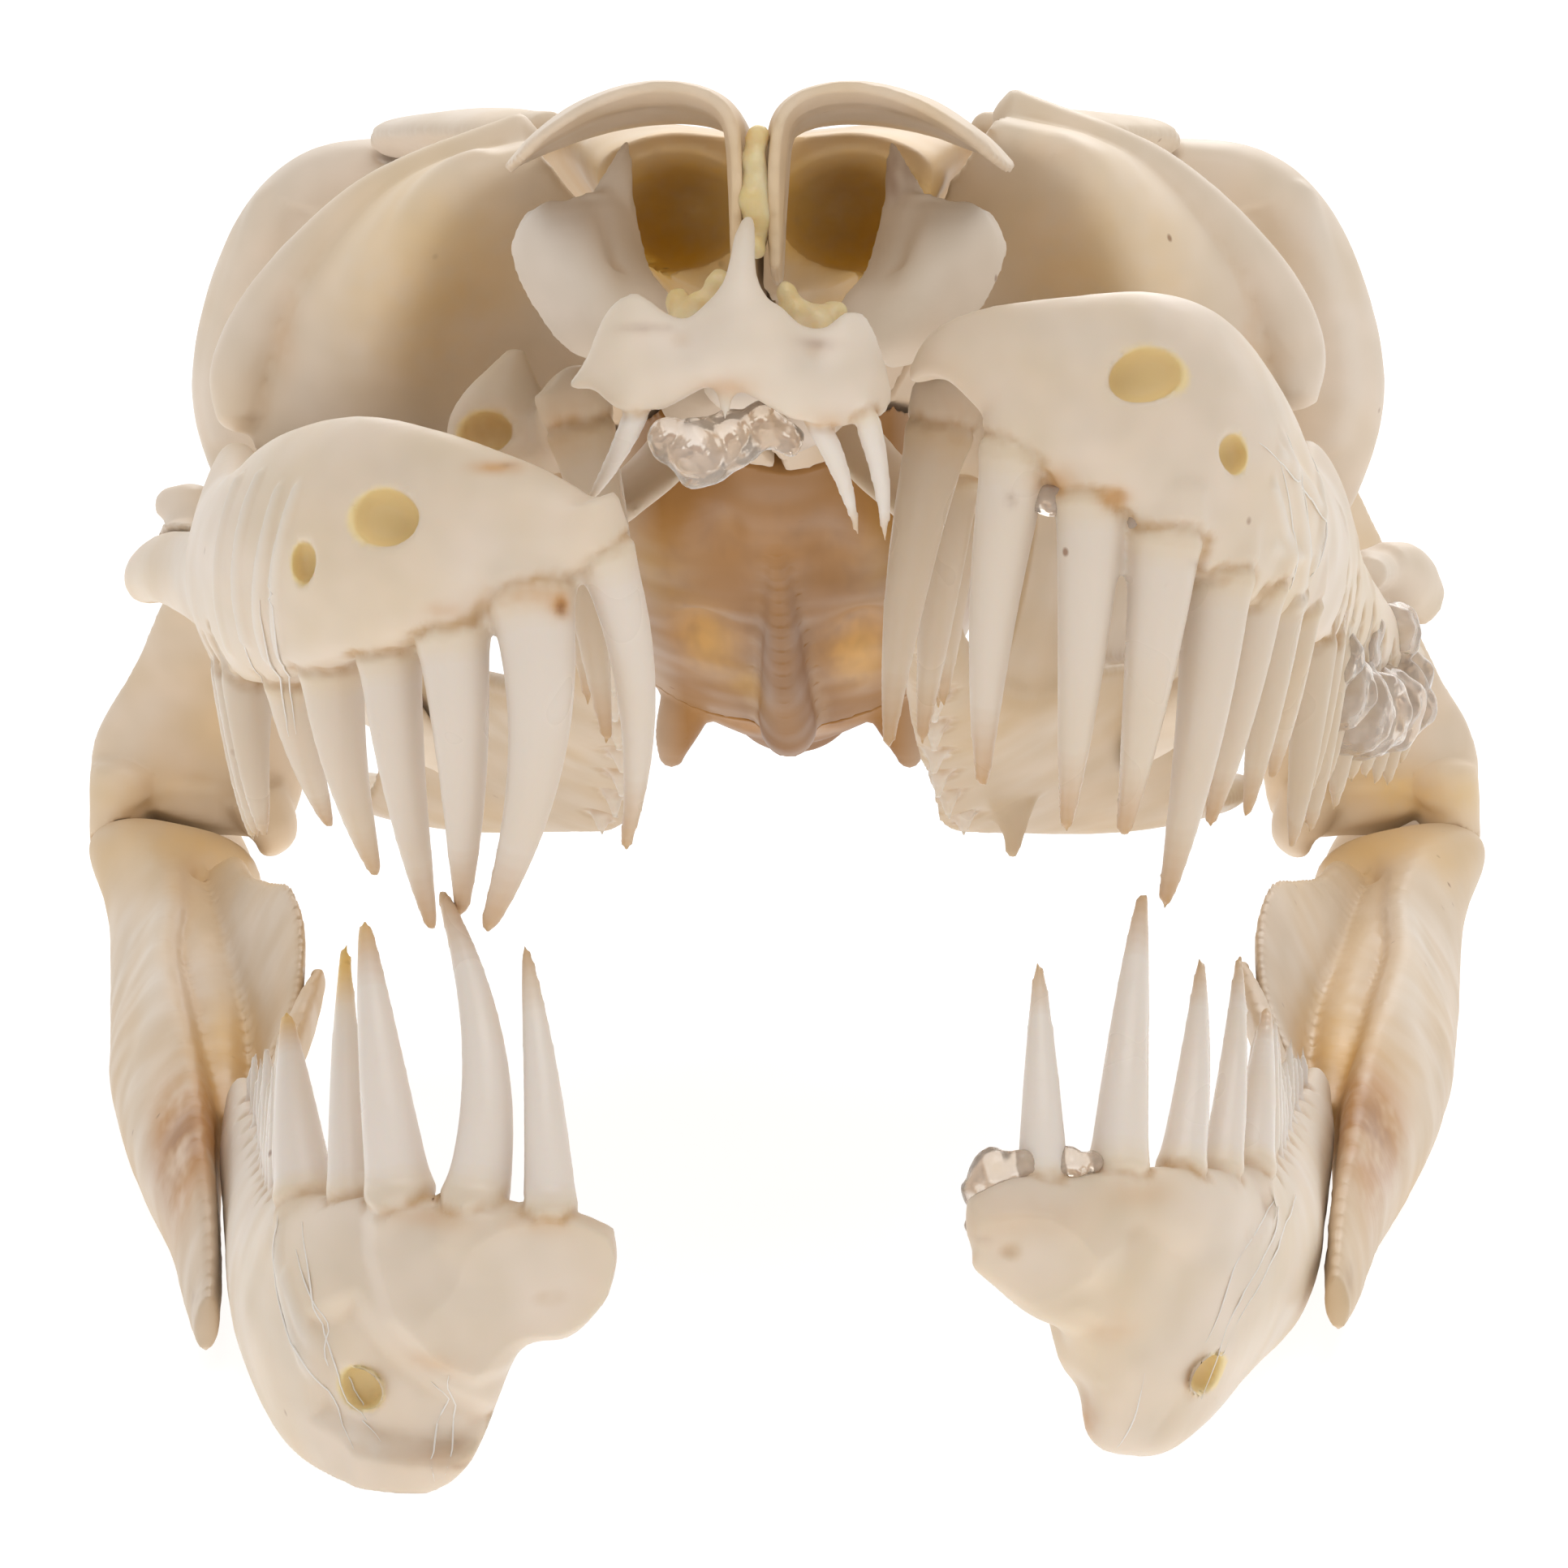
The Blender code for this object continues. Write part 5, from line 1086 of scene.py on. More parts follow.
BRAINCASE = [  # y, crest, upper slope x z, widest x z, lower side x z, lower edge x z, keel
    (24.2, 15.0, 4.2, 15.2, 6.6, 13.8, 5.6, 11.0, 3.0, 9.2, 8.8),
    (34.0, 17.2, 5.0, 17.6, 8.6, 16.8, 5.6, 12.4, 3.2, 8.6, 7.2),
    (43.0, 19.0, 6.0, 19.4, 10.4, 18.6, 6.4, 13.0, 3.6, 7.4, 5.8),
    (50.0, 20.0, 6.6, 20.0, 12.8, 18.4, 9.0, 12.6, 4.4, 6.2, 4.6),
    (57.0, 20.5, 4.6, 19.0, 11.2, 14.6, 10.6, 9.4, 5.8, 4.4, 3.6),
    (66.0, 20.8, 2.6, 18.0, 9.6, 13.2, 10.4, 8.6, 6.4, 3.6, 2.4),
    (76.0, 20.4, 2.0, 17.4, 8.2, 12.6, 9.6, 8.0, 6.4, 3.0, 1.6),
    (86.0, 19.4, 1.8, 16.8, 7.4, 12.6, 9.4, 8.2, 6.8, 2.8, 0.8),
    (96.0, 17.0, 2.8, 15.2, 8.4, 12.2, 9.6, 7.8, 6.4, 2.4, 0.4),
    (103.0, 14.6, 4.2, 13.4, 7.4, 10.4, 6.8, 6.2, 4.2, 2.2, 0.6),
    (108.0, 12.6, 3.8, 11.8, 5.4, 9.2, 4.8, 5.8, 3.2, 2.6, 1.4),
]
BRAINCASE_RINGS, BRAINCASE_SIDES = 170, 96
BRAINCASE_CELL = 0.3
BRAINCASE_DETAILS = {
    # the frontals' ambers fill the nose cavities with orange: grease together with a painted glow of light through
    # the thin bone
    "frontal_l": dict(ambers=[((3.6, 27, 12), (4.0, 6, 3.8), 1.3), ((1.2, 24, 12), (1.0, 3, 3.0), 0.5)]),
    "frontal_r": dict(ambers=[((-3.6, 27, 12), (4.0, 6, 3.8), 1.3), ((-1.2, 24, 12), (1.0, 3, 3.0), 0.5)]),
    "parabasisphenoid": dict(
        flank=0.8,
        stains=[((0, 58, 4), (9, 9, 4), 0.35), ((3.4, 78, 2.2), (2.2, 11, 1.9), 1.1),
                ((-3.6, 76, 2.2), (2.4, 10, 1.9), 0.9)],
        rusts=[((-3.0, 73.5, 2.2), (0.7, 2.0, 0.8), 0.9), ((0.2, 70, 2.0), (0.8, 3, 1), 0.25)],
        dents=[((3.6, 74, 2.2), (1.8, 6, 2.0), (0, 0, 0.9)), ((-3.6, 74, 2.2), (1.8, 5, 2.0), (0, 0, 0.9)),
               ((-2.2, 56, 4.0), (1.2, 5, 2.0), (0, 0, 0.6)), ((2.4, 59, 4.0), (1.3, 6, 2.0), (0, 0, 0.6))],
        ambers=[((3.6, 79, 1.8), (1.6, 9, 1.6), 0.4), ((-3.4, 77, 2.1), (1.6, 8, 1.6), 0.35),
                ((5.0, 62, 3.6), (2.0, 10, 2.0), 0.25), ((-5.4, 66, 3.6), (2.0, 10, 2.0), 0.25),
                ((-1.6, 84, 1.0), (1.5, 5, 1.5), 0.3)]),
    "basioccipital": dict(flank=0.8, stains=[((0, 96, 1), (6, 5, 3), 0.5)]),
}


def braincase_ring(row):
    """One closed section of the braincase: its left half's points, and their mirror images."""
    y, crest, *half, keel = row
    pairs = list(zip(half[::2], half[1::2]))
    loop = [(0, crest), *pairs, (0, keel), *[(-x, z) for x, z in reversed(pairs)]]
    round_again = loop[-2:] + loop + loop[:3]
    each = BRAINCASE_SIDES // len(loop)
    smooth = spline(round_again, each * (len(round_again) - 1) + 1)
    return [(x, y, z) for x, z in smooth[2 * each : 2 * each + BRAINCASE_SIDES]]


def only(obj, keep):
    """A new object with only the kept points of another."""
    mesh = obj.data.copy()
    keep_points(mesh, keep)
    return new_object("part", mesh)


def parted(obj, axis, at, wave=0.4, length=6.0, centre=(0.0, 60.0, 10.0)):
    """Cuts one closed mesh in two along a suture, and gives the lower part on that axis first."""
    index = "xyz".index(axis)
    others = [i for i in range(3) if i != index]
    steps, reach = 181, 62.0
    grid = []
    for a in np.linspace(-reach, reach, steps) + centre[others[0]]:
        row = []
        for b in (centre[others[1]] - reach, centre[others[1]] + reach):
            point = [0.0, 0.0, 0.0]
            point[others[0]], point[others[1]] = a, b
            fine = 0.3 * wave * math.sin(2 * math.pi * a / (0.31 * length))
            point[index] = at(a) + wave * math.sin(2 * math.pi * a / length) + fine
            row.append(point)
        grid.append(row)
    suture = bpy.context.scene.skull_bone.suture / MM
    cut(obj, form_object("saw", [plate(grid, suture, 2, steps, rim=1.0)]))
    label = piece_labels(obj.data)
    names, counts = np.unique(label, return_counts=True)
    points = points_of(obj.data)
    largest = names[np.argsort(counts)[-2:]]
    parts = sorted(largest, key=lambda n: points[label == n][:, index].mean())
    made = [only(obj, label == n) for n in parts]
    discard(obj)
    return made


def make_braincase():
    """Models the braincase whole, then parts it along its sutures."""
    rings = [braincase_ring(row) for row in spline(BRAINCASE, BRAINCASE_RINGS)]
    ends = [np.mean(rings[0], axis=0) - (0, 0.4, 0), np.mean(rings[-1], axis=0) + (0, 0.4, 0)]
    forms = [skin(rings, ends)]
    forms.append(bar([(0, 103, 3.6, 3.6, 2.6), (0, 108, 3.2, 3.0, 2.4), (0, 110, 3.2, 1.8, 1.5)]))
    forms.append(bar([(0, 54, 4.9, 0.5, 0.6), (0, 63, 3.4, 0.8, 1.1), (0, 78, 1.6, 1.1, 1.7),
                      (0, 92, 0.4, 1.4, 1.6), (0, 99, 0.6, 1.0, 0.9)]))
    for side in (LEFT, RIGHT):
        forms.append(bar([(4.6, 96, 2.6, 1.6, 1.2), (5.6, 99, 0.6, 1.0, 1.0), (5.9, 100.5, -0.6, 0.5, 0.5)],
                         side=side))
    whole = form_object("braincase", forms)
    regrain(whole, 0.4)
    drop_scraps(whole)
    holes = [bar([(0, 100, 8.2, 2.2, 2.4), (0, 112, 8.2, 2.6, 2.8)], rings=4)]
    for side in (LEFT, RIGHT):
        holes.append(bar([(3.5, 21, 12.0, 3.3, 2.7), (3.5, 25.5, 12.2, 2.9, 2.3), (3.2, 28.5, 12.8, 2.0, 1.6),
                          (3.0, 30, 13.2, 0.9, 0.8)], rings=24, side=side))
    for hole in holes:
        cut(whole, form_object("hole", [hole]))
    front, back = parted(whole, "y", lambda x: 46.6 + 0.012 * x * x, 0.5, 7.0)
    parts = dict(zip(("frontal_r", "frontal_l"), parted(front, "x", lambda y: 0.0, 0.25, 5.0)))
    middle, rear = parted(back, "y", lambda x: 94.4, 0.4, 6.0)
    parts["parabasisphenoid"], roof = parted(middle, "z", lambda x: 8.2, 0.3, 5.0)
    parts["parietal"], ear = parted(roof, "y", lambda x: 84.5 - 0.02 * x * x, 0.4, 5.0)
    ear_low, parts["supraoccipital"] = parted(ear, "z", lambda x: 12.4, 0.3, 7.0)
    parts["basioccipital"], sides = parted(rear, "z", lambda x: 5.0, 0.3, 6.0)
    parts["prootic_r"], parts["prootic_l"] = parted(ear_low, "x", lambda y: 0.0, 0.0, 5.0)
    parts["exoccipital_r"], parts["exoccipital_l"] = parted(sides, "x", lambda y: 0.0, 0.0, 5.0)
    for name, obj in parts.items():
        regrain(obj, BRAINCASE_CELL)
        dress_bone(obj, name, forms, "cranium", cell=BRAINCASE_CELL, swelling=0.08, grain=0.2, snap=True,
                   **BRAINCASE_DETAILS.get(name, {}))


def make_supratemporal(side):
    slip = [(6.6, 74.0, 15.2, 0.9, 1.4, 35), (8.2, 82.0, 15.2, 1.1, 2.6, 35),
            (11.6, 90.0, 14.8, 1.1, 2.9, 30), (17.0, 96.0, 13.6, 1.1, 2.6, 25),
            (21.4, 99.6, 12.8, 0.9, 1.8, 20)]
    make_bone(sided("supratemporal", side), [bar(slip, side=side)], "cranium", side, pale=0.6)


# Palate and upper jaw

MAXILLA = {  # each bends round its own side of the snout, and the right one hangs the lower
    LEFT: [
        (5.9, 5.2, 2.4, 6.2, 5.2, 1.4, 0.3, 0.4, 0.3), (6.8, 4.4, 3.6, 7.2, 4.0, 1.2, 0.6, 0.8, 0.5),
        (8.6, 3.6, 4.3, 9.0, 2.6, -0.2, 0.9, 1.3, 1.0), (12.0, 3.4, 4.7, 11.2, 1.8, -2.4, 1.4, 2.0, 1.4),
        (14.8, 4.2, 5.0, 14.6, 2.2, -4.0, 1.7, 2.5, 1.6), (17.0, 7.4, 4.8, 17.2, 5.4, -6.0, 1.7, 2.5, 1.7),
        (18.6, 12.6, 4.0, 19.0, 11.0, -6.2, 1.6, 2.4, 1.7),
        (19.8, 18.0, 2.6, 20.2, 17.5, -5.8, 1.5, 2.2, 1.5),
        (21.2, 26.0, 2.4, 21.6, 25.5, -5.2, 1.4, 2.0, 1.4),
        (21.9, 31.5, 3.9, 22.6, 32.0, -4.6, 1.3, 1.8, 1.3),
        (23.2, 39.0, 1.6, 23.6, 39.0, -4.0, 1.2, 1.6, 1.2),
        (25.4, 50.0, 0.4, 25.8, 50.0, -3.7, 1.0, 1.4, 1.0),
        (27.6, 60.0, -0.2, 27.8, 60.0, -2.6, 0.7, 1.0, 0.7),
        (28.4, 63.4, -1.0, 28.4, 63.4, -2.0, 0.3, 0.35, 0.3),
    ],
    RIGHT: [
        (4.9, 1.6, -3.9, 5.3, 1.3, -5.6, 0.5, 0.8, 0.6), (7.0, 1.5, -2.5, 7.2, 1.2, -6.2, 1.0, 1.4, 1.0),
        (8.7, 2.2, -1.6, 9.2, 1.5, -6.9, 1.3, 1.9, 1.2), (11.8, 3.6, -0.3, 12.0, 2.6, -8.2, 1.6, 2.4, 1.5),
        (14.7, 6.0, 0.6, 14.6, 4.6, -8.6, 1.7, 2.6, 1.6), (17.6, 10.6, 0.8, 17.0, 8.8, -8.7, 1.7, 2.5, 1.6),
        (19.6, 16.0, 0.5, 18.9, 14.4, -8.4, 1.6, 2.2, 1.5),
        (20.9, 22.0, 1.0, 20.6, 21.0, -7.2, 1.4, 2.0, 1.3),
        (21.5, 30.0, 3.6, 21.4, 29.5, -6.2, 1.3, 1.7, 1.2),
        (22.4, 38.0, 2.6, 22.0, 38.0, -4.6, 1.0, 1.4, 1.0),
        (24.2, 47.0, 2.7, 23.9, 47.0, -1.8, 0.9, 1.2, 0.9),
        (26.4, 54.0, 3.6, 26.4, 54.0, 0.4, 0.8, 1.1, 0.9),
        (28.0, 59.6, 3.7, 28.0, 59.6, 1.3, 0.7, 0.9, 0.7),
        (28.6, 61.6, 2.9, 28.6, 61.6, 2.0, 0.3, 0.35, 0.3),
    ],
}
MAXILLA_FANGS = {  # the front teeth: root, tip, sideways bow and radius
    LEFT: [
        ((9.9, 2.6, -1.0), (8.6, 7.6, -13.4), -0.3, 1.35),
        ((12.6, 2.4, -2.6), (11.7, 7.9, -15.0), 0.1, 1.35),
        ((15.4, 3.0, -4.0), (13.9, 8.8, -15.1), 0.1, 1.4),
        ((17.4, 5.8, -4.9), (15.5, 12.0, -17.4), 0.3, 1.4),
        ((19.0, 9.4, -4.9), (17.4, 16.0, -13.8), 0.2, 1.2),
        ((20.1, 14.0, -4.6), (19.0, 20.5, -12.9), 0.1, 1.1),
        ((21.0, 18.6, -4.4), (20.2, 25.0, -10.9), 0.1, 1.0),
    ],
    RIGHT: [
        ((5.6, 1.5, -4.9), (4.9, 7.8, -15.8), -0.95, 1.1), ((8.3, 1.9, -6.4), (10.1, 6.6, -19.0), -1.2, 1.6),
        ((11.2, 2.9, -7.7), (11.0, 8.0, -18.2), -0.3, 1.4),
        ((13.6, 4.8, -8.2), (12.2, 11.0, -18.5), 0.2, 1.25),
        ((16.0, 8.4, -8.3), (14.6, 15.0, -15.9), 0.3, 1.3),
        ((17.9, 12.6, -8.2), (16.8, 20.0, -13.4), 0.2, 1.1),
    ],
}
TEETH = {"maxilla": 17, "dentary": 16}


def front_teeth(row, side, forward=0.09):
    """Large teeth that all bow forwards by a share of their length."""
    forms = []
    for root, tip, sideways, radius, *sink in row:
        length = np.linalg.norm(np.array(tip) - np.array(root))
        forms.append(fang(root, tip, (sideways, -forward * length, 0), radius, side,
                          sink=sink[0] if sink else 1.6))
    return forms


MAXILLA_DETAILS = {
    LEFT: dict(
        dull=(0.1, 1.0),
        dishes=[(14.6, 1.4, 1.5, 1.05, 22, 1.4), (17.9, -1.2, 0.55, 0.75, 0, 1.2)],
        dents=[((6.6, 4.6, 0.4), (1.6, 3.0, 1.3), (0.0, 0.4, 1.3))],
        stains=[((11.2, 1.2, -2.6), (1.0, 2.0, 0.7), 0.6), ((13.4, 1.0, -3.2), (0.7, 2.0, 0.5), 0.7),
                ((6.8, 4.5, 0.0), (2.0, 3.0, 1.4), 0.45)],
        rusts=[((9.6, 1.4, -3.2), (0.25, 1.0, 0.3), 0.8), ((16.6, 3.4, -5.4), (0.4, 1.5, 0.3), 0.6)],
        ridges=[([(20.0, 6.6, 0.4), (20.7, 9.2, -2.1), (21.0, 11.9, -3.9), (20.8, 13.8, -5.6)], 0.35, 0.30, 0.7),
                ([(19.4, 5.4, -1.8), (20.0, 7.5, -3.3), (20.4, 10.9, -5.0)], 0.3, 0.25, 0.7),
                ([(21.6, 14.0, 0.0), (21.6, 14.6, -2.4), (21.3, 13.1, -4.0)], 0.35, 0.30, 0.7),
                ([(19.6, 6.0, -0.6), (20.8, 10.0, -1.0), (21.8, 15.1, -1.6)], 0.3, 0.22, 0.6),
                ([(19.2, 6.6, -4.0), (20.4, 10.0, -4.0), (21.3, 14.0, -3.2)], 0.3, 0.22, 0.6)],
        threads=[[(20.2, 7.4, 0.6), (20.9, 10.0, -1.8), (21.2, 12.6, -4.2)],
                 [(19.8, 6.2, -1.0), (20.2, 8.4, -3.0), (20.4, 11.0, -5.2)],
                 [(21.9, 16.0, 1.0), (21.8, 15.0, -1.8), (21.2, 13.2, -4.4)],
                 [(18.8, 4.4, -0.6), (20.4, 9.0, -1.4), (22.0, 16.0, -2.0)]]),
    RIGHT: dict(
        dull=(0.0, 0.8),
        dishes=[(13.6, -3.9, 1.35, 1.1, 15, 1.5), (16.8, -5.2, 0.5, 0.8, 0, 1.2)],
        stains=[((9.4, 1.0, -2.1), (1.1, 2.0, 0.35), 0.9), ((7.0, 0.8, -7.3), (0.5, 2.0, 0.6), 0.9),
                ((8.4, 0.6, -7.0), (1.8, 2.0, 0.6), 0.5), ((11.4, 1.2, -7.4), (0.8, 2.0, 0.4), 0.4)],
        rusts=[((7.0, 0.8, -7.4), (0.25, 1.0, 0.35), 0.9), ((9.0, 1.0, -2.0), (0.3, 1.0, 0.15), 0.7)],
        ridges=[([(16.9, 4.7, -2.0), (17.5, 4.9, -3.5), (18.0, 5.7, -5.2), (18.1, 7.0, -6.9), (17.8, 8.9, -8.4)],
                 0.28, 0.30, 0.8),
                ([(17.7, 6.0, -1.8), (18.3, 6.2, -3.6), (18.7, 7.2, -5.3), (18.8, 8.7, -6.9), (18.4, 10.1, -8.3)],
                 0.28, 0.32, 0.8),
                ([(18.6, 8.4, -0.9), (19.4, 8.5, -3.1), (19.7, 9.8, -5.7), (19.4, 11.2, -7.5)], 0.3, 0.35, 0.8),
                ([(19.6, 11.0, -0.6), (20.3, 11.6, -3.0), (20.5, 13.0, -5.4), (20.1, 14.6, -7.2)], 0.35, 0.4, 0.7)],
        threads=[[(17.6, 5.6, -4.0), (18.0, 6.6, -6.4), (17.9, 9.0, -8.6), (17.7, 13.7, -10.4)],
                 [(18.5, 7.6, -6.0), (18.4, 9.8, -8.4), (18.0, 13.8, -10.6)],
                 [(19.5, 9.2, -3.6), (19.6, 11.0, -6.8), (19.0, 13.0, -8.6)]]),
}


def make_maxilla(side):
    stations, front = MAXILLA[side], MAXILLA_FANGS[side]
    forms = [blade(stations, side=side)]
    forms += front_teeth(front, side)
    count = TEETH["maxilla"] - len(front)
    span, lengths = ((8.4, 12.0), (7.2, 2.8)) if side == LEFT else ((6.6, 9.4), (6.6, 2.0))
    forms.append(tooth_row(edge_line(stations, 3, span), count, lengths, (1.15, 0.8), (-0.1, 0.55, -1), 0.6,
                           side, 3 + side))
    make_bone(sided("maxilla", side), forms, "cranium", side, cell=0.19, **MAXILLA_DETAILS[side])


def make_palatine(side):
    body = [(7.0, 16.4, 3.6, 1.0, 1.0), (7.3, 18.6, 3.0, 1.5, 1.4), (7.7, 26.0, 1.4, 1.7, 1.5),
            (7.4, 34.0, 0.0, 1.4, 1.3), (6.8, 42.0, -0.9, 0.9, 0.9)]
    tower = [(9.6, 21.0, 0.8, 2.4, 1.5), (10.2, 21.6, 3.0, 2.3, 1.4), (9.8, 22.2, 6.0, 0.4, 0.4)]
    outer = [(8.6, 25.6, 1.6, 3.6, 0.8), (13.6, 27.4, 2.4, 3.4, 0.7), (18.0, 29.4, 2.0, 3.0, 0.7),
             (21.4, 31.0, 0.8, 1.6, 0.7)]
    inner = [(7.0, 32.0, 0.8, 2.6, 0.7), (4.6, 34.0, 3.2, 2.4, 0.6), (2.8, 35.6, 6.2, 1.2, 0.5)]
    forms = [bar(body, side=side), bar(tower, BACK, side=side), bar(outer, side=side), bar(inner, side=side)]
    teeth = [((7.1, 17.6, 2.4), (5.0, 23.0, -10.0), -0.3, 1.3, 1.4),
             ((7.6, 22.6, 1.4), (6.3, 29.4, -9.0), 0.0, 1.15, 1.4),
             ((7.8, 27.2, 0.4), (7.2, 32.6, -7.0), 0.0, 0.95, 1.2),
             ((7.5, 31.8, -0.4), (7.0, 36.6, -6.6), 0.0, 0.85, 1.2),
             ((7.2, 36.4, -1.0), (6.8, 40.6, -6.0), 0.0, 0.75, 1.0)]
    forms += front_teeth(teeth, side)
    make_bone(sided("palatine", side), forms, "cranium", side, dull=(0.3, 0.9),
              dishes=[(10.9, 2.4, 1.1, 0.9, 0, 1.3)],
              stains=[((10.9, 21, 2.4), (1.6, 3.0, 1.3), 0.5), ((7.4, 18, 2.0), (1.4, 3.0, 1.4), 0.5)])


PTERYGOID = [
    (6.8, 41.6, -1.1, 0.9, 0.8, 0), (7.2, 52.0, -2.4, 1.6, 1.2, 12), (8.8, 62.0, -3.4, 3.0, 1.1, 26),
    (11.6, 72.0, -2.8, 5.6, 1.0, 32), (13.0, 80.0, -3.2, 6.0, 1.0, 30), (16.4, 92.0, -3.8, 3.8, 1.0, 12),
    (20.0, 103.0, -2.0, 2.2, 1.0, 0), (22.0, 109.0, -0.8, 1.2, 0.8, 0),
]
PTERYGOID_TEETH = [  # the line that their roots stand on
    (6.8, 42.6, -1.4), (7.0, 52.0, -3.3), (7.0, 62.0, -4.6), (7.4, 70.0, -5.4), (8.4, 77.0, -6.0),
]


def make_pterygoid(side):
    forms = [bar(PTERYGOID, rings=90, side=side)]
    forms.append(tooth_row(spline(PTERYGOID_TEETH, 60), 8, (2.6, 1.5), (0.6, 0.45), (-0.04, 0.8, -0.6), 0.4,
                           side, 5))
    if side == LEFT:
        wing = [(11.4, 57.0, 5.6, 9.4, 57.0, -2.6, 0.3, 0.5, 0.5),
                (14.2, 65.0, 8.4, 12.2, 65.0, -2.2, 0.4, 0.7, 0.7),
                (17.0, 75.0, 8.0, 15.6, 75.0, -0.8, 0.4, 0.8, 0.7),
                (18.6, 83.0, 4.6, 17.6, 83.0, -1.2, 0.4, 0.7, 0.7),
                (18.8, 90.0, 0.0, 18.2, 90.0, -2.4, 0.3, 0.4, 0.4)]
        forms.append(blade(wing, side=side))
        forms.append(bar([(10.6, 79.0, -5.0, 1.2, 0.8), (10.7, 80.0, -6.6, 0.5, 0.5),
                          (10.6, 80.4, -7.5, 0.3, 0.3)], BACK, side=side))
    make_bone(sided("pterygoid", side), forms, "cranium", side, dull=(1.0, 0.6),
              ambers=[((9.5, 64, -4), (2, 8, 2), 0.15), ((14, 90, -4), (3, 6, 2), 0.2)])


def make_ectopterygoid(side):
    high = 0 if side == LEFT else 1.2
    strut = [(25.6, 52.0, 1.6 + high, 0.9, 0.8), (25.8, 57.0, 2.4 + high, 1.5, 1.0),
             (24.2, 63.0, 2.2 + high, 1.9, 1.0), (20.2, 71.0, -0.2, 1.5, 1.0),
             (17.0, 78.0, -1.9, 1.6, 0.9), (15.4, 82.0, -3.0, 1.2, 0.8)]
    if side == LEFT:
        prong = [(26.4, 56.5, 2.8, 1.2, 1.0), (27.7, 58.5, 2.3, 1.3, 1.5), (28.8, 60.0, 1.4, 0.8, 1.2)]
    else:
        prong = [(24.8, 57.0, 4.4, 1.4, 1.2), (25.9, 57.5, 5.2, 1.2, 1.2), (27.2, 58.0, 5.6, 0.5, 0.6)]
    forms = [bar(strut, side=side), bar(prong, side=side)]
    make_bone(sided("ectopterygoid", side), forms, "cranium", side, pale=0.8, swelling=0.7)


# Quadrate and lower jaw

def make_quadrate(side):
    shaft = [(30.2, 112.2, 8.2, 5.0, 2.1, 0), (29.6, 112.2, 10.4, 5.4, 2.2, 0),
             (28.0, 110.6, 14.6, 4.8, 1.6, -8), (26.4, 107.4, 18.6, 4.9, 1.4, -20),
             (24.6, 103.0, 23.2, 5.0, 1.3, -35), (23.4, 100.4, 26.0, 4.4, 1.2, -42)]
    forms = [bar(shaft, BACK, rings=80, sides=36, side=side)]
    forms.append(bar([(33.2, 111.6, 10.4, 1.8, 2.2), (33.6, 111.4, 8.2, 1.5, 2.4), (33.8, 111.2, 6.0, 1.2, 2.2),
                      (33.6, 111.0, 4.6, 0.4, 1.0)], BACK, side=side))
    forms.append(bar([(26.6, 110.6, 9.4, 1.6, 1.8), (25.8, 110.4, 7.6, 1.3, 1.8), (25.9, 110.2, 6.4, 0.5, 1.0)],
                     BACK, side=side))
    warm = 0.6 if side == LEFT else 0.3
    make_bone(sided("quadrate", side), forms, "skull", side, rounds=5, pale=0.3, swelling=0.5, tight=0.4,
              ambers=[((32.0, 110.0, 9.6), (4.0, 3.0, 1.8), warm), ((28.4, 109.0, 12.6), (2.4, 3.0, 3.0), 0.2)],
              ridges=[([(32.6, 110.6, 9.0), (33.0, 109.6, 12.0), (31.6, 108.0, 15.6)], 1.4, 0.6, 0.3),
                      ([(29.4, 109.4, 9.4), (29.0, 108.4, 12.4), (28.0, 107.0, 16.4)], 1.4, -0.6, 0.0)])


DENTARY_TIP = {
    LEFT: [(8.0, -1.4, 10.3, 8.4, -1.5, 7.8, 0.5, 0.8, 0.5),
           (9.6, -1.1, 11.0, 9.8, -1.1, 6.3, 1.0, 1.4, 0.8),
           (11.3, -0.6, 11.0, 11.8, -0.7, 4.7, 1.3, 1.9, 1.0),
           (12.9, 0.3, 11.0, 12.6, 0.2, 0.9, 1.4, 2.1, 1.1),
           (14.7, 1.6, 10.9, 14.3, 1.3, 0.0, 1.5, 2.2, 1.3),
           (16.5, 4.1, 10.4, 15.5, 3.9, -0.3, 1.5, 2.2, 1.2),
           (18.1, 8.2, 9.7, 16.8, 8.4, -0.3, 1.5, 2.1, 1.1),
           (19.2, 14.6, 8.7, 18.6, 15.6, -0.1, 1.4, 1.9, 1.0)],
    RIGHT: [(6.3, -1.4, 10.4, 6.5, -1.5, 7.8, 0.5, 0.8, 0.5),
            (7.8, -1.1, 10.9, 7.8, -1.1, 6.3, 1.0, 1.4, 0.8),
            (9.8, -0.7, 11.1, 9.8, -0.8, 5.6, 1.2, 1.8, 1.0),
            (12.2, 0.2, 11.1, 11.9, 0.0, 0.9, 1.4, 2.1, 1.1),
            (14.7, 1.6, 10.9, 14.8, 1.3, -0.5, 1.5, 2.3, 1.3),
            (16.5, 4.1, 10.4, 16.6, 3.8, -0.6, 1.5, 2.3, 1.3),
            (18.1, 8.2, 9.7, 18.3, 8.4, -0.5, 1.5, 2.2, 1.2),
            (19.2, 14.6, 8.7, 19.8, 15.6, -0.2, 1.4, 2.0, 1.1)],
}
DENTARY = [
    (20.2, 23.4, 7.5, 21.0, 24.4, 0.2, 1.2, 1.7, 1.0), (21.2, 34.0, 6.6, 22.2, 35.0, 0.8, 1.0, 1.4, 0.9),
    (22.4, 45.0, 6.0, 23.4, 46.0, 2.4, 0.8, 1.1, 0.7), (23.4, 53.0, 5.8, 24.0, 53.0, 4.2, 0.4, 0.5, 0.4),
]
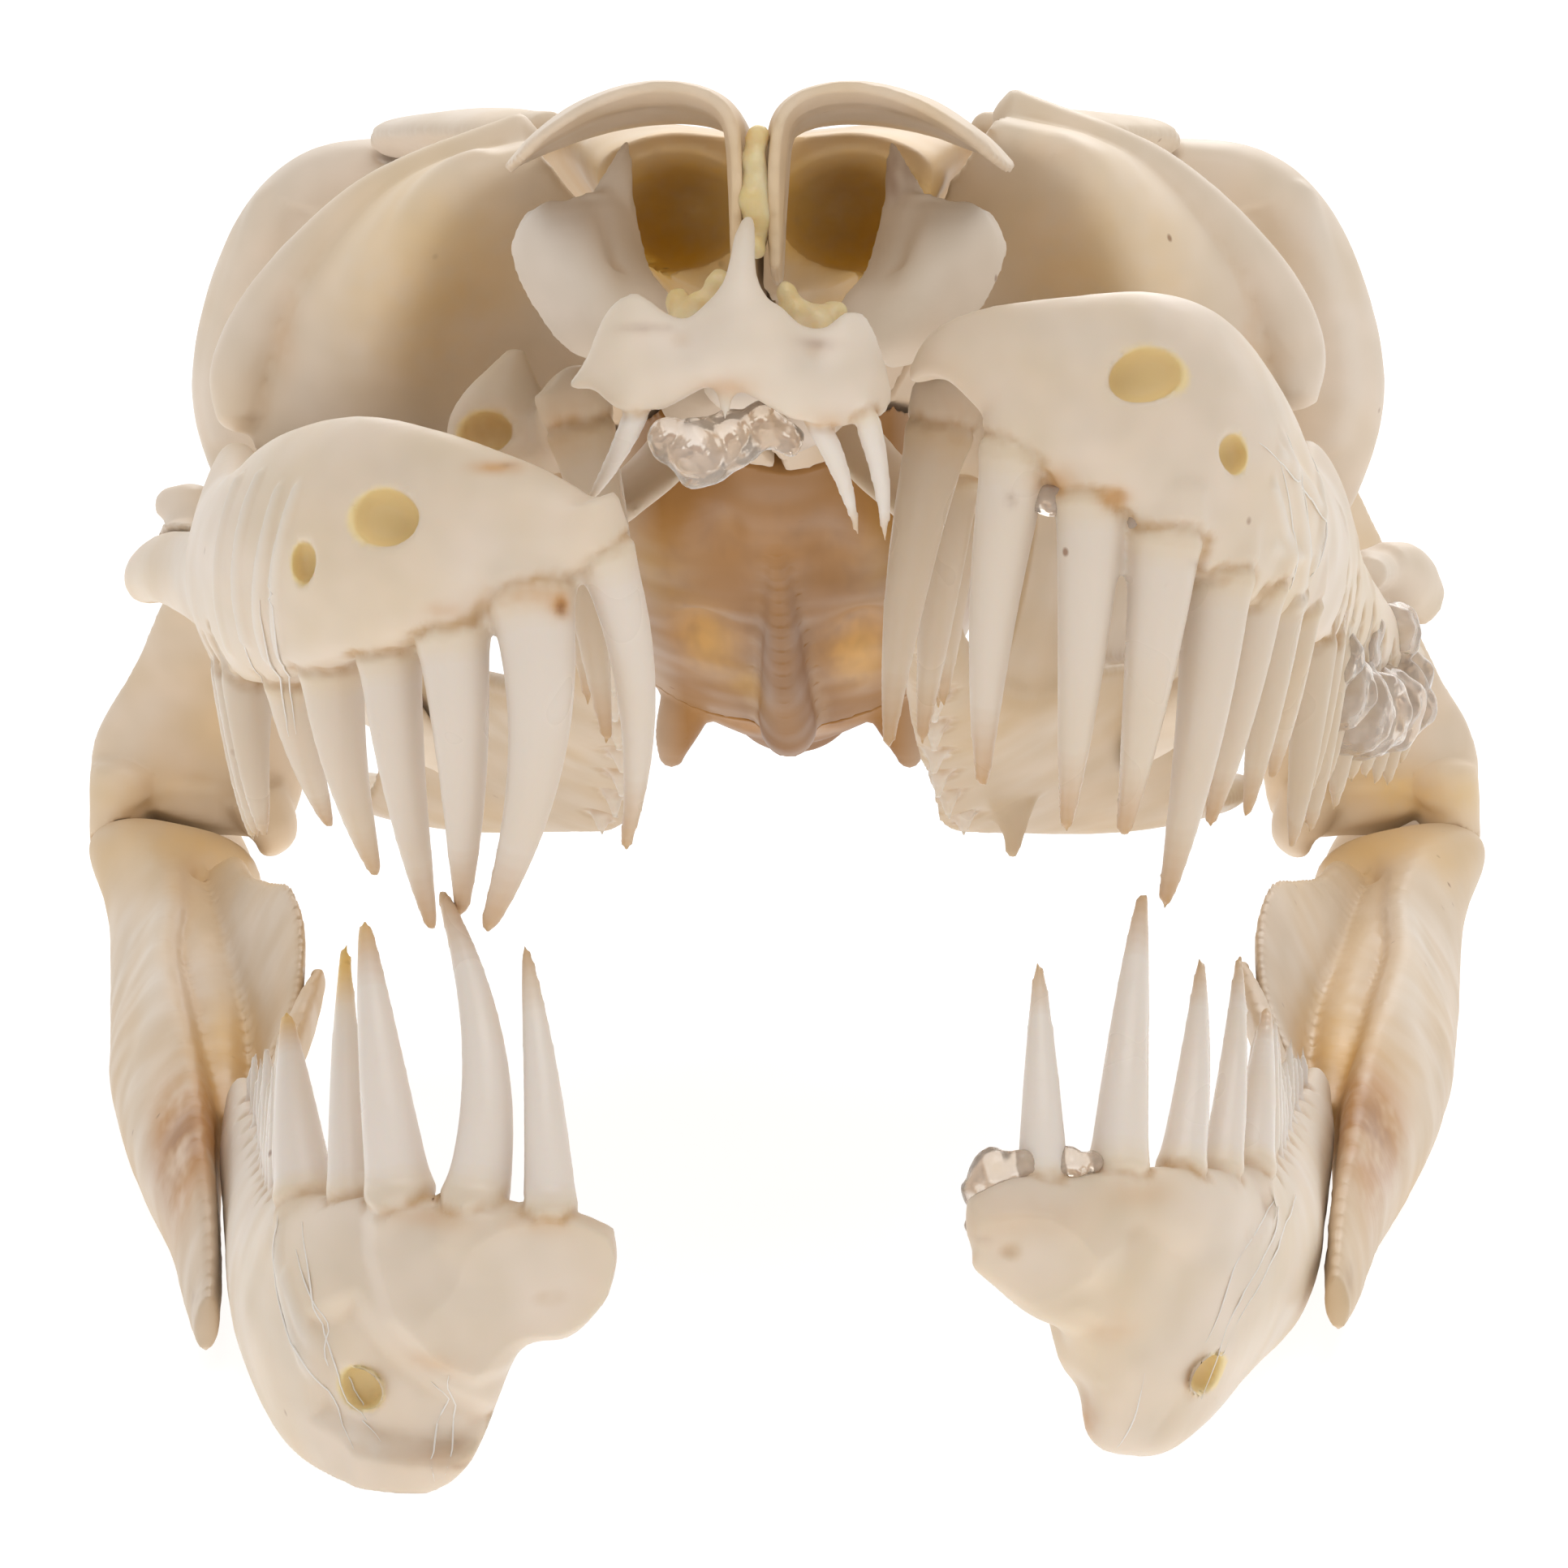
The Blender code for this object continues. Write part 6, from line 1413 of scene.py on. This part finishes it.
DENTARY_FANGS = {
    LEFT: [
        ((10.8, -0.3, 10.4), (10.7, 4.9, 18.2), 0.0, 1.0), ((13.6, 1.0, 10.6), (14.7, 8.3, 20.4), -0.1, 1.15),
        ((16.0, 3.5, 10.2), (17.0, 10.9, 17.4), 0.1, 0.95), ((17.6, 6.4, 9.6), (18.6, 13.9, 17.2), 0.1, 0.85),
        ((18.9, 10.0, 9.2), (19.8, 16.6, 14.6), 0.0, 0.95),
    ],
    RIGHT: [
        ((8.6, -0.8, 10.4), (9.7, 5.1, 19.9), -0.2, 1.05), ((11.5, 0.1, 10.7), (13.0, 7.3, 21.7), -1.1, 1.25),
        ((14.2, 1.4, 10.7), (15.8, 7.2, 20.5), 0.0, 1.3), ((16.2, 4.1, 10.0), (16.8, 12.0, 18.8), 0.0, 0.95),
        ((18.1, 8.0, 9.4), (19.2, 14.5, 15.6), 0.0, 1.25),
    ],
}
DENTARY_DETAILS = {
    LEFT: dict(
        dishes=[(17.1, 2.7, 0.75, 0.8, 0, 1.3)],
        swells=[([(7.6, 10.6), (11.2, 10.2), (13.4, 8.4), (12.8, 6.0), (10.6, 5.4), (8.0, 6.6)], 6.0,
                 (0.0, -0.7, 0.0), 1.4),
                ([(15.3, 8.2), (19.4, 8.2), (18.6, 4.6), (17.6, 1.2), (15.2, 1.2), (14.6, 4.4)], 9.0,
                 (0.0, 0.9, 0.0), 2.0)],
        dents=[((11.8, 0.0, 2.2), (1.0, 2.0, 1.3), (0.4, 0.8, 0.3)),
               ((12.5, -1.5, 7.0), (1.2, 2.0, 1.0), (0, 0.5, 0)),
               ((9.6, -2.4, 8.6), (0.8, 1.5, 0.6), (0, 0.4, 0)), ((14.6, -1.2, 8.8), (1.0, 2.0, 0.9), (0, 0.4, 0))],
        stains=[((10.2, -1.6, 9.6), (2.4, 2.0, 0.9), 0.35), ((12.2, 0.2, 1.6), (0.7, 1.5, 1.2), 0.7),
                ((13.4, -1.4, 5.4), (1.2, 2.0, 0.7), 0.25), ((15.2, -0.6, 10.2), (2.6, 2.0, 0.6), 0.3)],
        rusts=[((8.6, -2.0, 9.0), (0.4, 1.0, 0.2), 0.6), ((12.0, 0.4, 1.0), (0.3, 1.0, 0.5), 0.6)],
        ridges=[([(8.1, -2.2, 8.4), (10.1, -2.4, 7.0), (12.2, -1.8, 5.2), (13.1, -1.2, 2.9)], 0.5, 0.35, 0.0),
                ([(20.5, 11.5, 7.1), (19.8, 6.4, 6.2), (18.8, 3.4, 4.3), (17.4, 3.2, 2.2)], 0.3, 0.22, 0.7),
                ([(20.0, 10.1, 8.0), (19.3, 5.0, 6.5), (18.0, 1.8, 4.7), (16.4, 0.6, 1.8)], 0.35, 0.3, 0.5)],
        threads=[[(21.2, 18.1, 6.8), (20.4, 9.0, 6.3), (19.3, 4.5, 4.7), (18.0, 3.4, 2.8)],
                 [(20.6, 12.0, 7.6), (19.8, 6.4, 6.4), (18.8, 3.4, 4.6), (17.4, 3.2, 1.6)],
                 [(20.0, 10.1, 8.4), (19.0, 4.0, 6.8), (17.6, 1.8, 4.0)],
                 [(15.1, -1.0, 3.4), (14.3, -0.6, 1.6), (13.6, 0.2, 0.6)]]),
    RIGHT: dict(
        ambers=[((16.8, 11.5, 17.8), (1.0, 3.0, 2.2), 0.75), ((15.8, 7.0, 20.4), (0.8, 2.0, 1.4), 0.35),
                ((19.2, 14.4, 15.4), (0.9, 2.0, 1.6), 0.5)],
        dishes=[(15.7, 3.9, 0.85, 0.85, 0, 1.1)],
        swells=[([(15.5, 11.3), (15.3, 9.0), (14.6, 6.9), (13.1, 5.6), (11.3, 4.7), (9.8, 5.0), (8.5, 5.9),
                  (6.3, 7.2), (5.6, 9.6), (7.4, 11.5)], 6.0, (0.0, -0.8, 0.0), 0.9),
                ([(17.6, 6.2), (15.9, 7.3), (14.4, 5.4), (12.3, 3.9), (10.6, 3.0), (12.0, 1.6), (15.0, 1.9),
                  (17.4, 2.6)], 8.0, (0.0, 0.8, 0.0), 1.2),
                ([(16.2, 1.6), (13.8, 1.5), (11.0, 1.9), (11.2, -0.6), (16.2, -0.6)], 8.0, (0.0, -0.4, 0.0), 0.6)],
        dents=[((8.6, -2.0, 8.0), (1.3, 2.0, 0.8), (0.0, 0.5, 0.0)),
               ((12.4, -2.2, 8.4), (2.0, 2.0, 1.2), (0, 0.3, 0))],
        stains=[((13.0, -2.0, 5.4), (1.6, 2.0, 0.6), 0.3), ((9.0, -1.6, 10.6), (1.6, 2.0, 0.5), 0.4),
                ((12.9, -1.4, 10.7), (2.0, 2.0, 0.5), 0.35), ((12.6, -0.8, 1.4), (2.2, 2.0, 0.5), 0.3)],
        rusts=[((12.0, -1.0, 1.2), (0.9, 1.0, 0.15), 0.4)],
        ridges=[([(18.8, 4.4, 7.7), (18.0, 1.8, 5.8), (16.8, 0.3, 3.6), (14.9, -0.3, 1.6)], 0.3, 0.28, 0.7),
                ([(19.2, 7.1, 9.0), (18.7, 3.5, 6.6), (17.6, 1.2, 4.0), (15.8, 0.1, 2.0)], 0.3, 0.28, 0.7)],
        threads=[[(18.3, 3.9, 8.4), (17.3, 1.0, 6.5), (16.6, 1.8, 4.6), (14.9, 0.4, 1.6)],
                 [(19.2, 7.1, 9.2), (18.9, 4.5, 7.2), (17.9, 1.6, 4.6), (16.0, 0.1, 1.6)],
                 [(18.6, 4.4, 9.6), (17.8, 1.8, 7.6), (17.2, 0.8, 5.2), (15.6, 0.2, 2.6)],
                 [(12.4, -2.0, 4.9), (12.6, -1.8, 3.6), (12.2, -1.2, 2.6), (12.5, -1.0, 0.8)],
                 [(13.2, -1.6, 4.4), (12.7, -1.6, 3.2), (13.1, -1.2, 2.0), (12.9, -1.0, 0.4)]]),
}


def make_dentary(side):
    stations, front = DENTARY_TIP[side] + DENTARY, DENTARY_FANGS[side]
    forms = [blade(stations, side=side)]
    forms += front_teeth(front, side)
    count = TEETH["dentary"] - len(front)
    forms.append(tooth_row(edge_line(stations, 0, (6.9, 10.3)), count, (5.6, 1.8), (0.85, 0.42),
                           (0.1, 0.75, 1), -0.6, side, 8 + side))
    make_bone(sided("dentary", side), forms, sided("jaw", side), side, cell=0.19,
              **DENTARY_DETAILS[side])


SURANGULAR = [
    (22.7, 20.0, 3.2, 22.9, 20.0, 0.9, 0.3, 0.5, 0.4), (23.4, 29.0, 4.4, 23.8, 29.0, 0.1, 0.5, 0.8, 0.7),
    (24.5, 40.0, 5.2, 24.9, 40.0, -0.3, 0.7, 1.1, 1.0), (25.4, 50.0, 5.8, 26.4, 50.0, -0.4, 0.8, 1.7, 1.4),
    (26.5, 60.0, 6.2, 27.7, 60.0, -0.5, 0.9, 2.1, 1.8), (27.8, 71.0, 6.5, 28.9, 71.0, -0.5, 1.0, 2.3, 2.0),
    (29.0, 82.0, 6.6, 30.0, 82.0, -0.6, 1.0, 2.0, 2.0), (29.5, 94.0, 7.2, 31.2, 94.0, -0.4, 1.0, 2.0, 2.0),
    (30.4, 103.0, 7.8, 31.6, 103.0, 1.6, 1.8, 2.4, 2.0),
    (30.3, 108.6, 8.2, 31.4, 109.0, 2.6, 4.8, 4.0, 2.6),
    (30.2, 112.0, 6.9, 31.6, 112.0, 2.6, 5.0, 4.2, 2.6),
    (30.4, 116.4, 8.3, 31.8, 116.4, 3.0, 3.2, 3.2, 2.2),
    (31.4, 121.0, 6.8, 32.0, 121.0, 4.2, 1.0, 1.4, 1.0),
]
PREARTICULAR = [
    (22.4, 52.0, 6.4, 23.4, 52.0, 1.8, 0.4, 0.6, 0.5), (21.6, 60.0, 8.0, 23.8, 60.0, 0.9, 0.5, 0.8, 0.9),
    (21.7, 67.0, 9.8, 24.8, 67.0, 0.5, 0.5, 0.9, 1.2), (22.6, 74.0, 10.6, 26.0, 74.0, 0.5, 0.5, 0.9, 1.3),
    (23.9, 82.0, 9.6, 27.4, 82.0, 0.5, 0.5, 0.9, 1.4), (25.5, 92.0, 8.2, 28.8, 92.0, 0.8, 0.6, 1.0, 1.5),
    (27.0, 104.0, 7.2, 29.6, 104.0, 2.4, 0.9, 1.4, 1.5),
]


def make_compound(side):
    """The surangular wall and the taller prearticular crest, with the muscle's trough between them."""
    forms = [blade(SURANGULAR, rings=140, side=side), blade(PREARTICULAR, side=side)]
    forms.append(bar([(24.2, 53.0, 3.0, 0.7, 1.1), (25.1, 62.0, 3.9, 1.3, 1.5), (25.9, 72.0, 4.5, 1.6, 1.7),
                      (27.0, 82.0, 4.7, 1.6, 1.7), (28.2, 92.0, 4.9, 1.5, 1.6), (29.4, 101.0, 5.4, 1.2, 1.4)],
                     side=side))
    make_bone(sided("compound", side), forms, sided("jaw", side), side, rounds=5, pale=0.4,
              dull=(0.45, 0.0),
              ridges=[([(29.8, 94.9, 7.0), (29.2, 79.3, 6.5), (28.2, 66.8, 5.7), (28.0, 61.5, 4.0),
                        (27.1, 51.0, 2.8), (24.9, 34.0, 2.6)], 1.1, 0.3, 0.45)],
              ambers=[((24.9, 62.0, 5.4), (2.2, 12, 2.6), 0.55), ((30, 106, 7), (5, 6, 3), 0.4),
                      ((23.0, 84.0, 9.0), (1.6, 6, 2.0), 0.2)],
              stains=[((25.6, 43.5, 4.6), (2.4, 14.0, 2.6), 1.8),
                      ((24.4, 60.0, 6.4), (1.0, 3.0, 1.0), 0.4)],
              rusts=[((25.6, 43.5, 4.6), (1.6, 8.0, 1.8), 0.6),
                     ((25.4, 58.0, 5.6), (0.5, 2.0, 0.4), 0.5), ((23.4, 24.0, 2.6), (0.5, 6.0, 0.7), 0.4)])


def make_inner_jaw(side):
    """The three thin bones on the inner face of the lower jaw."""
    tables = {
        "splenial": [(16.4, 14.0, 4.0, 0.7, 1.2), (18.2, 25.0, 3.8, 0.8, 2.2), (20.2, 37.0, 3.4, 0.7, 1.4)],
        "angular": [(20.4, 37.8, 3.0, 0.6, 1.2), (21.6, 48.0, 2.8, 0.9, 1.9), (22.4, 59.0, 2.8, 0.5, 0.9)],
        "coronoid": [(21.9, 48.0, 6.0, 0.5, 0.8, 15), (21.4, 56.0, 6.8, 0.7, 1.5, 15),
                     (21.0, 64.0, 7.8, 0.5, 1.0, 15)],
    }
    for stem, rows in tables.items():
        make_bone(sided(stem, side), [bar(rows, side=side)], sided("jaw", side), side)


# Glue

GLUE = {  # lumps of set glue and dried tissue: finish, drawing, and where each ball lies with its radius
    "glue_snout": ("clear_glue", "cranium", [
        ((-2.9, 2.9, -0.9), 1.0), ((-1.9, 2.6, -1.2), 1.35), ((-0.8, 2.6, -0.9), 1.2), ((0.3, 2.8, -0.4), 0.9),
        ((1.3, 3.2, -0.7), 0.7)]),
    "glue_tooth": ("clear_glue", "cranium", [
        ((10.9, 2.4, -3.0), 0.65), ((12.0, 1.9, -2.7), 0.6), ((13.2, 1.9, -3.0), 0.6), ((14.2, 2.6, -3.8), 0.65)]),
    "glue_rear": ("clear_glue", "cranium", [
        ((22.8, 36.0, -4.4), 1.6), ((23.4, 39.0, -5.2), 1.8), ((24.2, 42.0, -5.6), 2.0), ((25.0, 45.0, -5.4), 2.1),
        ((25.8, 48.0, -4.8), 2.0), ((26.6, 51.0, -4.0), 1.8), ((24.2, 43.0, -2.6), 1.6), ((27.2, 54.0, -2.8), 1.5),
        ((26.6, 50.0, -1.2), 1.3)]),
    "glue_chin": ("clear_glue", "jaw_l", [
        ((8.5, -0.7, 10.2), 0.8), ((9.0, -0.5, 11.0), 0.9), ((9.9, -0.5, 11.2), 0.7), ((10.9, -0.6, 11.0), 0.6),
        ((11.8, -0.2, 11.3), 0.7), ((12.6, 0.2, 11.3), 0.5), ((8.3, -1.0, 9.2), 0.6)]),
    "tissue_septum": ("dried_tissue", "cranium", [
        ((0.0, 5.8, 7.2), 0.62), ((0.1, 5.6, 8.0), 0.55), ((-0.1, 5.5, 8.8), 0.6), ((0.1, 5.4, 9.6), 0.5),
        ((0.0, 5.3, 10.4), 0.55), ((0.0, 5.4, 11.2), 0.5)]),
    "tissue_right": ("dried_tissue", "cranium", [
        ((-1.7, 6.6, 4.9), 0.8), ((-2.5, 6.8, 4.6), 0.7), ((-1.4, 6.4, 5.9), 0.55), ((-3.0, 7.2, 5.4), 0.5)]),
    "tissue_left": ("dried_tissue", "cranium", [
        ((1.5, 6.6, 4.6), 0.7), ((2.3, 6.8, 4.3), 0.75), ((1.2, 6.4, 5.5), 0.5), ((3.0, 7.2, 4.9), 0.5)]),
}


def make_glue(name, finish, drawing, balls):
    """One lump of glue or tissue: balls run together, swollen here and there and smoothed."""
    forms = []
    for centre, radius in balls:
        stations = [(*(np.array(centre) + (0, dy * radius, 0)), radius * w, radius * w)
                    for dy, w in ((-0.9, 0.45), (-0.5, 0.87), (0, 1), (0.5, 0.87), (0.9, 0.45))]
        forms.append(bar(stations, dome=0.3, rings=18))
    obj = form_object(name, forms)
    regrain(obj, 0.16)
    run_tree(obj, "Bone relief", Swelling=1.4, Swelling_Size=1.3, Grain=0.0, Seed=float(len(balls)))
    set_points(obj.data, averaged(points_of(obj.data), edges_of(obj.data), 5))
    set_finish(obj, finish)
    finish_piece(obj, name, drawing, [])


# Stage

def make_sweep(tone, glow):
    """The floor and the backdrop as one pale sheet that curves up behind the skull."""
    width, depth, height, bend = 1.6, 0.9, 1.1, 0.35
    profile = [(-1.2, 0.0), (depth - bend, 0.0)]
    for step in range(1, 17):
        angle = step / 16 * math.pi / 2
        profile.append((depth - bend + bend * math.sin(angle), bend * (1 - math.cos(angle))))
    profile.append((depth, height))
    points, faces = [], []
    for x in (-width, width):
        points += [(x, y, z) for y, z in profile]
    count = len(profile)
    for i in range(count - 1):
        faces.append((i, count + i, count + i + 1, i + 1))
    mesh = bpy.data.meshes.new("sweep")
    mesh.from_pydata(points, [], faces)
    mesh.polygons.foreach_set("use_smooth", [True] * len(mesh.polygons))
    obj = new_object("sweep", mesh)
    paper = bpy.data.materials.new("white_paper")
    paper.use_nodes = True
    shader = paper.node_tree.nodes["Principled BSDF"].inputs
    shader["Base Color"].default_value = (tone, tone, tone, 1)
    shader["Roughness"].default_value = 0.9
    shader["Specular IOR Level"].default_value = 0.0
    shader["Emission Color"].default_value = (1, 1, 1, 1)
    shader["Emission Strength"].default_value = glow
    mesh.materials.append(paper)


def make_lamp(name, place, target, size, power, colour=(1, 1, 1)):
    lamp = bpy.data.lights.new(name, "AREA")
    lamp.shape = "DISK"
    lamp.size = size
    lamp.energy = power
    lamp.color = colour
    obj = bpy.data.objects.new(name, lamp)
    obj.location = place
    obj.rotation_euler = (Vector(target) - Vector(place)).to_track_quat("-Z", "Y").to_euler()
    bpy.context.scene.collection.objects.link(obj)


def make_camera(place, pitch, lens):
    camera = bpy.data.cameras.new("camera")
    camera.lens = lens
    camera.sensor_width = 36
    camera.clip_start = 0.01
    obj = bpy.data.objects.new("camera", camera)
    obj.location = place
    obj.rotation_euler = (pitch, 0, 0)
    bpy.context.scene.collection.objects.link(obj)
    bpy.context.scene.camera = obj


def light_world(tone, power):
    world = bpy.data.worlds.new("studio")
    world.use_nodes = True
    sky = world.node_tree.nodes["Background"].inputs
    sky["Color"].default_value = (*tone, 1)
    sky["Strength"].default_value = power
    bpy.context.scene.world = world


# Settings

def colour_property(name, description, default):
    return bpy.props.FloatVectorProperty(name=name, description=description, subtype="COLOR", size=3, min=0,
                                         max=1, default=default)


class BoneSettings(bpy.types.PropertyGroup):
    cell: bpy.props.FloatProperty(
        name="Surface cell", description="Size of the cells that each bone's surface is made of",
        default=0.00022, min=0.0001, max=0.001, precision=5, unit="LENGTH")
    suture: bpy.props.FloatProperty(
        name="Suture", description="Gap left between two bones", default=0.0003, min=0.0001, max=0.001,
        precision=5, unit="LENGTH")
    grain: bpy.props.FloatProperty(
        name="Grain", description="Height of the fine grain of the bone", default=0.00003, min=0, max=0.0003,
        precision=5, unit="LENGTH")


class ToneSettings(bpy.types.PropertyGroup):
    toothed: colour_property("Toothed bone", "Jaw and palate bone", (0.80, 0.665, 0.53))
    toothed_patch: colour_property("Toothed patches", "Yellower patches of it", (0.80, 0.64, 0.46))
    roof: colour_property("Roof bone", "Bone of the roof, brow and rear jaw", (0.79, 0.62, 0.45))
    roof_patch: colour_property("Roof patches", "Yellower patches of it", (0.78, 0.55, 0.31))
    # Deep bone: the bone's colour darkened as painted shade, for the bones that lie in the shadow of the mouth and
    # nose
    deep: colour_property("Deep bone", "Bone of the palate's depth and the nose", (0.38, 0.19, 0.065))
    deep_patch: colour_property("Deep patches", "Browner patches of it", (0.27, 0.115, 0.025))
    ivory: colour_property("Ivory", "Middle of the teeth", (0.86, 0.76, 0.67))
    root: colour_property("Tooth root", "Foot of the teeth", (0.84, 0.69, 0.50))
    tip: colour_property("Tooth tip", "Amber tips", (0.66, 0.42, 0.22))
    # Amber: greasy bone, brightened as a painted glow of light shining through thin bone
    amber: colour_property("Amber", "Greasy bone deep in the nose", (0.97, 0.58, 0.09))
    pale: colour_property("Pale bone", "Whiter bone of the nose and the brow", (0.84, 0.72, 0.60))
    # Bored holes: yellow inner wall brightened as a painted glow of light through the thin bone
    hole: colour_property("Bored holes", "Inner wall of the nerve holes", (0.90, 0.70, 0.36))
    # Creases: grease and dirt, deepened with painted shade in the hollows and in the grooves round the teeth
    crease: colour_property("Creases", "Grease and dirt in the creases", (0.62, 0.41, 0.22))
    stain: colour_property("Stain", "Yellow brown stain", (0.66, 0.33, 0.10))
    rust: colour_property("Rust", "Small dark marks", (0.28, 0.12, 0.05))
    thread: colour_property("Threads", "White fibres on the bone", (0.88, 0.82, 0.75))


class StageSettings(bpy.types.PropertyGroup):
    camera: bpy.props.FloatVectorProperty(
        name="Camera", description="Where the camera stands", subtype="XYZ", unit="LENGTH", size=3,
        default=(0.0, -0.3560, 0.0715))
    pitch: bpy.props.FloatProperty(
        name="Pitch", description="How far the camera is tipped up from straight down", subtype="ANGLE",
        default=math.radians(81.4))
    lens: bpy.props.FloatProperty(
        name="Lens", description="Focal length on a 36 mm sensor, in millimetres", default=187.83, min=20,
        max=400)
    paper: bpy.props.FloatProperty(
        name="Paper", description="How white the floor and backdrop are", subtype="FACTOR", default=0.35,
        min=0, max=1)
    glow: bpy.props.FloatProperty(
        name="Glow", description="Light that the lit paper gives off itself", default=0.85, min=0, max=2)
    sky: bpy.props.FloatProperty(
        name="Sky", description="Strength of the even light all round", default=0.45, min=0, max=3)
    key: bpy.props.FloatProperty(
        name="Key lamp", description="Power of the large lamp above, in watts", subtype="POWER", default=1.2,
        min=0, max=50)


# Operators

class MakeFinishes(bpy.types.Operator):
    """Mix the bone, glue and tissue finishes"""
    bl_idname = "skull.make_finishes"
    bl_label = "Finishes"

    def execute(self, context):
        tone = context.scene.skull_tone
        tones = {name: tuple(getattr(tone, name)) for name in tone.__annotations__}
        for slot, stem, glow, shine, run in (("toothed_bone", "toothed", 0.15, 0.42, (1.0, 0.5, 1.0)),
                                             ("roof_bone", "roof", 0.0, 0.25, (1.0, 0.3, 1.0)),
                                             ("deep_bone", "deep", 0.0, 0.08, (1.0, 0.2, 0.4))):
            old = bpy.data.materials.get(slot)
            if old:
                old.name = slot + "_plain"
            bone_finish(slot, tones[stem], tones[stem + "_patch"], tones, glow, shine, run)
        glue_finish()
        tissue_finish()
        return {"FINISHED"}


class PairOperator:
    """Makes bones of both sides with each of its makers."""
    bl_options = {"REGISTER", "UNDO"}
    both, single = (), ()

    def execute(self, context):
        for maker in self.single:
            maker()
        for side in (LEFT, RIGHT):
            for maker in self.both:
                maker(side)
        return {"FINISHED"}


class MakeSnout(PairOperator, bpy.types.Operator):
    """Make the premaxilla, the nasals, the septomaxillae and the vomers"""
    bl_idname = "skull.make_snout"
    bl_label = "Snout"
    both, single = (make_nasal, make_septomaxilla, make_vomer), (make_premaxilla,)


class MakeBrow(PairOperator, bpy.types.Operator):
    """Make the prefrontals, the supraorbitals and the postorbitals"""
    bl_idname = "skull.make_brow"
    bl_label = "Brow"
    both = (make_prefrontal, make_supraorbital, make_postorbital)


class MakeBraincase(PairOperator, bpy.types.Operator):
    """Make the bones of the braincase and the supratemporals on it"""
    bl_idname = "skull.make_braincase"
    bl_label = "Braincase"
    both, single = (make_supratemporal,), (make_braincase,)


class MakeUpperJaw(PairOperator, bpy.types.Operator):
    """Make the maxillae with their teeth"""
    bl_idname = "skull.make_upper_jaw"
    bl_label = "Upper jaw"
    both = (make_maxilla,)


class MakePalate(PairOperator, bpy.types.Operator):
    """Make the palatines, the pterygoids and the ectopterygoids"""
    bl_idname = "skull.make_palate"
    bl_label = "Palate"
    both = (make_palatine, make_pterygoid, make_ectopterygoid)


class MakeLowerJaw(PairOperator, bpy.types.Operator):
    """Make the dentaries, the compound bones and the small bones inside them"""
    bl_idname = "skull.make_lower_jaw"
    bl_label = "Lower jaw"
    both = (make_dentary, make_compound, make_inner_jaw)


class MakeQuadrates(PairOperator, bpy.types.Operator):
    """Make the quadrates that hang the lower jaw"""
    bl_idname = "skull.make_quadrates"
    bl_label = "Quadrates"
    both = (make_quadrate,)


class MakeGlue(bpy.types.Operator):
    """Make the clear glue that holds the loose teeth and the tissue left in the nose"""
    bl_idname = "skull.make_glue"
    bl_label = "Glue"

    def execute(self, context):
        for name, details in GLUE.items():
            make_glue(name, *details)
        return {"FINISHED"}


class MakeStage(bpy.types.Operator):
    """Make the paper sweep, the lamps and the camera"""
    bl_idname = "skull.make_stage"
    bl_label = "Stage"

    def execute(self, context):
        settings = context.scene.skull_stage
        context.scene.view_settings.view_transform = "Standard"
        paths = context.scene.cycles
        paths.max_bounces, paths.diffuse_bounces, paths.glossy_bounces = 5, 2, 1
        make_sweep(settings.paper, settings.glow)
        light_world((1.0, 1.0, 1.0), settings.sky)
        make_lamp("key", (0.06, -0.25, 0.62), (0, 0, 0.03), 0.5, settings.key)
        make_lamp("back", (0.1, 0.5, 0.45), (0, 0, 0.03), 0.5, settings.key * 1.3)
        make_camera(settings.camera, settings.pitch, settings.lens)
        return {"FINISHED"}


MAKERS = (MakeFinishes, MakeSnout, MakeBrow, MakeBraincase, MakeUpperJaw, MakePalate, MakeLowerJaw,
          MakeQuadrates, MakeGlue, MakeStage)


class SkullPanel(bpy.types.Panel):
    """Lists the pieces of the skull"""
    bl_idname = "VIEW3D_PT_skull"
    bl_label = "Python skull"
    bl_space_type = "VIEW_3D"
    bl_region_type = "UI"
    bl_category = "Skull"

    def draw(self, context):
        for maker in MAKERS:
            self.layout.operator(maker.bl_idname)
        for group in (context.scene.skull_bone, context.scene.skull_tone, context.scene.skull_stage):
            for key in group.__annotations__:
                self.layout.prop(group, key)


SETTINGS = {"skull_bone": BoneSettings, "skull_tone": ToneSettings, "skull_stage": StageSettings}


def register():
    for group in SETTINGS.values():
        bpy.utils.register_class(group)
    for name, group in SETTINGS.items():
        setattr(bpy.types.Scene, name, bpy.props.PointerProperty(type=group))
    for maker in (*MAKERS, SkullPanel):
        bpy.utils.register_class(maker)


def unregister():
    for maker in reversed((*MAKERS, SkullPanel)):
        bpy.utils.unregister_class(maker)
    for name, group in SETTINGS.items():
        delattr(bpy.types.Scene, name)
        bpy.utils.unregister_class(group)


def main():
    """Makes every piece in turn."""
    register()
    for maker in MAKERS:
        group, name = maker.bl_idname.split(".")
        getattr(getattr(bpy.ops, group), name)()


if __name__ == "__main__":
    main()
